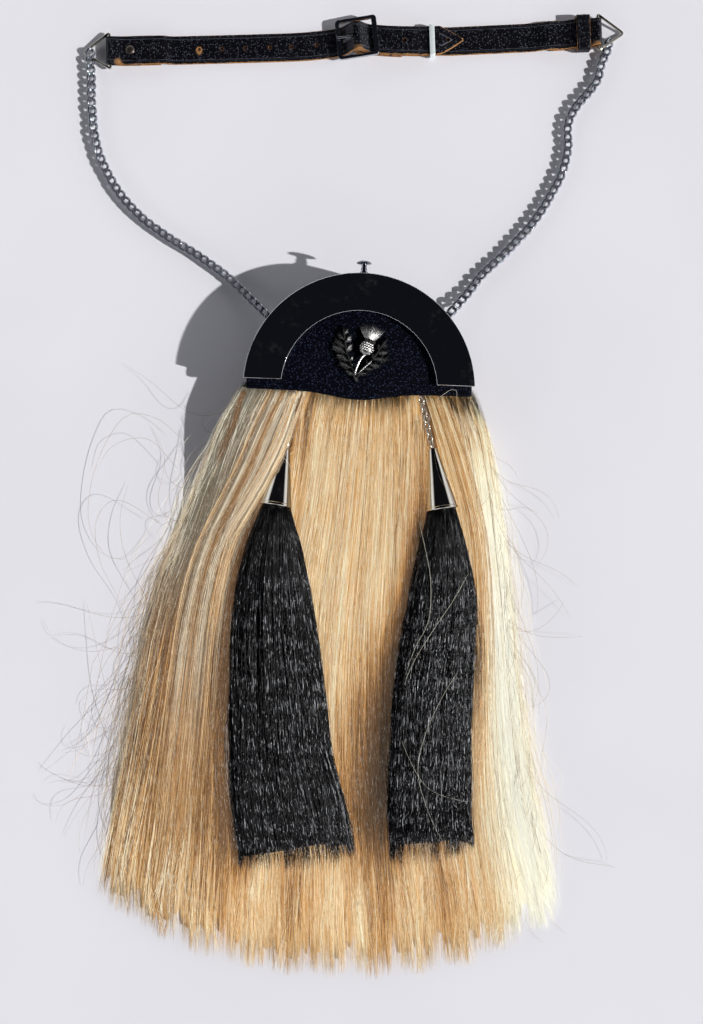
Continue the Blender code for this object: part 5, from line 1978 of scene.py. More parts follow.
    def bend(
        self, strap: bpy.types.Object, route: np.ndarray, node: str, point: float = 0.0
    ) -> bpy.types.Object:
        """Bends a flat strap along its route, into world place, and marks where it is worn.

        Args:
            strap: the flat strap.
            route: its way, from the route method.
            node: the node that it stands for.
            point: how much of it is the point.

        Returns:
            The bent strap.
        """
        along, v, h = read_places(strap.data).T
        s, z, slope = (np.interp(along, route[:, 0], route[:, i]) for i in (1, 2, 3))
        skew = math.radians(self.buckle_twist) * np.exp(-(((s - self.buckle_s) / 20.0) ** 2))
        for end in (0.0, self.length):
            v = v * (1 - 0.06 * np.exp(-(((s - end) / 6.0) ** 2)))
        middle = np.array([self.side(value) for value in s])
        bent = np.column_stack(
            [
                s - np.sin(slope) * h - v * np.sin(skew),
                middle + v * np.cos(skew),
                z + np.cos(slope) * h,
            ]
        )
        strap.data.vertices.foreach_set("co", (bent * MM).astype(np.float32).ravel())
        strap.data.update()
        edge = np.maximum(self.width / 2 - np.abs(v), 0.0)
        if point:
            left = np.clip((route[-1, 0] - along) / point, 0, 1)
            tip = np.maximum(self.tip_half(left) - np.abs(v), 0.0)
            edge = np.where(left < 1, tip * 0.45, edge)
        set_uv(strap.data, "strap", np.column_stack([along, edge]))
        return self.finish_strap(outward(strap), node)

    def finish_strap(self, piece: bpy.types.Object, node: str) -> bpy.types.Object:
        """Puts a strap into world place and marks where its black has rubbed off.

        Args:
            piece: the piece.
            node: the node that it stands for.

        Returns:
            The same piece.
        """
        put(piece, self.place())
        places = read_places(piece.data)
        rubbed = np.zeros((len(places), 3))
        round_holes = [
            Wear(*(self.place() @ Vector((s * MM, self.side(s) * MM, 0)) / MM)[:2], 2.0, 0.75)
            for s in self.holes
        ]
        for spot in (*self.worn, *round_holes):
            square = (places[:, 0] - spot.x) ** 2 + (places[:, 1] - spot.y) ** 2
            rubbed[:, 0] += spot.strength * np.exp(-square / spot.radius**2)
        set_colour(piece.data, "worn", rubbed)
        return show(smooth(piece, 38), node, slot="strap_leather")

    def billet(self) -> bpy.types.Object:
        """The punched strap, from its fold on the left ring over the buckle's bar to its point.

        Returns:
            The strap.
        """
        s, low = self.buckle_s, self.flat_z
        high = low + self.layer
        points = [(34, low), (20, low), (8, low), (3, low)]
        points += self.fold(0.0, self.flat_z + self.fold_r, self.fold_r, Side.LEFT)
        points += [(4.5, high + 1.1), (10, high), (22, high), (35, high)]
        points += [(44, low), (60, low), (100, low), (138, low)]
        points += [(s - 18, low), (s - 12.7, low + 0.2), (s - 10.6, low + 0.5)]
        points += [(s - 8.4, low + 1.9), (s - 6.0, low + 4.4)]
        points += arc((s, self.buckle_z), self.bar_r + self.layer + 0.1, 150, 40, 6)
        top = high + self.layer
        points += [(s + 5.6, top + 2.1), (s + 8.5, top + 0.45), (s + 11.5, top), (s + 35, top)]
        through = self.keeper_wall + self.gap + self.thickness / 2 + self.layer
        keeper = self.keeper_s
        points += [(keeper - 6, through), (keeper + 5, through)]
        points += [(keeper + 13, high + 0.1), (keeper + 21.5, high)]
        route = self.route(points)
        folded = route[route[:, 0] > 45]
        where = np.interp([*self.holes, 157.5, 166.7], folded[:, 1], folded[:, 0])
        *holes, slot_start, slot_end = where
        strap = self.flat_strap(
            "punched_strap", route[-1, 0], self.point, holes, (slot_start, slot_end)
        )
        return self.bend(strap, route, "strap_billet", self.point)

    def buckle_strap(self) -> bpy.types.Object:
        """The other strap, from its fold on the buckle's bar to its fold on the right ring.

        Returns:
            The strap.
        """
        s, end, low = self.buckle_s, self.length, self.flat_z
        high = low + self.layer
        through = self.keeper_wall + self.gap + self.thickness / 2
        in_loop = self.end_loop_wall + self.gap + self.thickness / 2
        over = in_loop + self.layer
        points = [(s + 30, low), (s + 20, low), (s + 11.5, low), (s + 6, low + 1.3)]
        points += self.fold(s, self.buckle_z, self.bar_r, Side.LEFT)
        points += arc((s, self.buckle_z), self.bar_r, 65, 40, 1)
        points += [(s + 4.2, high + 2.45), (s + 7.4, high + 0.55), (s + 11, high), (s + 31, high)]
        points += [(self.keeper_s - 7, through), (self.keeper_s + 5, through)]
        points += [(self.keeper_s + 14, low), (self.keeper_s + 40, low), (end - 46, low)]
        points += [(end - 34, high), (end - 22, high + 0.1), (end - 16, over), (end - 10, over)]
        points += [(end - 6, over + 0.05), (end - 3, over + 1.2)]
        points += self.fold(end, in_loop + self.fold_r, self.fold_r, Side.RIGHT, upward=False)
        points += [(end - 6, in_loop), (end - 14, in_loop), (end - 22, low + 0.1)]
        points += [(end - 32, low)]
        route = self.route(points)
        near = route[(route[:, 1] < s + 6.5) & (route[:, 0] < 60), 0]
        strap = self.flat_strap("sewn_strap", route[-1, 0], 0.0, (), (near[0], near[-1]))
        return self.bend(strap, route, "strap_buckle_side")

    def band(
        self, name: str, s: float, length: float, wall: float, high: float, slack: float,
        finish: Finish,
    ) -> bpy.types.Object:
        """A flat band bent round the straps.

        Args:
            name: the name of the new piece.
            s: where its middle is along the straps.
            length: how much of the straps it covers.
            wall: how thick it is.
            high: how high the opening is.
            slack: the room at each side of the straps.
            finish: the finish that it gets.

        Returns:
            The band.
        """
        wide = self.width + slack
        outer = rounded_box(wide + 2 * wall, high + wall, 1.5)
        band = plate(name, outer, -length / 2, length / 2, finish)
        inner = rounded_box(wide, high - wall, 0.5)
        cut(band, plate("inside", inner, -length, length, finish))
        bevel(band, 0.28, 3, 50)
        if finish is STRAP_LEATHER:
            slice_at(band, Axis.Z, (-3.2, 3.2))  # points where the worn edge ends
        upright = Matrix.Rotation(math.pi / 2, 4, "Z") @ Matrix.Rotation(math.pi / 2, 4, "X")
        put(band, mm_matrix(s, self.side(s), (high + wall) / 2) @ upright)
        return band

    def loops(self) -> list[bpy.types.Object]:
        """The metal keeper and the leather loop.

        Returns:
            The keeper and the loop.
        """
        wall = self.keeper_wall
        high = wall + 2 * self.layer + self.gap
        keeper = self.band("keeper", self.keeper_s, 3.5, wall, high, 4 * self.gap, PALE_STEEL)
        show(smooth(put(keeper, self.place()), 40), "strap_keeper", slot="bright_steel")
        wall, length, slack = self.end_loop_wall, self.end_loop_length, 4 * self.gap + 0.6
        high = wall + 2 * self.layer + 2 * self.gap
        loop = self.band("end_loop", self.end_loop_s, length, wall, high, slack, STRAP_LEATHER)
        along = read_places(loop.data)[:, 0] - self.end_loop_s
        set_uv(loop.data, "strap", stacked(along, length / 2 - np.abs(along) + 0.12))
        self.finish_strap(loop, "strap_end_loop")
        return [keeper, loop]

    def rings(self) -> list[bpy.types.Object]:
        """The triangular wire rings.

        Returns:
            The rings.
        """
        made = []
        in_loop = self.end_loop_wall + self.gap + self.thickness / 2
        bars = {
            Side.LEFT: (0.0, self.flat_z + self.fold_r),
            Side.RIGHT: (self.length, in_loop + self.fold_r),
        }
        reach, half, rounding = 18.3, 12.4, 2.4
        corners = [np.array(corner) for corner in ((0.0, -half), (0.0, half), (reach, 0.0))]
        for side, (bar_s, bar_z) in bars.items():
            points = []
            for i, here in enumerate(corners):
                before, after = corners[i - 1], corners[(i + 1) % 3]
                start = here + (before - here) / np.linalg.norm(before - here) * rounding
                end = here + (after - here) / np.linalg.norm(after - here) * rounding
                for t in np.linspace(0, 1, 12):
                    out, across = start * (1 - t) ** 2 + here * 2 * t * (1 - t) + end * t**2
                    z = bar_z + (1.1 - bar_z) * out / reach
                    points.append((bar_s + side.sign * out, across + self.side(bar_s), z))
            ring = tube(f"{side}_ring", points, self.ring_wire, BRIGHT_STEEL, True, 16)
            put(ring, self.place())
            made.append(show(ring, f"strap_ring_{side}", slot="bright_steel"))
        return made

    def buckle(self) -> bpy.types.Object:
        """The centre-bar frame of the buckle, bevelled all round.

        Returns:
            The frame.
        """
        outline = rounded_box(self.buckle_length, self.buckle_width, 2.4)
        half = self.buckle_half
        frame_piece = plate("buckle", outline, -half, half, BUCKLE_STEEL)
        for side, bar in self.end_bars:
            inner, outer = self.buckle_bar / 2, self.buckle_length / 2 - bar
            middle = side.sign * (inner + outer) / 2
            window = rounded_box(outer - inner, self.buckle_window, 1.0, middle)
            cut(frame_piece, plate("window", window, -4.0, 4.0, BUCKLE_STEEL))
        bevel(frame_piece, 0.8, 4, 40)
        tilt = Matrix.Rotation(math.radians(self.buckle_twist), 4, "Z")
        tilt @= Matrix.Rotation(-math.radians(self.buckle_rise), 4, "Y")
        at = mm_matrix(self.buckle_s, self.side(self.buckle_s), self.buckle_z)
        put(frame_piece, self.place() @ at @ tilt)
        return show(smooth(frame_piece, 35), "buckle_frame", slot="dark_chrome")

    def prong(self) -> bpy.types.Object:
        """The prong: an eye round the bar and a pin over the left bar.

        Returns:
            The prong.
        """
        y = self.side(self.buckle_s)
        reach = self.buckle_bar / 2 * self.bar_swell + 1.5 * self.gap + 0.8
        eye = [
            (self.buckle_s + x, y, self.buckle_z + z)
            for x, z in arc((0, 0), reach, 0, 360, 36)[:-1]
        ]
        half, (_, left_bar) = self.buckle_length / 2, self.end_bars[0]
        left = self.buckle_s - half + left_bar / 2 - 0.9
        left_top = self.buckle_z - math.sin(math.radians(self.buckle_rise)) * half
        left_top += self.buckle_half
        pin = [
            (self.buckle_s - 0.6, y, self.buckle_z + reach - 0.3),
            (self.buckle_s - 7.0, y, self.buckle_z + reach - 0.8),
            (left, y, left_top + 3 * self.gap + 0.56),
        ]
        pieces = [
            tube("prong_eye", eye, 0.8, DARK_CHROME, True, 16),
            tube("prong_pin", curve_through(pin, 0.8), 0.75, DARK_CHROME, sides=16),
        ]
        prong = put(join(pieces, "prong"), self.place())
        return show(prong, "buckle_prong", slot="dark_chrome")

    def rivet(self) -> bpy.types.Object:
        """The domed rivet by the left ring.

        Returns:
            The rivet.
        """
        base = 2 * self.layer
        profile = (
            (0, base + 1.05), (0.9, base + 1.0), (1.8, base + 0.8), (2.6, base + 0.45),
            (3.0, base + 0.1), (2.95, base + 0.05), (1.8, base + 0.05), (1.8, 0.1), (0, 0.1),
        )
        rivet = lathe("rivet", profile, BRONZE, 40, 50)
        put(rivet, self.place() @ mm_matrix(13.6, self.side(13.6), 0))
        return show(rivet, "strap_rivet", slot="dark_chrome")

    def stitching(self) -> bpy.types.Object:
        """Stitches across each fold, where the strap is sewn down.

        Returns:
            The stitches, as one piece.
        """
        strands = Strands()
        for s, z in ((30.0, self.flat_z + self.layer), (198.0, self.flat_z + self.layer * 2)):
            y = self.side(s)
            for k in range(5):
                v = -6.0 + 3.0 * k
                line = np.array([(s, y + v, z + 0.86), (s + 0.1, y + v + 2.0, z + 0.86)])
                path = along_curve(line, 6)
                path[:, 2] += 0.12 * np.sin(np.linspace(0, math.pi, 6))
                world = np.array([self.place() @ Vector(p * MM) for p in path]) / MM
                strands.add(world, np.full(6, 0.28))
        return strands.build("strap_stitches", THREAD)


# ---------------------------------------------------------------- chains


@dataclass
class LinkShape:
    """An oval wire link, twisted along its length if it is a curb link."""

    half_length: float
    half_width: float
    wire: float
    twist: float = 0.0
    around: int = 24
    sides: int = 8

    def ring(self) -> np.ndarray:
        """The link's surface at the origin, along X, as (around, sides, 3).

        Returns:
            The points of the surface.
        """
        t = np.linspace(0, 2 * math.pi, self.around, endpoint=False)
        x = self.half_length * np.sign(np.cos(t)) * np.abs(np.cos(t)) ** 0.85
        y = self.half_width * np.sign(np.sin(t)) * np.abs(np.sin(t)) ** 0.85
        roll = math.radians(self.twist) * x / self.half_length
        centre = np.stack([x, y * np.cos(roll), y * np.sin(roll)], axis=1)
        way = unit(np.roll(centre, -1, axis=0) - np.roll(centre, 1, axis=0))
        out = unit(centre * np.array([0.7, 1.0, 1.0]) + 1e-6)
        out = unit(out - way * np.sum(out * way, axis=1, keepdims=True))
        up = np.cross(way, out)
        a = np.linspace(0, 2 * math.pi, self.sides, endpoint=False)
        return centre[:, None] + self.wire * (
            out[:, None] * np.cos(a)[None, :, None] + up[:, None] * np.sin(a)[None, :, None]
        )

    def chain(
        self, name: str, route: np.ndarray, pitch: float, rolls: np.ndarray, finish: Finish
    ) -> bpy.types.Object:
        """Links along a route.

        Args:
            name: the piece's name.
            route: points along the chain, in millimetres.
            pitch: the distance from link to link.
            rolls: how each link is rolled, in degrees; it is repeated along the chain.
            finish: the metal.

        Returns:
            The chain.
        """
        count = max(2, int(round(distances(route)[-1] / pitch)))
        spots = along_curve(route, count)
        way = unit(np.gradient(spots, axis=0))
        side = unit(np.cross(UP, way))
        up = np.cross(way, side)
        surface = self.ring()
        verts, faces = [], []
        for i in range(count):
            roll = math.radians(float(rolls[i % len(rolls)]))
            across = side[i] * math.cos(roll) + up[i] * math.sin(roll)
            above = np.cross(way[i], across)
            turn = np.stack([way[i], across, above])
            verts.append((surface.reshape(-1, 3) @ turn) + spots[i])
            faces.append(grid_faces(self.around, self.sides, True, True) + i * surface.size // 3)
        mesh = mesh_from(name, np.concatenate(verts), np.concatenate(faces))
        return outward(link_object(name, mesh, finish))


@dataclass
class BeltChains:
    """The two curb chains from the rings to the pouch's eyes."""

    pitch: float = 5.35
    link: LinkShape = field(default_factory=lambda: LinkShape(3.45, 2.3, 0.98, 46.0))
    eye_z: float = 7.0
    rest_z: float = 2.6
    routes: dict = field(
        default_factory=lambda: {
            Side.LEFT: [
                (-190.2, 222.6), (-190.6, 218.1), (-189.2, 205.0), (-188.2, 189.0),
                (-186.2, 172.0), (-182.0, 156.0), (-174.5, 141.0), (-165.0, 127.2),
                (-152.0, 114.0), (-134.0, 101.5), (-114.0, 90.0), (-94.5, 77.1),
                (-80.0, 65.2), (-60.6, 46.8), (-57.6, 44.4),
            ],
            Side.RIGHT: [
                (160.0, 243.0), (159.0, 237.4), (155.8, 229.0), (153.8, 219.0),
                (147.0, 208.5), (139.0, 198.5), (134.6, 187.0), (135.2, 172.0),
                (132.0, 155.0), (123.5, 136.5), (112.5, 118.5), (97.5, 100.8),
                (81.5, 84.5), (70.0, 69.0), (56.3, 52.0), (53.6, 49.4),
            ],
        }
    )

    def build(self) -> list[bpy.types.Object]:
        """Makes both chains.

        Returns:
            The chains.
        """
        made = []
        rng = np.random.default_rng(SEED + 1)
        for side, flat in self.routes.items():
            route = curve_through([(x, y, 0.0) for x, y in flat], 2.0)
            share = shares(route)
            route[:, 2] = self.rest_z + (self.eye_z - self.rest_z) * ease(share, 0.84, 0.99)
            sway = np.interp(share, np.linspace(0, 1, 24), rng.uniform(-0.25, 0.25, 24))
            way = unit(np.gradient(route, axis=0))
            route[:, 0] -= way[:, 1] * sway
            route[:, 1] += way[:, 0] * sway
            rolls = rng.uniform(-9, 9, 97)
            chain = self.link.chain(
                f"{side}_curb_chain", route, self.pitch, rolls, DARK_CHROME
            )
            made.append(show(chain, f"belt_chain_{side}", slot="dark_chrome"))
        return made


# ---------------------------------------------------------------- hair


class HairRow(NamedTuple):
    """One row across the hair skirt: its edges and the height of its crown."""

    y: float
    left: float
    right: float
    crown: float


class TasselRow(NamedTuple):
    """One section of a tassel's hair: its edges and its half thickness."""

    y: float
    left: float
    right: float
    half: float


HAIR_ROWS = (
    HairRow(3.8, -77, 76, 21.6), HairRow(-8, -83, 80, 21.6), HairRow(-20, -90, 85.5, 22.3),
    HairRow(-40, -98, 92, 20.5), HairRow(-60, -105, 96.5, 18.5), HairRow(-80, -111.5, 100.5, 17.0),
    HairRow(-106, -120, 105, 15.2), HairRow(-135, -130, 110, 12.6), HairRow(-165, -137, 114, 12.0),
    HairRow(-200, -142, 118.5, 11.4), HairRow(-240, -148, 125, 11.0),
    HairRow(-280, -155, 134.5, 10.5), HairRow(-315, -161, 145, 9.5), HairRow(-345, -166, 153, 8.0),
    HairRow(-395, -168, 160, 3.5),
)

TASSEL_ROWS = {
    Side.LEFT: (
        TasselRow(-80, -62.0, -41.4, 9.0), TasselRow(-103, -69.0, -35.5, 8.3),
        TasselRow(-135, -75.0, -29.0, 7.4), TasselRow(-165, -76.5, -23.5, 6.9),
        TasselRow(-200, -75.5, -18.0, 6.5), TasselRow(-240, -73.5, -12.0, 6.0),
        TasselRow(-280, -71.0, 0.0, 5.4), TasselRow(-312, -68.0, 10.0, 3.8),
    ),
    Side.RIGHT: (
        TasselRow(-78, 48.0, 68.0, 9.0), TasselRow(-103, 45.0, 75.0, 8.3),
        TasselRow(-135, 41.0, 81.5, 7.4), TasselRow(-165, 37.0, 81.5, 6.9),
        TasselRow(-200, 34.0, 80.0, 6.5), TasselRow(-240, 33.0, 81.5, 6.0),
        TasselRow(-280, 31.5, 84.5, 5.4), TasselRow(-304, 32.5, 89.0, 3.8),
    ),
}
CHAIN_TOPS = {Side.LEFT: (-42.5, -3.1), Side.RIGHT: (40.8, -3.1)}
CONE_FEET = {Side.LEFT: (-51.5, -78.6), Side.RIGHT: (57.8, -76.7)}
CONE_TOPS = {Side.LEFT: (-46.9, -40.5), Side.RIGHT: (50.2, -36.8)}
TASSEL_BED = 4.0  # how deep the tassels are pressed into the crown
BED_GAP = 0.6  # between the crown and a tassel
HAIR_LENGTH = 400.0  # nominal, for the finish
TASSEL_LENGTH = 240.0
FACE_FOOT = -16.0  # above this y the hair lies under the cantle's face
LOWEST = 0.3  # no strand of the skirt lies lower


def table_column(rows: Sequence[NamedTuple], name: str, y: np.ndarray) -> np.ndarray:
    """A column of a table, read at y."""
    ordered = sorted(rows, key=lambda row: row.y)
    return np.interp(y, [row.y for row in ordered], [getattr(row, name) for row in ordered])


def span(rows: Sequence[NamedTuple], y: np.ndarray) -> tuple[np.ndarray, np.ndarray]:
    """The middle and the half width of a table's form at y."""
    left, right = table_column(rows, "left", y), table_column(rows, "right", y)
    return (left + right) / 2, (right - left) / 2


class HairForm:
    """The form of the combed hair: where its upper side, its underside and its ends lie."""

    POUCH = Pouch()
    GAP = 0.3  # between the hair and the pouch's front
    TOP = 3.8
    LOCKS = 11
    TIPS = -395.0
    BOW = 50.0  # how much higher the tips lie at the sides
    BOW_POWER = 2.4

    def edges(self, y: np.ndarray) -> tuple[np.ndarray, np.ndarray]:
        """The middle and the half width of the skirt at y."""
        return span(HAIR_ROWS, y)

    def lock(self, u: np.ndarray) -> np.ndarray:
        """Which lock tip the hair at u belongs to, and how far across it lies."""
        return (u + 1) / 2 * self.LOCKS

    def end(self, u: np.ndarray) -> np.ndarray:
        """The y of the hair's ends, at u from -1 to 1 across.

        Args:
            u: how far across the hair, from -1 at the left to 1 at the right.

        Returns:
            The y, in millimetres.
        """
        lock = self.lock(u)
        swell = 1 - np.abs(2 * (lock % 1.0) - 1)
        stagger = 5.0 * np.sin(2.4 * np.floor(np.minimum(lock, self.LOCKS - 0.01)) + 1.0)
        bowed = self.TIPS + self.BOW * np.abs(u) ** self.BOW_POWER
        return bowed + 15.0 * (1 - swell) + stagger * swell

    def spot(self, u: np.ndarray, t: np.ndarray) -> tuple[np.ndarray, np.ndarray]:
        """The x and y at u across and t along, 0 at the roots and 1 at the tips.

        Args:
            u: how far across the hair, from -1 at the left to 1 at the right.
            t: how far along the hair, 0 at the roots and 1 at the tips.

        Returns:
            The x and the y, in millimetres.
        """
        y = self.TOP + (self.end(u) - self.TOP) * t
        middle, half = self.edges(y)
        return middle + u * half, y

    def side_drop(self, y: np.ndarray) -> np.ndarray:
        """The underside beside the pouch."""
        return 15.3 * ease(y, -90, self.TOP)

    def under(self, x: np.ndarray, y: np.ndarray) -> np.ndarray:
        """The height of the underside.

        Args:
            x: how far to the right, in millimetres.
            y: how far up the sheet, in millimetres.

        Returns:
            The height, in millimetres.
        """
        beside, pouch = self.side_drop(y), self.POUCH
        below = np.maximum(pouch.shelf_y - np.clip(y, pouch.foot_y, self.TOP), 0.0)
        fall = (pouch.shelf - pouch.shelf_foot) / (pouch.shelf_y - pouch.foot_y)
        over = pouch.shelf - fall * below + self.GAP
        across = 1 - ease(np.abs(x), pouch.radius + 6, pouch.radius + 20)
        along = 1 - ease(y, pouch.foot_y - 5, pouch.foot_y - 35)
        return beside + np.maximum(over - beside, 0.0) * across * along

    def mask(self, x: np.ndarray, y: np.ndarray) -> np.ndarray:
        """1 where a tassel lies on the hair.

        Args:
            x: how far to the right, in millimetres.
            y: how far up the sheet, in millimetres.

        Returns:
            A share from 0 to 1.
        """
        found = np.zeros(np.broadcast(x, y).shape)
        for side, rows in TASSEL_ROWS.items():
            top_x, top_y = CHAIN_TOPS[side]
            first, last = rows[0], rows[-1]
            share = np.clip((y - first.y) / (top_y - first.y), 0, 1)
            middle, half = span(rows, y)
            off = np.abs(x - (middle * (1 - share) + top_x * share))
            across = 1 - ease(off - (half * (1 - share) + 2.0 * share), 1.5, 11.0)
            along = ease(y, last.y - 26, last.y - 8)
            start = 1 - ease(y, -26, -8)
            found = np.maximum(found, across * along * start)
        return found

    def shade(self, x: np.ndarray, y: np.ndarray) -> np.ndarray:
        """1 where shade is painted into the hair: left of a tassel, in place of its shadow, and in
        the gap round its chain.

        Args:
            x: how far to the right, in millimetres.
            y: how far up the sheet, in millimetres.

        Returns:
            A share from 0 to 1.
        """
        found = np.zeros(np.broadcast(x, y).shape)
        for side, rows in TASSEL_ROWS.items():
            away = table_column(rows, "left", y) - x
            wide = 15.0 + (36.0 if side is Side.RIGHT else 6.0) * ease(y, -110, -235)
            across = (1 - ease(away, -1.0, wide)) * ease(away, -16.0, -4.0)
            along = ease(y, rows[0].y + 22, rows[0].y - 14)
            along = along * ease(y, rows[-1].y - 12, rows[-1].y + 4)
            found = np.maximum(found, across * along)
            (top_x, top_y), (cone_x, cone_y) = CHAIN_TOPS[side], CONE_TOPS[side]
            down = np.clip((y - top_y) / (cone_y - top_y), -0.2, 1.3)
            off = np.abs(x - (top_x + (cone_x - top_x) * down) - 1.5)
            gap = (1 - ease(off, 0.8, 4.2)) * ease(down, 1.3, 0.9) * ease(down, -0.1, 0.1)
            found = np.maximum(found, 0.7 * gap)
        return found

    def contact(self, x: np.ndarray, y: np.ndarray) -> np.ndarray:
        """How much deeper the painted shade is where it is darkest, right beside a tassel or in a
        chain's gap.
        """
        return 0.6 * ease(self.shade(x, y), 0.62, 1.0)

    def over(self, u: np.ndarray, x: np.ndarray, y: np.ndarray) -> np.ndarray:
        """The height of the upper side.

        Args:
            u: how far across the hair, from -1 at the left to 1 at the right.
            x: how far to the right, in millimetres.
            y: how far up the sheet, in millimetres.

        Returns:
            The height, in millimetres.
        """
        crown = table_column(HAIR_ROWS, "crown", y)
        edge = self.side_drop(y) + 4.0
        ridge = 1.8 * (np.abs(np.sin(math.pi * self.lock(u))) - 0.5) * ease(y, -10, -110)
        height = edge + (crown - edge) * (1 - np.minimum(np.abs(u), 1.0) ** 3) + ridge
        height = height + (crown - TASSEL_BED - height) * self.mask(x, y)
        return np.maximum(height, self.under(x, y) + 1.8)

    def bed(self, y: np.ndarray) -> np.ndarray:
        """The height of the pressed hair that a tassel lies on."""
        return table_column(HAIR_ROWS, "crown", y) - TASSEL_BED


class Clumps:
    """Fine ridges across the hair: clumps that wander, part and meet along its length."""

    def __init__(self, seed: int, levels: Sequence[tuple[float, float]]) -> None:
        """Draws the waves of each level, given as (clumps across, height).

        Args:
            seed: the seed of its random numbers.
            levels: one pair for each level.
        """
        rng = np.random.default_rng(seed)
        self.levels = [
            (many, high, rng.uniform(0, 2 * math.pi, 6), rng.uniform(0.5, 1.6, 6))
            for many, high in levels
        ]

    def height(self, u: np.ndarray, t: np.ndarray) -> tuple[np.ndarray, np.ndarray]:
        """The height of the ridges, and how deep in a furrow each point is, 0 to 1.

        Args:
            u: how far across the hair, from -1 at the left to 1 at the right.
            t: how far along the hair, 0 at the roots and 1 at the tips.

        Returns:
            The height, and the depth.
        """
        total = np.zeros(np.broadcast(u, t).shape)
        deep = np.zeros_like(total)
        for many, high, phase, pace in self.levels:
            drift = 0.16 * np.sin(pace[0] * 4 * t + phase[0] + u * 5)
            drift = drift + 0.30 * np.sin(pace[1] * 7 * t + phase[1] + u * many * 0.21)
            drift = drift + 0.22 * np.sin(u * many * 0.37 + phase[2]) * t
            wave = np.abs(np.sin(math.pi * (u * many / 2 + drift) + phase[3]))
            swell = 0.65 + 0.35 * np.sin(u * many * 0.53 + phase[4] + pace[4] * 3 * t)
            total = total + high * (wave - 0.6) * swell
            deep = np.maximum(deep, (1 - wave) ** 3 * swell * min(1.0, high / 0.5))
        return total, deep


class Parting(NamedTuple):
    """A parting round a tassel: where it starts, and how far the hair goes to each side of it."""

    u: float
    left: float
    right: float


class Sweep(NamedTuple):
    """A lock with a way of its own: points, half width, tone, silver, strands and spread."""

    points: tuple[tuple[float, float, float], ...]
    half_width: float
    tone: float
    silver: float
    strands: int
    shortened: float = 0.16


class Layer(NamedTuple):
    """One layer of locks."""

    locks: int
    per_lock: int  # strands
    points: int  # of a strand
    whole: bool  # every lock goes from the roots to the tips
    shortest: float  # of the others, as a share of the length
    longest: float
    thick: tuple[float, float]  # half a lock: in millimetres, or round a tassel in radians
    lean: float  # how far locks stray from the straight way
    rise: float  # how much higher the layer lies
    tones: float  # how much the locks differ in tone


class Patch(NamedTuple):
    """A patch of the hair: its middle, its half widths across and along, and what it adds."""

    u: float
    t: float
    wide: float
    long: float
    tone: float
    silver: float = 0.0


UNDER_LAYER = Layer(408, 12, 11, True, 0.0, 0.0, (1.4, 4.2), 0.018, 0.0, 0.09)
UPPER_LAYER = Layer(870, 7, 7, False, 0.22, 0.5, (0.5, 1.9), 0.034, 0.35, 0.11)
BLUNT_TIP = {True: 0.35, False: 0.12}  # of whole locks and of others
BLUNT_BLACK_TIP = {True: 0.75, False: 0.12}


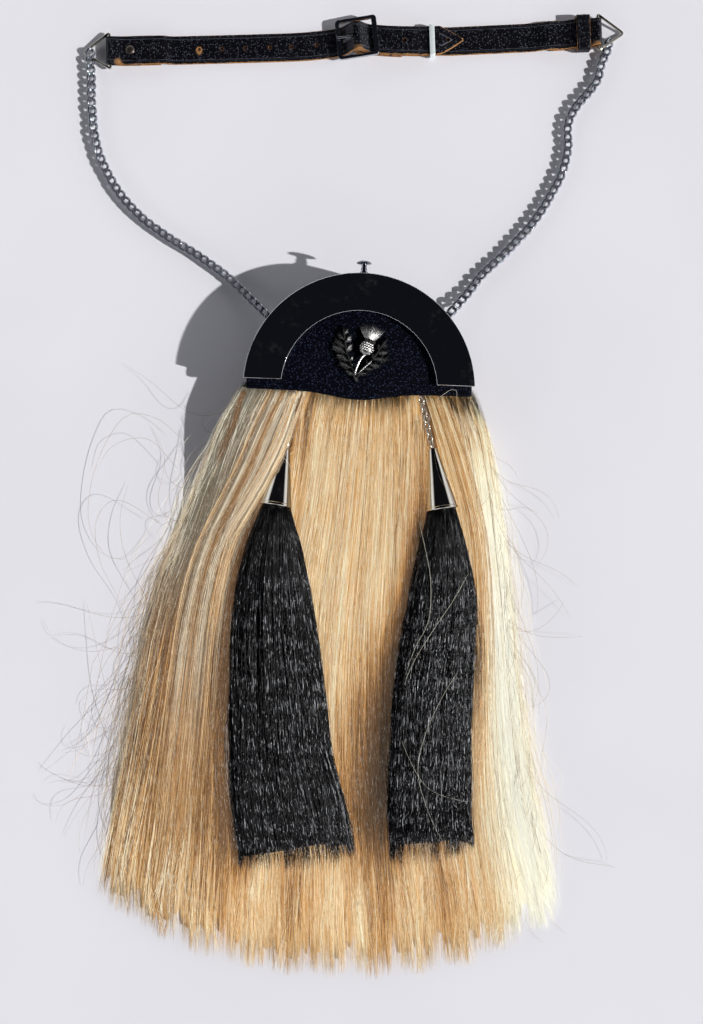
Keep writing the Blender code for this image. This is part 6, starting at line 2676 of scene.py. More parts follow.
@dataclass
class HairSkirt:
    """The long blond hair: a combed mat, with thousands of strands in locks over it."""

    pieces: int = 3
    mat_points: tuple[int, int] = (181, 73)  # across and along
    mat_half: float = 0.965
    mat_length: float = 0.958
    bend_points: int = 13  # of each hair of a swept lock or a wisp
    wisps: tuple[tuple[Side, int, float], ...] = ((Side.LEFT, 250, 0.055), (Side.RIGHT, 150, 0.04))
    shaded: float = 0.88  # how much painted shade darkens the hair beside the tassels and round the chains
    partings: tuple[Parting, ...] = (Parting(-0.43, 0.10, 0.07), Parting(0.575, 0.08, 0.09))
    # The dark patches near the roots at the far left (u -0.94 to -0.66) and the right (u 0.80 and
    # 0.88) and by the chains (u -0.36, 0.50 and 0.56) are painted shade in gaps of the parted hair,
    # and the broad dark ones at the upper and middle left (u -0.88 and -0.75) are painted shade on
    # the hair's left side; the others vary its tone.
    patches: tuple[Patch, ...] = tuple(
        Patch(*row)
        for row in (
            (-0.10, 0.35, 0.25, 0.20, 0.08), (0.28, 0.42, 0.10, 0.14, 0.14),
            (0.00, 0.03, 0.40, 0.06, -0.05), (-0.60, 0.45, 0.18, 0.20, -0.12),
            (-0.53, 0.74, 0.09, 0.16, -0.26), (-0.70, 0.66, 0.04, 0.10, 0.26, 0.2),
            (-0.62, 0.90, 0.05, 0.10, 0.20), (-0.30, 0.86, 0.04, 0.10, 0.24),
            (-0.16, 0.86, 0.04, 0.10, -0.26), (0.02, 0.85, 0.04, 0.10, 0.22),
            (0.22, 0.88, 0.05, 0.12, -0.26), (0.36, 0.86, 0.04, 0.10, 0.20),
            (0.50, 0.85, 0.04, 0.12, -0.26), (-0.94, 0.05, 0.03, 0.07, -0.40, -0.2),
            (-0.84, 0.09, 0.02, 0.07, -0.25), (-0.66, 0.07, 0.02, 0.06, -0.12),
            (0.88, 0.05, 0.05, 0.06, -0.30, 0.4), (0.80, 0.07, 0.02, 0.05, -0.15, 0.3),
            (0.95, 0.03, 0.03, 0.05, 0.30, -0.3), (0.56, 0.02, 0.03, 0.05, -0.75),
            (-0.88, 0.30, 0.18, 0.14, -0.60, -0.1), (-0.75, 0.58, 0.22, 0.16, -0.34, -0.4),
            (-0.80, 0.85, 0.20, 0.10, -0.06, -0.3), (0.92, 0.46, 0.12, 0.20, 0.16, 0.3),
            (-0.46, 0.90, 0.03, 0.10, -0.16), (0.12, 0.92, 0.03, 0.08, 0.12),
            (0.50, 0.14, 0.04, 0.06, -0.35), (-0.36, 0.06, 0.03, 0.07, -0.40, 0.3),
        )
    )
    sweeps: tuple[Sweep, ...] = (
        Sweep(
            (
                (-46.0, 3.0, 20.4), (-47.0, -2.5, 22.4), (-49.5, -9.0, 26.6),
                (-54.0, -20.0, 27.4), (-59.5, -34.0, 26.6), (-66.5, -53.0, 24.6),
                (-75.0, -72.0, 22.2), (-86.0, -96.0, 19.4), (-95.0, -125.0, 16.6),
                (-101.0, -165.0, 14.6), (-105.0, -220.0, 13.0), (-110.0, -290.0, 11.4),
                (-112.0, -340.0, 8.0),
            ),
            9.0, 0.30, 0.55, 740, 0.42,
        ),
        Sweep(
            (
                (-37.5, 3.0, 20.6), (-38.5, -2.5, 22.6), (-40.5, -7.5, 27.6),
                (-42.2, -14.0, 29.6), (-45.2, -25.0, 29.6), (-49.4, -38.0, 29.4),
                (-55.4, -52.0, 28.4), (-63.4, -68.0, 25.6), (-74.0, -86.0, 22.0),
                (-84.0, -105.0, 18.6), (-91.0, -140.0, 16.0), (-95.0, -180.0, 14.4),
            ),
            4.2, 0.50, 0.50, 330, 0.30,
        ),
        Sweep(
            (
                (49.0, 3.0, 20.6), (52.0, -6.0, 22.8), (57.0, -20.0, 23.6), (63.0, -36.0, 23.0),
                (70.0, -57.0, 21.2), (76.0, -76.0, 19.6), (80.5, -97.0, 17.6),
                (84.0, -130.0, 15.4), (86.0, -175.0, 13.8), (87.5, -230.0, 13.0),
                (92.0, -300.0, 11.2),
            ),
            6.0, 0.56, 0.0, 400, 0.35,
        ),
        # The last two locks are dark: painted shade standing for the shadowed gaps by the left
        # chain and at the upper left.
        Sweep(
            (
                (-36.5, -2.5, 22.8), (-39.0, -11.0, 28.6), (-42.6, -24.0, 29.0),
                (-46.6, -37.0, 28.6), (-50.0, -46.0, 27.0),
            ),
            1.2, -0.30, 0.10, 50, 0.10,
        ),
        Sweep(
            (
                (-75.0, -3.0, 21.4), (-77.5, -10.0, 21.8), (-80.5, -23.0, 21.0),
                (-86.0, -38.0, 18.8), (-93.0, -56.0, 16.0),
            ),
            1.6, -0.30, 0.10, 56, 0.25,
        ),
    )
    form: HairForm = field(default_factory=HairForm)
    clumps: Clumps = field(
        default_factory=lambda: Clumps(SEED + 2, ((22, 0.55), (58, 0.28), (140, 0.14)))
    )

    def tone(self, u: np.ndarray, t: np.ndarray) -> tuple[np.ndarray, np.ndarray]:
        """How pale and how silver the hair is over the skirt.

        Args:
            u: how far across the hair, from -1 at the left to 1 at the right.
            t: how far along the hair, 0 at the roots and 1 at the tips.

        Returns:
            The two shares.
        """
        tone = 0.60 + 0.05 * ease(t, 0.88, 1.0) + 0 * u
        tone = tone + 0.42 * ease(u, 0.66, 0.84) * ease(t, 0.0, 0.20)
        # painted shade: the left side of the hair, turned from the light, is darker, less so
        # towards the tips
        tone = tone - 0.42 * ease(u, -0.36, -0.60) * (1 - 0.85 * ease(t, 0.66, 0.92))
        tone = tone - 0.05 * ease(t, 0.74, 0.84) * (1 - ease(u, 0.40, 0.60))
        silver = 0.85 * ease(u, -0.50, -0.90) * (1 - 0.90 * ease(t, 0.25, 0.60))
        silver = np.maximum(silver, 0.50 * ease(u, -0.38, -0.60) * ease(t, 0.36, 0.10))
        silver = np.maximum(silver, 0.85 * ease(u, 0.68, 0.92) * ease(t, 0.1, 0.3))
        for patch in self.patches:
            near = ((u - patch.u) / patch.wide) ** 2 + ((t - patch.t) / patch.long) ** 2
            tone = tone + patch.tone * np.exp(-near)
            silver = silver + patch.silver * np.exp(-near)
        return tone, silver

    def relief(self, u: np.ndarray, t: np.ndarray) -> np.ndarray:
        """How uneven the combed hair is: more so at the left, at the roots and at the tips.

        Args:
            u: how far across the hair, from -1 at the left to 1 at the right.
            t: how far along the hair, 0 at the roots and 1 at the tips.

        Returns:
            The share of the full relief.
        """
        left = ease(u, -0.30, -0.60) * (1 - 0.4 * ease(t, 0.5, 0.8))
        right = 0.5 * ease(u, 0.60, 0.80) * ease(t, 0.25, 0.10)
        return 0.30 + 0.55 * np.maximum(left, right) + 0.25 * ease(t, 0.80, 0.95)

    def parted(self, u: np.ndarray, t: np.ndarray) -> np.ndarray:
        """Where the hair at u lies: it goes round the tassels and closes again below them.

        Args:
            u: how far across the hair, from -1 at the left to 1 at the right.
            t: how far along the hair, 0 at the roots and 1 at the tips.

        Returns:
            How far across the hair it lies.
        """
        opened = ease(t, 0.005, 0.17) * (1 - ease(t, 0.62, 0.84))
        moved = u + 0 * t
        for parting in self.partings:
            off = u - parting.u
            way = np.where(off < 0, -parting.left, parting.right)
            moved = moved + way * np.exp(-np.abs(off) / 0.15) * opened
        return moved

    def build(self) -> list[bpy.types.Object]:
        """Makes the mat, the strands, the swept locks and the wisps at the edges.

        Returns:
            The pieces.
        """
        rng = np.random.default_rng(SEED + 3)
        made = [self.mat()]
        for i in range(self.pieces):
            strands = Strands()
            for layer in (UNDER_LAYER, UPPER_LAYER):
                self.combed(strands, layer, layer.locks // self.pieces, rng)
            made.append(strands.build(f"blond_strands_{i + 1}", BLOND))
        strands = Strands()
        for sweep in self.sweeps:
            self.swept(strands, sweep, rng)
        made.append(strands.build("blond_locks", BLOND))
        made.append(self.edge_wisps(rng))
        for piece in made[1:]:
            piece.visible_shadow = False  # blond hair lets the light through
        return made

    def mat(self) -> bpy.types.Object:
        """The mat under the strands, with a furrowed upper side.

        Returns:
            The mat.
        """
        columns, rows = self.mat_points
        across = np.linspace(-self.mat_half, self.mat_half, columns)
        u, t = np.meshgrid(across, np.linspace(0, 1, rows))
        ragged = np.random.default_rng(SEED + 4).uniform(-0.03, 0.015, columns)
        t = t * (self.last(u, np.array(0.0)) * self.mat_length + ragged)
        x, y = self.form.spot(u, t)
        under = self.form.under(x, y)
        ridges, deep = self.clumps.height(u, t)
        ridges = ridges * self.relief(u, t) * ease(t, 0.0, 0.06)
        over = self.form.over(u, x, y) - 0.55 + ridges
        over = np.maximum(over * (1 - 0.80 * ease(t, 0.80, 0.95)), under + 0.5)
        count = rows * columns
        top = grid_faces(rows, columns, False, False)
        rim = np.concatenate(
            [
                np.arange(columns),
                np.arange(1, rows) * columns + columns - 1,
                (rows - 1) * columns + np.arange(columns - 2, -1, -1),
                np.arange(rows - 2, 0, -1) * columns,
            ]
        )
        after = np.roll(rim, -1)
        walls = np.stack([after, rim, rim + count, after + count], axis=1)
        verts = np.concatenate([stacked(x, y, z).reshape(-1, 3) for z in (over, under)])
        faces = np.concatenate([top, top[:, ::-1] + count, walls])
        mesh = mesh_from("blond_mat", verts, faces)
        _, half = self.form.edges(y)
        comb = stacked(u * half, t * HAIR_LENGTH).reshape(-1, 2)
        tone, silver = self.tone(u, t)
        # painted shade: the mat is a little darker than the strands over it, and darker beside the
        # tassels and round the chains
        shade = self.form.shade(x, y)
        # painted shade: darker in the furrows between clumps, and darkest right beside the tassels
        depth = np.maximum(0.3 * deep, self.form.contact(x, y))
        lay = stacked(tone - 0.05 - self.shaded * shade, silver * (1 - shade), depth)
        lay = np.clip(lay, 0, 1.2).reshape(-1, 3)
        set_uv(mesh, "comb", np.concatenate([comb, comb]))
        set_colour(mesh, "lay", np.concatenate([lay, lay]))
        piece = outward(link_object("blond_mat", mesh, BLOND))
        return show(piece, "hair_skirt", slot="blond_hair")

    def last(self, u: np.ndarray, drawn: np.ndarray) -> np.ndarray:
        """Where along the hair at u a strand ends, shorter by the length drawn.

        Args:
            u: how far across the hair, from -1 at the left to 1 at the right.
            drawn: how much shorter the strand is, in millimetres.

        Returns:
            How far along the hair.
        """
        form = self.form
        lobe = np.abs(np.sin(math.pi * form.lock(u)))
        bowed = form.TIPS - 3.0 + form.BOW * np.minimum(np.abs(u), 1.05) ** form.BOW_POWER
        lowest = bowed + 5 * (1 - lobe) + drawn
        return (lowest - form.TOP) / (form.end(np.clip(u, -1, 1)) - form.TOP)

    def reach(
        self, layer: Layer, root: np.ndarray, each: Shape, rng: np.random.Generator
    ) -> tuple[np.ndarray, np.ndarray]:
        """Where along the hair each strand starts and ends.

        Args:
            layer: the counts and measures of the layer.
            root: how far across each lock's root is.
            each: the shape of an array with one number for each strand.
            rng: the source of random numbers.

        Returns:
            The start and the end.
        """
        one = root.shape
        drawn = rng.exponential(2.8, each) - 1.5 + rng.exponential(2.2, one)
        drawn = drawn + np.where(rng.random(each) < 0.08, rng.uniform(5, 60, each), 0.0)
        end = self.last(root, drawn)
        if layer.whole:
            return 0.0 * end, end
        length = rng.uniform(layer.shortest, layer.longest, one)
        start = np.maximum(rng.uniform(-0.20, 0.93, one) + rng.normal(0, 0.02, each), 0.0)
        end = np.minimum(start + length * rng.uniform(0.85, 1.15, each), end)
        return np.minimum(start, end - 0.08), end

    def held_in(self, u: np.ndarray, root: np.ndarray, t: np.ndarray) -> np.ndarray:
        """Across the hair, drawn towards the lock's tip and kept off the skirt's edges.

        Args:
            u: how far across the hair, from -1 at the left to 1 at the right.
            root: how far across each lock's root is.
            t: how far along the hair, 0 at the roots and 1 at the tips.

        Returns:
            How far across the hair.
        """
        locks = self.form.LOCKS
        centre = (np.floor(np.clip((root + 1) / 2, 0, 0.9999) * locks) + 0.5) / locks * 2 - 1
        u = u + (centre - u) * 0.14 * ease(t, 0.78, 1.0)
        off, most = np.abs(u), 0.95
        soft = most + (1 - most) * np.tanh((off - most) / (1 - most))
        return np.sign(u) * np.where(off > most, soft, off)

    def laid(
        self, layer: Layer, root: np.ndarray, share: np.ndarray, t: np.ndarray,
        rng: np.random.Generator,
    ) -> np.ndarray:
        """How far across the hair each strand lies along its length.

        Args:
            layer: the counts and measures of the layer.
            root: how far across each lock's root is.
            share: how far along the strand each of its points is, from 0 to 1.
            t: how far along the hair, 0 at the roots and 1 at the tips.
            rng: the source of random numbers.

        Returns:
            How far across, from -1 to 1.
        """
        one, each = root.shape, (*share.shape[:2], 1)
        lean = rng.normal(0, layer.lean, one) + rng.normal(0, 0.3 * layer.lean, each)
        pace = rng.uniform(2.5, 7.5, one)
        wave = rng.normal(0, 0.005, one) * np.sin(pace * share + rng.uniform(0, 6.28, one))
        u = self.parted(root + lean * (share - 0.4 * (not layer.whole)) + wave, t)
        return self.held_in(u, root, t)

    def tinted(
        self, layer: Layer, root: np.ndarray, t: np.ndarray, dark: np.ndarray,
        rng: np.random.Generator,
    ) -> tuple[np.ndarray, np.ndarray]:
        """How pale and how silver each strand is along its length.

        Args:
            layer: the counts and measures of the layer.
            root: how far across each lock's root is.
            t: how far along the hair, 0 at the roots and 1 at the tips.
            dark: how much painted shade the hair gets there, beside a tassel or round a chain.
            rng: the source of random numbers.

        Returns:
            The two shares.
        """
        one, each = root.shape, (*t.shape[:2], 1)
        tone, silver = self.tone(root + 0 * t, t)
        shade = rng.normal(0.02, layer.tones, one) + rng.normal(0, 0.17, each)
        shade = shade * (1 + 1.3 * ease(root, -0.40, -0.72) + 0.5 * ease(root, 0.6, 0.9))
        tone = tone - self.shaded * dark + shade * (1 - 0.5 * dark)
        return tone, (silver + rng.normal(0, 0.12, one)) * (1 - dark)

    def combed(
        self, strands: Strands, layer: Layer, locks: int, rng: np.random.Generator
    ) -> None:
        """Strands in locks over the mat.

        Args:
            strands: where the new strands are kept.
            layer: the counts and measures of the layer.
            locks: how many locks are made.
            rng: the source of random numbers.
        """
        per, n = layer.per_lock, layer.points
        one, each = (locks, 1, 1), (locks, per, 1)
        share = uneven_steps(n, each, rng)
        root = rng.uniform(-0.985, 0.985, one)
        start, end = self.reach(layer, root, each, rng)
        t = start + (end - start) * share
        u = self.laid(layer, root, share, t, rng)
        held, seen = np.clip(u, -1, 1), np.clip(t, 0, 1)
        _, y = self.form.spot(np.clip(root, -1, 1), t)
        middle, half = self.form.edges(y)
        out = rng.uniform(*layer.thick, one) * np.sqrt(rng.random(each))
        angle = rng.uniform(0, 2 * math.pi, each) + rng.normal(0, 1.2, one) * share
        narrow = 1 - 0.4 * share**1.4 + 0.70 * ease(share, 0.80, 1.0)
        tiny = rng.normal(0, 0.30, each) * np.sin(
            rng.uniform(4, 13, each) * share + rng.uniform(0, 6.28, each)
        )
        x = middle + u * half + out * np.cos(angle) * narrow + tiny
        ridges, deep = self.clumps.height(held, seen)
        uneven = self.relief(held, seen)
        rise = (rng.exponential(0.45, one) * uneven + layer.rise) * np.sin(math.pi * share)
        rise = rise + out * np.sin(angle) * narrow * (0.10 + 0.18 * uneven)
        base = self.form.over(held, middle + held * half, y)
        z = base - 0.15 + ridges * uneven * ease(t, 0.0, 0.06) + rise
        z = np.where(y > FACE_FOOT, np.minimum(z, 21.3 + 0.05 * (self.form.TOP - y)), z)
        droop = ease(t, 0.93, 1.03)
        z = z * (1 - droop) + np.minimum(z, 1.4 + 2.0 * rng.random(each)) * droop
        # painted shade: darker beside the tassels and round the chains
        tone, silver = self.tinted(layer, root, seen, self.form.shade(x, y), rng)
        # painted shade: darker in the furrows between clumps, and darkest right beside the tassels
        depth = np.maximum(deep * 0.25 * uneven, self.form.contact(x, y))
        across = root * 150 + rng.uniform(-40, 40, each)
        strands.add(
            stacked(x, y, np.maximum(z, LOWEST)),
            taper(locks * per, n, rng, 0.11, 0.22, BLUNT_TIP[layer.whole]),
            stacked(across, t * HAIR_LENGTH),
            stacked(tone, silver, depth),
        )

    def swept(self, strands: Strands, sweep: Sweep, rng: np.random.Generator) -> None:
        """A lock that goes its own way over the rest.

        Args:
            strands: where the new strands are kept.
            sweep: the lock's route and look.
            rng: the source of random numbers.
        """
        n, one = self.bend_points, (sweep.strands, 1)
        route = curve_through(sweep.points, 2.0)
        stop = np.clip(1 - rng.exponential(sweep.shortened, one), 0.30, 1)
        s = np.linspace(0, 1, n)[None] ** 1.25 * stop
        x, y, z = (np.interp(s, shares(route), route[:, i]) for i in range(3))
        v = np.clip(rng.normal(0, 0.55, one), -1.3, 1.3)
        moved = v + rng.normal(0, 0.30, one) * s
        moved = moved + rng.normal(0, 0.05, one) * np.sin(8 * s + rng.uniform(0, 6.3, one))
        wide = sweep.half_width * (0.9 + 0.7 * s)
        dome = 1.6 * (1 - np.clip(moved, -1, 1) ** 2) * rng.uniform(0.2, 1, one)
        dive = 2.5 * ease(s / stop, 0.8, 1.0) * (stop < 0.95)
        z = np.minimum(z + (dome + rng.exponential(0.3, one)) * ease(s, 0.0, 0.15) - dive, 40.0)
        z = np.where(y > -2.5, np.minimum(z, 21.6), z)  # under the cantle's lip
        streak = 0.16 * np.sin(9 * v + 1.0) + 0.12 * np.sin(23 * v)
        tone = sweep.tone + streak + rng.normal(0, 0.20, one)
        silver = sweep.silver * (1 - ease(s, 0.45, 0.9)) * (0.8 + 0.5 * np.sin(6 * v))
        comb = stacked(rng.uniform(-300, 300, one), s * 300)
        radius = taper(sweep.strands, n, rng, 0.09, 0.17)
        strands.add(stacked(x + moved * wide, y, z), radius, comb, stacked(tone, silver, 0 * s))

    def edge_wisps(self, rng: np.random.Generator) -> bpy.types.Object:
        """Thin wavy hairs that leave the sides and the ends of the skirt.

        Args:
            rng: the source of random numbers.

        Returns:
            The hairs, as one piece.
        """
        strands = Strands()
        for side, count, far in self.wisps:
            n, one = self.bend_points, (count, 1)
            u0 = side.sign * (1 - rng.exponential(0.035, one))
            start = rng.uniform(0.02, 0.72, one)
            stop = np.minimum(start + rng.uniform(0.16, 0.55, one), rng.uniform(0.82, 1.0, one))
            share = np.linspace(0, 1, n)[None]
            t = start + (stop - start) * share
            out = rng.exponential(far, one) * np.sin(share * rng.uniform(1.4, 2.6, one))
            curl = rng.normal(0, 0.020, one) * np.sin(
                rng.uniform(4, 13, one) * share + rng.uniform(0, 6.3, one)
            )
            u = u0 + side.sign * np.minimum(out, 0.26) + curl * ease(share, 0, 0.2)
            _, y = self.form.spot(np.clip(u0, -1, 1), t)
            middle, half = self.form.edges(y)
            base = self.form.over(np.clip(u, -1, 1), middle + u0 * half, y)
            loft = rng.exponential(1.6, one) * np.sin(math.pi * share)
            z = base * (1 - ease(np.abs(u), 0.97, 1.10)) + loft + 0.4
            z = np.where(y > FACE_FOOT, np.minimum(z, 21.0), z)
            paths = stacked(middle + u * half, y, np.maximum(z, LOWEST))
            # painted shade: the wisps at the left are darker from a fifth of the way down
            dark = 0.45 * (side is Side.LEFT) * ease(t, 0.2, 0.5)
            tone = 0.75 - dark + rng.normal(0, 0.20, one)
            lay = stacked(tone, 0.60 + rng.normal(0, 0.15, one), 0 * t)
            comb = stacked(rng.uniform(-300, 300, one), t * HAIR_LENGTH)
            strands.add(paths, taper(count, n, rng, 0.08, 0.13), comb, lay)
        return strands.build("blond_wisps", BLOND)


class TasselLook(NamedTuple):
    """What differs between the two tassels' hair."""

    bundle_seed: int
    strand_seed: int
    pale: float  # the tone the strands spread round
    dull: float  # the least depth of the strands' colour, which dims their painted glints


TASSEL_LOOKS = {
    Side.LEFT: TasselLook(5, 7, 0.36, 0.35),
    Side.RIGHT: TasselLook(6, 8, 0.50, 0.0),
}


@dataclass
class Tassel:
    """A black hair tassel: its bundle, its strands, its mirror cone and its fine chain."""

    side: Side
    layers: tuple[Layer, ...] = (
        Layer(64, 11, 14, True, 0.0, 0.0, (0.06, 0.16), 0.08, 0.02, 0.10),
        Layer(170, 7, 9, False, 0.24, 0.48, (0.02, 0.07), 0.10, 0.05, 0.16),
    )
    cone_top: float = 3.2
    cone_base: float = 10.4
    cone_bore: float = 1.4  # the radius of the hole in its top
    wall: float = 1.0
    hem: float = 0.05  # how much shorter the tassel is at its outer side
    tucked: float = 12.0  # how far the hair goes up into the cone
    top: float = 0.04  # where the strands start, as a share of the length
    beats: tuple[float, float] = (22.0, 48.0)  # the length of a strand's waves
    silver_share: float = 0.010  # of the strands
    lowest: float = 4.0
    link: LinkShape = field(default_factory=lambda: LinkShape(2.35, 1.65, 0.6, 0.0, 20, 8))
    link_pitch: float = 3.85
    link_rolls: tuple[float, float] = (42.0, -42.0)  # in degrees, in turn
    bundle_points: tuple[int, int] = (60, 84)  # along and around
    table_points: int = 120
    form: HairForm = field(default_factory=HairForm)

    @property
    def rows(self) -> tuple[TasselRow, ...]:
        """The sections of this tassel."""
        return TASSEL_ROWS[self.side]

    @property
    def look(self) -> TasselLook:
        """The look of this tassel's hair."""
        return TASSEL_LOOKS[self.side]

    def axis(self) -> tuple[np.ndarray, np.ndarray]:
        """The foot and the top of the cone's axis.

        Returns:
            The two points.
        """
        foot, top = (np.array([*p[self.side], 0.0]) for p in (CONE_FEET, CONE_TOPS))
        foot[2] = self.form.bed(foot[1]) + BED_GAP + self.cone_base
        top[2] = self.form.bed(top[1]) + BED_GAP + self.cone_top
        return foot, top

    def build(self) -> list[bpy.types.Object]:
        """Makes the tassel. Its cone and chain cast no shadow: the shade round the chain is painted
        into the hair.

        Returns:
            The pieces.
        """
        made = [self.cone(), self.chain(), self.bundle(), self.hair()]
        for piece in made[:2]:
            piece.visible_shadow = False
        return made

    def cone(self) -> bpy.types.Object:
        """The thin turned cone, with a rolled rim and a neck ring.

        Returns:
            The cone.
        """
        foot, top = self.axis()
        length = float(np.linalg.norm(top - foot))
        slope = (self.cone_base - self.cone_top) / length
        top_r, base, bore = self.cone_top, self.cone_base, self.cone_bore
        profile = [(bore, length), (top_r - 0.6, length), (top_r - 0.1, length - 0.3)]
        profile += [(top_r, length - 0.8)]
        profile += [(top_r + slope * (length - h), h) for h in (length - 1.6, length * 0.5, 2.4)]
        profile += [
            (base - slope * 1.9 - 0.12, 1.95), (base - 0.12, 1.6), (base, 1.2),
            (base, 0.4), (base - 0.3, 0.0), (base - self.wall, 0.0),
            (top_r - 0.9, length - self.wall), (bore, length - self.wall), (bore, length),
        ]
        cone = lathe(f"{self.side}_cone", profile, BRIGHT_STEEL, 72, 25)
        turn = Vector(top - foot).to_track_quat("Z", "Y").to_matrix().to_4x4()
        put(cone, mm_matrix(*foot) @ turn)
        return show(cone, f"tassel_cone_{self.side}", slot="bright_steel")

    def sections(
        self, count: int, stop: float = 1.0
    ) -> tuple[np.ndarray, np.ndarray, np.ndarray]:
        """Centres, half widths and half thicknesses, in even steps from inside the cone down.

        Args:
            count: how many steps.
            stop: the share of the length where they end.

        Returns:
            The centres, the half widths and the half thicknesses.
        """
        foot, top = self.axis()
        length = np.linalg.norm(top - foot)
        inward = (top - foot) / length
        slope = (self.cone_base - self.cone_top) / length
        centres, wide, half = [], [], []
        for depth in (self.tucked, 0.0):
            radius = self.cone_base - self.wall - slope * depth - 0.6
            centres.append(foot + inward * depth)
            wide.append(radius)
            half.append(radius)
        for row in self.rows[1:]:
            z = self.form.bed(row.y) + BED_GAP + row.half
            centres.append(np.array([(row.left + row.right) / 2, row.y, float(z)]))
            wide.append((row.right - row.left) / 2)
            half.append(row.half)
        steps = shares(np.array(centres))
        s = np.linspace(0, stop, count)
        route = along_curve(curve_through(centres, 2.0), 200)
        middle = np.stack([np.interp(s, np.linspace(0, 1, 200), c) for c in route.T], axis=1)
        return middle, np.interp(s, steps, wide), np.interp(s, steps, half)

    def ridges(self, a: np.ndarray, s: np.ndarray, phase: np.ndarray) -> np.ndarray:
        """The furrowed relief round the bundle and along it, from 0 to 1.

        Args:
            a: the angle round the bundle.
            s: the share of its length.
            phase: where the waves start.

        Returns:
            The relief.
        """
        drift = 0.35 * np.sin(5 * s + phase[0])
        ridge = 0.5 * np.abs(np.sin(7 * a + drift + phase[1]))
        ridge = ridge + 0.3 * np.abs(np.sin(19 * a + 2 * drift + phase[2] + 3 * s))
        return ridge + 0.2 * np.abs(np.sin(37 * a - drift + phase[3]))

    def bundle(self) -> bpy.types.Object:
        """The dark bundle under the strands, furrowed along its length.

        Returns:
            The bundle.
        """
        rows, around = self.bundle_points
        middle, wide, half = self.sections(rows, 0.995)
        way = unit(np.gradient(middle, axis=0))
        across = unit(np.cross(UP, -way))
        up = np.cross(across, way)
        up *= np.sign(up[:, 2:3])
        a = np.linspace(0, 2 * math.pi, around, endpoint=False)[None]
        s = np.linspace(0, 1, rows)[:, None]
        rng = np.random.default_rng(SEED + self.look.bundle_seed)
        ridge = self.ridges(a, s, rng.uniform(0, 6.28, 4))
        thin = 1 - 0.65 * ease(s, 0.85, 1.0)
        out = wide[:, None] * (0.95 - 0.12 * s * (1 - ridge))
        lift = half[:, None] * (0.90 - 0.12 * (1 - ridge) * np.minimum(1.0, s * 3)) * thin
        grid = middle[:, None] + across[:, None] * (out * np.cos(a))[..., None]
        grid = grid + up[:, None] * (lift * np.sin(a))[..., None]
        shorter = TASSEL_LENGTH * self.hem * np.maximum(np.cos(a[0]), 0) ** 2
        grid[-1] -= way[-1] * (rng.uniform(0.0, 13.0, around) + shorter)[:, None]
        ends = np.stack([grid[0].mean(0), grid[-1].mean(0)])
        verts = np.concatenate([grid.reshape(-1, 3), ends])
        here = np.arange(around)
        after = (here + 1) % around
        tip = rows * around
        final = tip - around
        caps = [
            np.stack([after, here, np.full(around, tip)], axis=1),
            np.stack([here + final, after + final, np.full(around, tip + 1)], axis=1),
        ]
        mesh = bpy.data.meshes.new(f"{self.side}_bundle")
        quads = grid_faces(rows, around, False, True)
        faces = [*quads.tolist(), *np.concatenate(caps).tolist()]
        mesh.from_pydata((verts * MM).tolist(), [], faces)
        mesh.polygons.foreach_set("use_smooth", np.ones(len(mesh.polygons), bool))
        comb, lay = np.zeros((len(verts), 2)), np.zeros((len(verts), 3))
        comb[:-2] = stacked(14 * a, TASSEL_LENGTH * s).reshape(-1, 2)
        # painted shade: the bundle's furrows are darker and lose their painted glints
        lay[:-2] = stacked(0.15, 0.0, np.clip(1 - ridge, 0, 1)).reshape(-1, 3)
        set_uv(mesh, "comb", comb)
        set_colour(mesh, "lay", lay)
        piece = outward(link_object(f"{self.side}_black_bundle", mesh, BLACK))
        return show(piece, f"tassel_hair_{self.side}", slot="black_hair")

    def hair(self) -> bpy.types.Object:
        """The strands of the tassel, in locks.

        Returns:
            The strands, as one piece.
        """
        rng = np.random.default_rng(SEED + self.look.strand_seed)
        strands = Strands()
        for layer in self.layers:
            self.combed(strands, layer, rng)
        return strands.build(f"{self.side}_black_strands", BLACK)

    def reach(
        self, layer: Layer, rng: np.random.Generator
    ) -> tuple[np.ndarray, np.ndarray, np.ndarray]:
        """Where each strand starts and stops, as shares of the length, and where it lies.

        Args:
            layer: the counts and measures of the layer.
            rng: the source of random numbers.

        Returns:
            The start, the stop, and the angle round the bundle.
        """
        one, each = (layer.locks, 1, 1), (layer.locks, layer.per_lock, 1)
        stop = 1.044 + rng.normal(0.0, 0.008, each) - rng.exponential(0.006, one)
        stop = stop - np.where(rng.random(each) < 0.06, rng.uniform(0.01, 0.08, each), 0.0)
        angle = rng.uniform(-0.12, math.pi + 0.12, one)
        stop = stop - self.hem * np.maximum(np.cos(angle), 0.0) ** 2
        if layer.whole:
            return self.top + 0 * stop, stop, angle
        start = rng.uniform(self.top, 0.92, one) + rng.normal(0, 0.01, each)
        length = rng.uniform(layer.shortest, layer.longest, one)
        stop = np.minimum(start + length * rng.uniform(0.8, 1.2, each), stop)
        return np.minimum(start, stop - 0.06), stop, angle

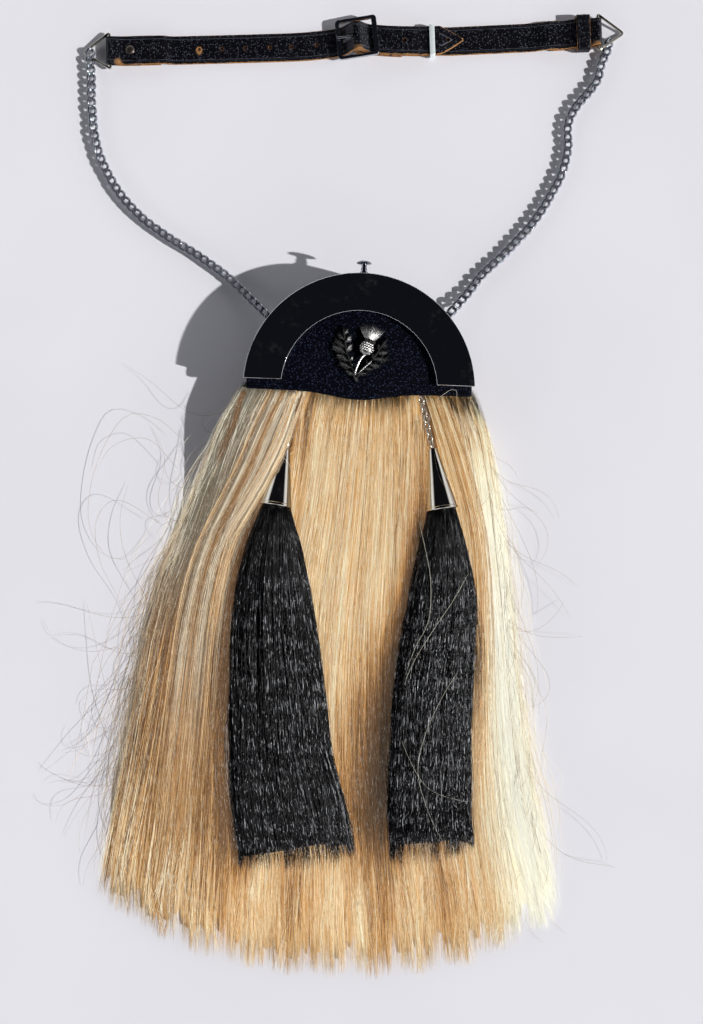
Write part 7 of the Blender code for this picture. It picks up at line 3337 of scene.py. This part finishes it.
    def combed(self, strands: Strands, layer: Layer, rng: np.random.Generator) -> None:
        """One layer of wavy strands round the bundle.

        Args:
            strands: where the new strands are kept.
            layer: the counts and measures of the layer.
            rng: the source of random numbers.
        """
        locks, per, n = layer.locks, layer.per_lock, layer.points
        one, each = (locks, 1, 1), (locks, per, 1)
        middle, wide, half = self.sections(self.table_points)
        s_all = np.linspace(0, 1, self.table_points)
        share = uneven_steps(n, each, rng)
        start, stop, angle = self.reach(layer, rng)
        s = start + (stop - start) * share
        angle = angle + rng.normal(0, layer.lean, one) * share
        spread = rng.uniform(*layer.thick, one) * (0.7 + 0.6 * share)
        angle = angle + spread * rng.normal(0, 0.8, each) + rng.normal(0, 0.03, each) * share
        beat = 2 * math.pi * (stop - start) * TASSEL_LENGTH / rng.uniform(*self.beats, each)
        kink = np.sin(beat * share + rng.uniform(0, 6.28, each))
        calm = ease(s, 0.05, 0.30)
        high = 1.0 + layer.rise + rng.exponential(0.03, one) * np.sin(math.pi * share)
        high = high + rng.normal(0, 0.025, each) * calm
        at = [np.interp(s, s_all, middle[:, i]) for i in range(3)]
        w, h = np.interp(s, s_all, wide), np.interp(s, s_all, half)
        w = w * (1 - 0.06 * ease(s, 0.75, 1.0))
        x = at[0] + w * high * np.cos(angle) + rng.normal(0, 0.40, each) * kink * calm
        y = at[1] - np.maximum(s - 1.0, 0) * TASSEL_LENGTH
        z = at[2] + h * np.sin(angle) * high
        z = z + rng.normal(0, 0.30, each) * np.cos(beat * share * 0.8) * calm
        z = z - ease(s, 0.93, 1.02) * (z - at[2] + 1.0) * 0.4
        shade = rng.normal(self.look.pale, layer.tones, one) + rng.normal(0, 0.20, each)
        silver = np.where(rng.random(each) < self.silver_share, 0.8, 0.0)
        # painted glints fade towards the cone, and are dimmer over the whole left tassel
        depth = np.maximum(0.95 * ease(s, 0.40, 0.08), self.look.dull)
        comb = stacked(rng.uniform(-300, 300, each), s * TASSEL_LENGTH)
        radius = taper(locks * per, n, rng, 0.11, 0.19, BLUNT_BLACK_TIP[layer.whole])
        paths = stacked(x, y, np.maximum(z, self.lowest))
        strands.add(paths, radius, comb, stacked(shade, silver, depth), 1.1)

    def chain(self) -> bpy.types.Object:
        """The fine chain of oval links from under the lip to the cone.

        Returns:
            The chain.
        """
        _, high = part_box(f"tassel_chain_{self.side}")
        _, cone_top = self.axis()
        x, y = CHAIN_TOPS[self.side]
        start = np.array([x, y, high.z / MM - 1.9])
        end = cone_top + unit(start - cone_top) * 0.8
        link = self.link
        inset = unit(end - start) * link.half_length
        line = np.linspace(start + inset, end - inset, 40)
        name, rolls = f"{self.side}_fine_chain", np.array(self.link_rolls)
        chain = link.chain(name, line, self.link_pitch, rolls, FINE_STEEL)
        return show(chain, f"tassel_chain_{self.side}", slot="bright_steel")


@dataclass
class LooseHair:
    """Single hairs that stray over the tassels, the face and the sheet."""

    left: int = 90
    right: int = 46
    dark: int = 60
    stray_points: int = 20
    reach: tuple[float, float] = (-213.0, 187.0)  # no hair leaves the sheet's middle part
    lowest: float = -424.0
    easing: float = 12.0
    over: tuple[Points, ...] = (
        ((41.5, -80.9, 24.0), (46.8, -100.5, 27.0), (51.7, -123.4, 27.5), (51.4, -149.8, 26.6),
         (42.9, -169.9, 23.0), (36.0, -196.5, 18.0), (34.4, -222.9, 15.4), (34.1, -249.3, 15.0)),
        ((77.8, -115.8, 24.0), (66.7, -136.0, 28.5), (54.3, -156.3, 27.0), (42.0, -179.8, 22.5),
         (35.0, -203.1, 17.0), (33.6, -219.7, 16.6), (44.5, -245.6, 21.0), (57.0, -261.6, 21.4),
         (77.0, -268.7, 18.5), (86.3, -270.4, 14.0)),
        ((72.4, -181.9, 24.0), (61.3, -202.1, 24.6), (52.3, -225.5, 22.8), (48.6, -248.7, 21.0),
         (53.3, -268.3, 20.4), (61.9, -287.8, 18.6), (68.2, -297.4, 17.5)),
        ((50.8, -5.2, 22.0), (53.3, -3.2, 26.0), (57.8, 0.3, 26.6), (61.0, 2.0, 26.8),
         (63.6, 1.5, 26.8), (64.4, -1.4, 26.2), (63.8, -4.1, 22.5)),
        ((51.0, -37.0, 28.0), (53.0, -45.0, 32.6), (57.0, -53.0, 34.0), (62.0, -60.0, 31.5),
         (67.0, -72.0, 24.0)),
        ((-54.0, -45.0, 29.0), (-49.0, -46.0, 29.5), (-44.5, -50.0, 26.0), (-40.0, -58.0, 20.0)),
        ((-117.4, -36.4, 6.0), (-133.5, -23.4, 8.0), (-153.9, -20.8, 8.0), (-168.1, -38.3, 6.0),
         (-177.9, -65.7, 4.0), (-179.5, -92.9, 3.0), (-170.6, -112.8, 2.0), (-158.2, -119.1, 1.0),
         (-147.0, -112.0, 1.0), (-133.0, -96.0, 3.0)),
        ((-118.7, -56.7, 8.0), (-139.7, -37.2, 9.0), (-163.2, -41.5, 6.0), (-176.1, -58.9, 2.0)),
        ((-126.9, -95.0, 8.0), (-158.4, -78.5, 9.0), (-172.8, -92.6, 8.0), (-170.4, -119.6, 5.0),
         (-157.2, -146.1, 1.5), (-148.0, -170.0, 1.0)),
        ((-133.6, -150.3, 6.0), (-151.5, -118.9, 7.0), (-157.9, -92.0, 4.0), (-153.5, -64.8, 1.0)),
        ((-143.0, -267.4, 5.0), (-160.0, -213.9, 7.0), (-171.7, -173.8, 4.0),
         (-179.5, -147.0, 1.0)),
    )

    def build(self) -> list[bpy.types.Object]:
        """Makes the stray hairs, pale over the hair and dark on the sheet, and the dark ones beside
        the right tassel.

        Returns:
            The pieces.
        """
        rng = np.random.default_rng(SEED + 9)
        strands = Strands()
        for points in self.over:
            path = along_curve(curve_through(points, 2.0), 30)
            # the hairs on the sheet at the left are dark: partly their own colour, partly painted
            # shade for the shadow lines they cast there
            tone, silver = (0.95, 0.6) if points[0][0] > -100.0 else (0.12, 0.1)
            self.keep(strands, path, rng, 0.10, tone, silver)
        form = HairForm()
        for side, count in ((Side.LEFT, self.left), (Side.RIGHT, self.right)):
            for _ in range(count):
                self.stray(strands, form, side, rng)
        return [strands.build("stray_hairs", BLOND), self.dark_wisps(rng)]

    def dark_wisps(self, rng: np.random.Generator) -> bpy.types.Object:
        """Loose black hairs that bulge out beside the right tassel.

        Args:
            rng: the source of random numbers.

        Returns:
            The hairs, as one piece.
        """
        strands = Strands()
        inner = [(63.0, -84.0, 27.0), (69.0, -103.0, 26.0), (75.0, -135.0, 22.0),
                 (79.0, -170.0, 19.0), (78.5, -205.0, 17.0), (80.0, -240.0, 15.0),
                 (83.0, -280.0, 13.0), (86.0, -306.0, 10.0)]
        outer = [(66.0, -83.0, 26.0), (75.4, -101.0, 23.0), (85.5, -124.0, 19.0),
                 (95.0, -152.0, 16.5), (98.0, -180.0, 15.0), (96.5, -212.0, 14.0),
                 (92.0, -250.0, 13.0), (90.0, -296.0, 10.0)]
        a, b = (along_curve(curve_through(line, 2.0), 200) for line in (inner, outer))
        for _ in range(self.dark):
            start, stop = rng.uniform(0.0, 0.35), rng.uniform(0.5, 1.0)
            at = np.linspace(start, stop, 20)
            mix = rng.beta(0.6, 2.4) + 0.07 * np.sin(9 * at + rng.uniform(0, 6.3))
            line = a + (b - a) * np.interp(np.linspace(0, 1, 200), at, mix)[:, None]
            path = np.stack([np.interp(at, np.linspace(0, 1, 200), c) for c in line.T], axis=1)
            path[:, 2] += rng.exponential(0.8)
            self.keep(strands, path, rng, 0.085, float(rng.uniform(0.1, 0.7)), 0.0)
        return strands.build("dark_stray_hairs", BLACK)

    def stray(
        self, strands: Strands, form: HairForm, side: Side, rng: np.random.Generator
    ) -> None:
        """One hair that leaves the side of the skirt in a wide bow.

        Args:
            strands: where the new strands are kept.
            form: the form of the skirt.
            side: the side that it leaves.
            rng: the source of random numbers.
        """
        n = self.stray_points
        edge = np.array(side.sign * rng.uniform(0.93, 1.0))
        x, y = (float(v) for v in form.spot(edge, np.array(rng.beta(1.3, 1.2) * 0.9)))
        z0 = float(form.over(edge, np.array(x), np.array(y))) + 0.5
        length = rng.uniform(30, 120)
        curl = rng.normal(0, 1.6) + side.sign * rng.uniform(0.2, 1.6)
        turn = rng.normal(0, 1.8)
        heading = -math.pi / 2 + side.sign * rng.uniform(0.1, 0.9)
        rise = rng.uniform(0.0, 6.0)
        path = np.zeros((n, 3))
        path[0] = (x, y, z0)
        step = length / n
        for i in range(1, n):
            share = i / n
            heading -= (curl + turn * math.sin(2 * math.pi * share)) / n
            path[i, 0] = path[i - 1, 0] + step * math.cos(heading)
            path[i, 1] = path[i - 1, 1] + step * math.sin(heading)
            path[i, 2] = z0 * (1 - share) ** 2 + rise * math.sin(math.pi * share) + 0.5
        for limit, inward in zip(self.reach, (1.0, -1.0)):
            room = inward * (path[:, 0] - limit)  # eased where it nears the limit
            eased = limit + inward * self.easing * np.exp(room / self.easing - 1)
            path[:, 0] = np.where(room < self.easing, eased, path[:, 0])
        path[:, 1] = np.maximum(path[:, 1], self.lowest)
        # dark on the sheet: partly the hair's own colour, partly painted shade for its shadow
        self.keep(strands, path, rng, 0.09, 0.12, 0.1)

    def keep(
        self, strands: Strands, path: np.ndarray, rng: np.random.Generator, wide: float,
        tone: float, silver: float = 0.6,
    ) -> None:
        """Adds one hair.

        Args:
            strands: where the new strands are kept.
            path: the points of the hair.
            rng: the source of random numbers.
            wide: its radius.
            tone: how pale it is.
            silver: how silver it is.
        """
        n = len(path)
        radius = np.full((1, n), wide) * np.clip(np.linspace(1.4, 0.5, n), 0.5, 1.0)
        comb = stacked(rng.uniform(-900, 900), np.linspace(0, 200, n))
        strands.add(path[None], radius, comb, stacked(tone, silver, np.zeros(n)))


# ---------------------------------------------------------------- stage


@dataclass
class Studio:
    """The sheet, the light and the camera."""

    eye: tuple[float, float, float] = (-1.7, -80.6, 700.0)
    roll: float = 2.2
    lens: float = 36.19
    sun_from: tuple[float, float, float] = (0.855, -0.187, 0.484)
    sun_power: float = 4.9
    sun_angle: float = 1.1
    ring_light: float = 1.55

    def build(self) -> None:
        """Sets the stage."""
        bpy.ops.object.select_all(action="DESELECT")
        floor = primitive("plane", size=3.0, location=(0, 0, -0.0002))
        floor.name = "sheet"
        floor.data.transform(floor.matrix_world)
        floor.matrix_world = Matrix.Identity(4)
        floor.data.materials.append(SHEET.material())
        self.light()
        self.sky()
        self.look_down()
        bpy.context.scene.view_settings.view_transform = "Standard"

    def look_down(self) -> None:
        """The camera, above the object as in the photograph."""
        camera = bpy.data.objects.new("camera", bpy.data.cameras.new("camera"))
        bpy.context.scene.collection.objects.link(camera)
        camera.location = Vector(self.eye) * MM
        camera.rotation_euler = (0.0, 0.0, math.radians(self.roll))
        camera.data.sensor_fit = "AUTO"
        camera.data.sensor_width = 36.0
        camera.data.lens = self.lens
        camera.data.clip_start = 0.01
        bpy.context.scene.camera = camera

    def sun(self, name: str, receivers: bpy.types.Collection) -> bpy.types.Object:
        """One of the two equal suns, for the given pieces.

        Args:
            name: the sun's name.
            receivers: the pieces that it lights.

        Returns:
            The sun.
        """
        lamp = bpy.data.lights.new(name, "SUN")
        lamp.energy = self.sun_power
        lamp.angle = math.radians(self.sun_angle)
        holder = bpy.data.objects.new(name, lamp)
        bpy.context.scene.collection.objects.link(holder)
        holder.rotation_euler = Vector(self.sun_from).to_track_quat("Z", "Y").to_euler()
        holder.light_linking.receiver_collection = receivers
        return holder

    def light(self) -> None:
        """A low key light from the right. The tassels cast no shadow on the blond hair: the shade
        beside them is painted into the hair's colour.
        """
        blond = bpy.data.collections.new("blond_hair")
        black = bpy.data.collections.new("black_hair")
        others = bpy.data.collections.new("all_but_blond_hair")
        for piece in bpy.data.objects:
            if piece.name.startswith("blond"):
                blond.objects.link(piece)
                others.objects.link(piece)
            elif "_black_" in piece.name:
                black.objects.link(piece)
        self.sun("key", others)
        self.sun("hair_key", blond).light_linking.blocker_collection = black
        for item in (*others.collection_objects, *black.collection_objects):
            item.light_linking.link_state = "EXCLUDE"

    def sky(self) -> None:
        """A soft surround: bright low down, and dark above so that polished metal reads black."""
        world = bpy.data.worlds.new("surround")
        bpy.context.scene.world = world
        world.use_nodes = True
        graph = Graph(world.node_tree)
        way = graph.signal(graph.node("ShaderNodeTexCoord"), "Generated")
        low_down = graph.apart("ShaderNodeSeparateXYZ", way)[2].ramp(0.56, 0.30)
        colour = graph.mix(low_down, (0.006, 0.0065, 0.009), (0.93, 0.95, 1.0))
        shade = graph.node(
            "ShaderNodeBackground", inputs={"Color": colour, "Strength": self.ring_light}
        )
        graph.out(graph.signal(shade))


def main() -> None:
    """Builds every piece in order and reports it."""
    logging.basicConfig(level=logging.INFO, format="%(name)s: %(message)s")
    builders = (
        Cantle(), ThistleBadge(), Pouch(), Belt(), BeltChains(), HairSkirt(),
        Tassel(Side.LEFT), Tassel(Side.RIGHT), LooseHair(),
    )
    total = 0
    for builder in builders:
        for piece in builder.build():
            mesh = piece.data
            mesh.calc_loop_triangles()
            total += len(mesh.loop_triangles)
            LOG.info("%s: %d triangles", piece.name, len(mesh.loop_triangles))
    LOG.info("all: %d triangles", total)
    Studio().build()


if __name__ == "__main__":
    main()
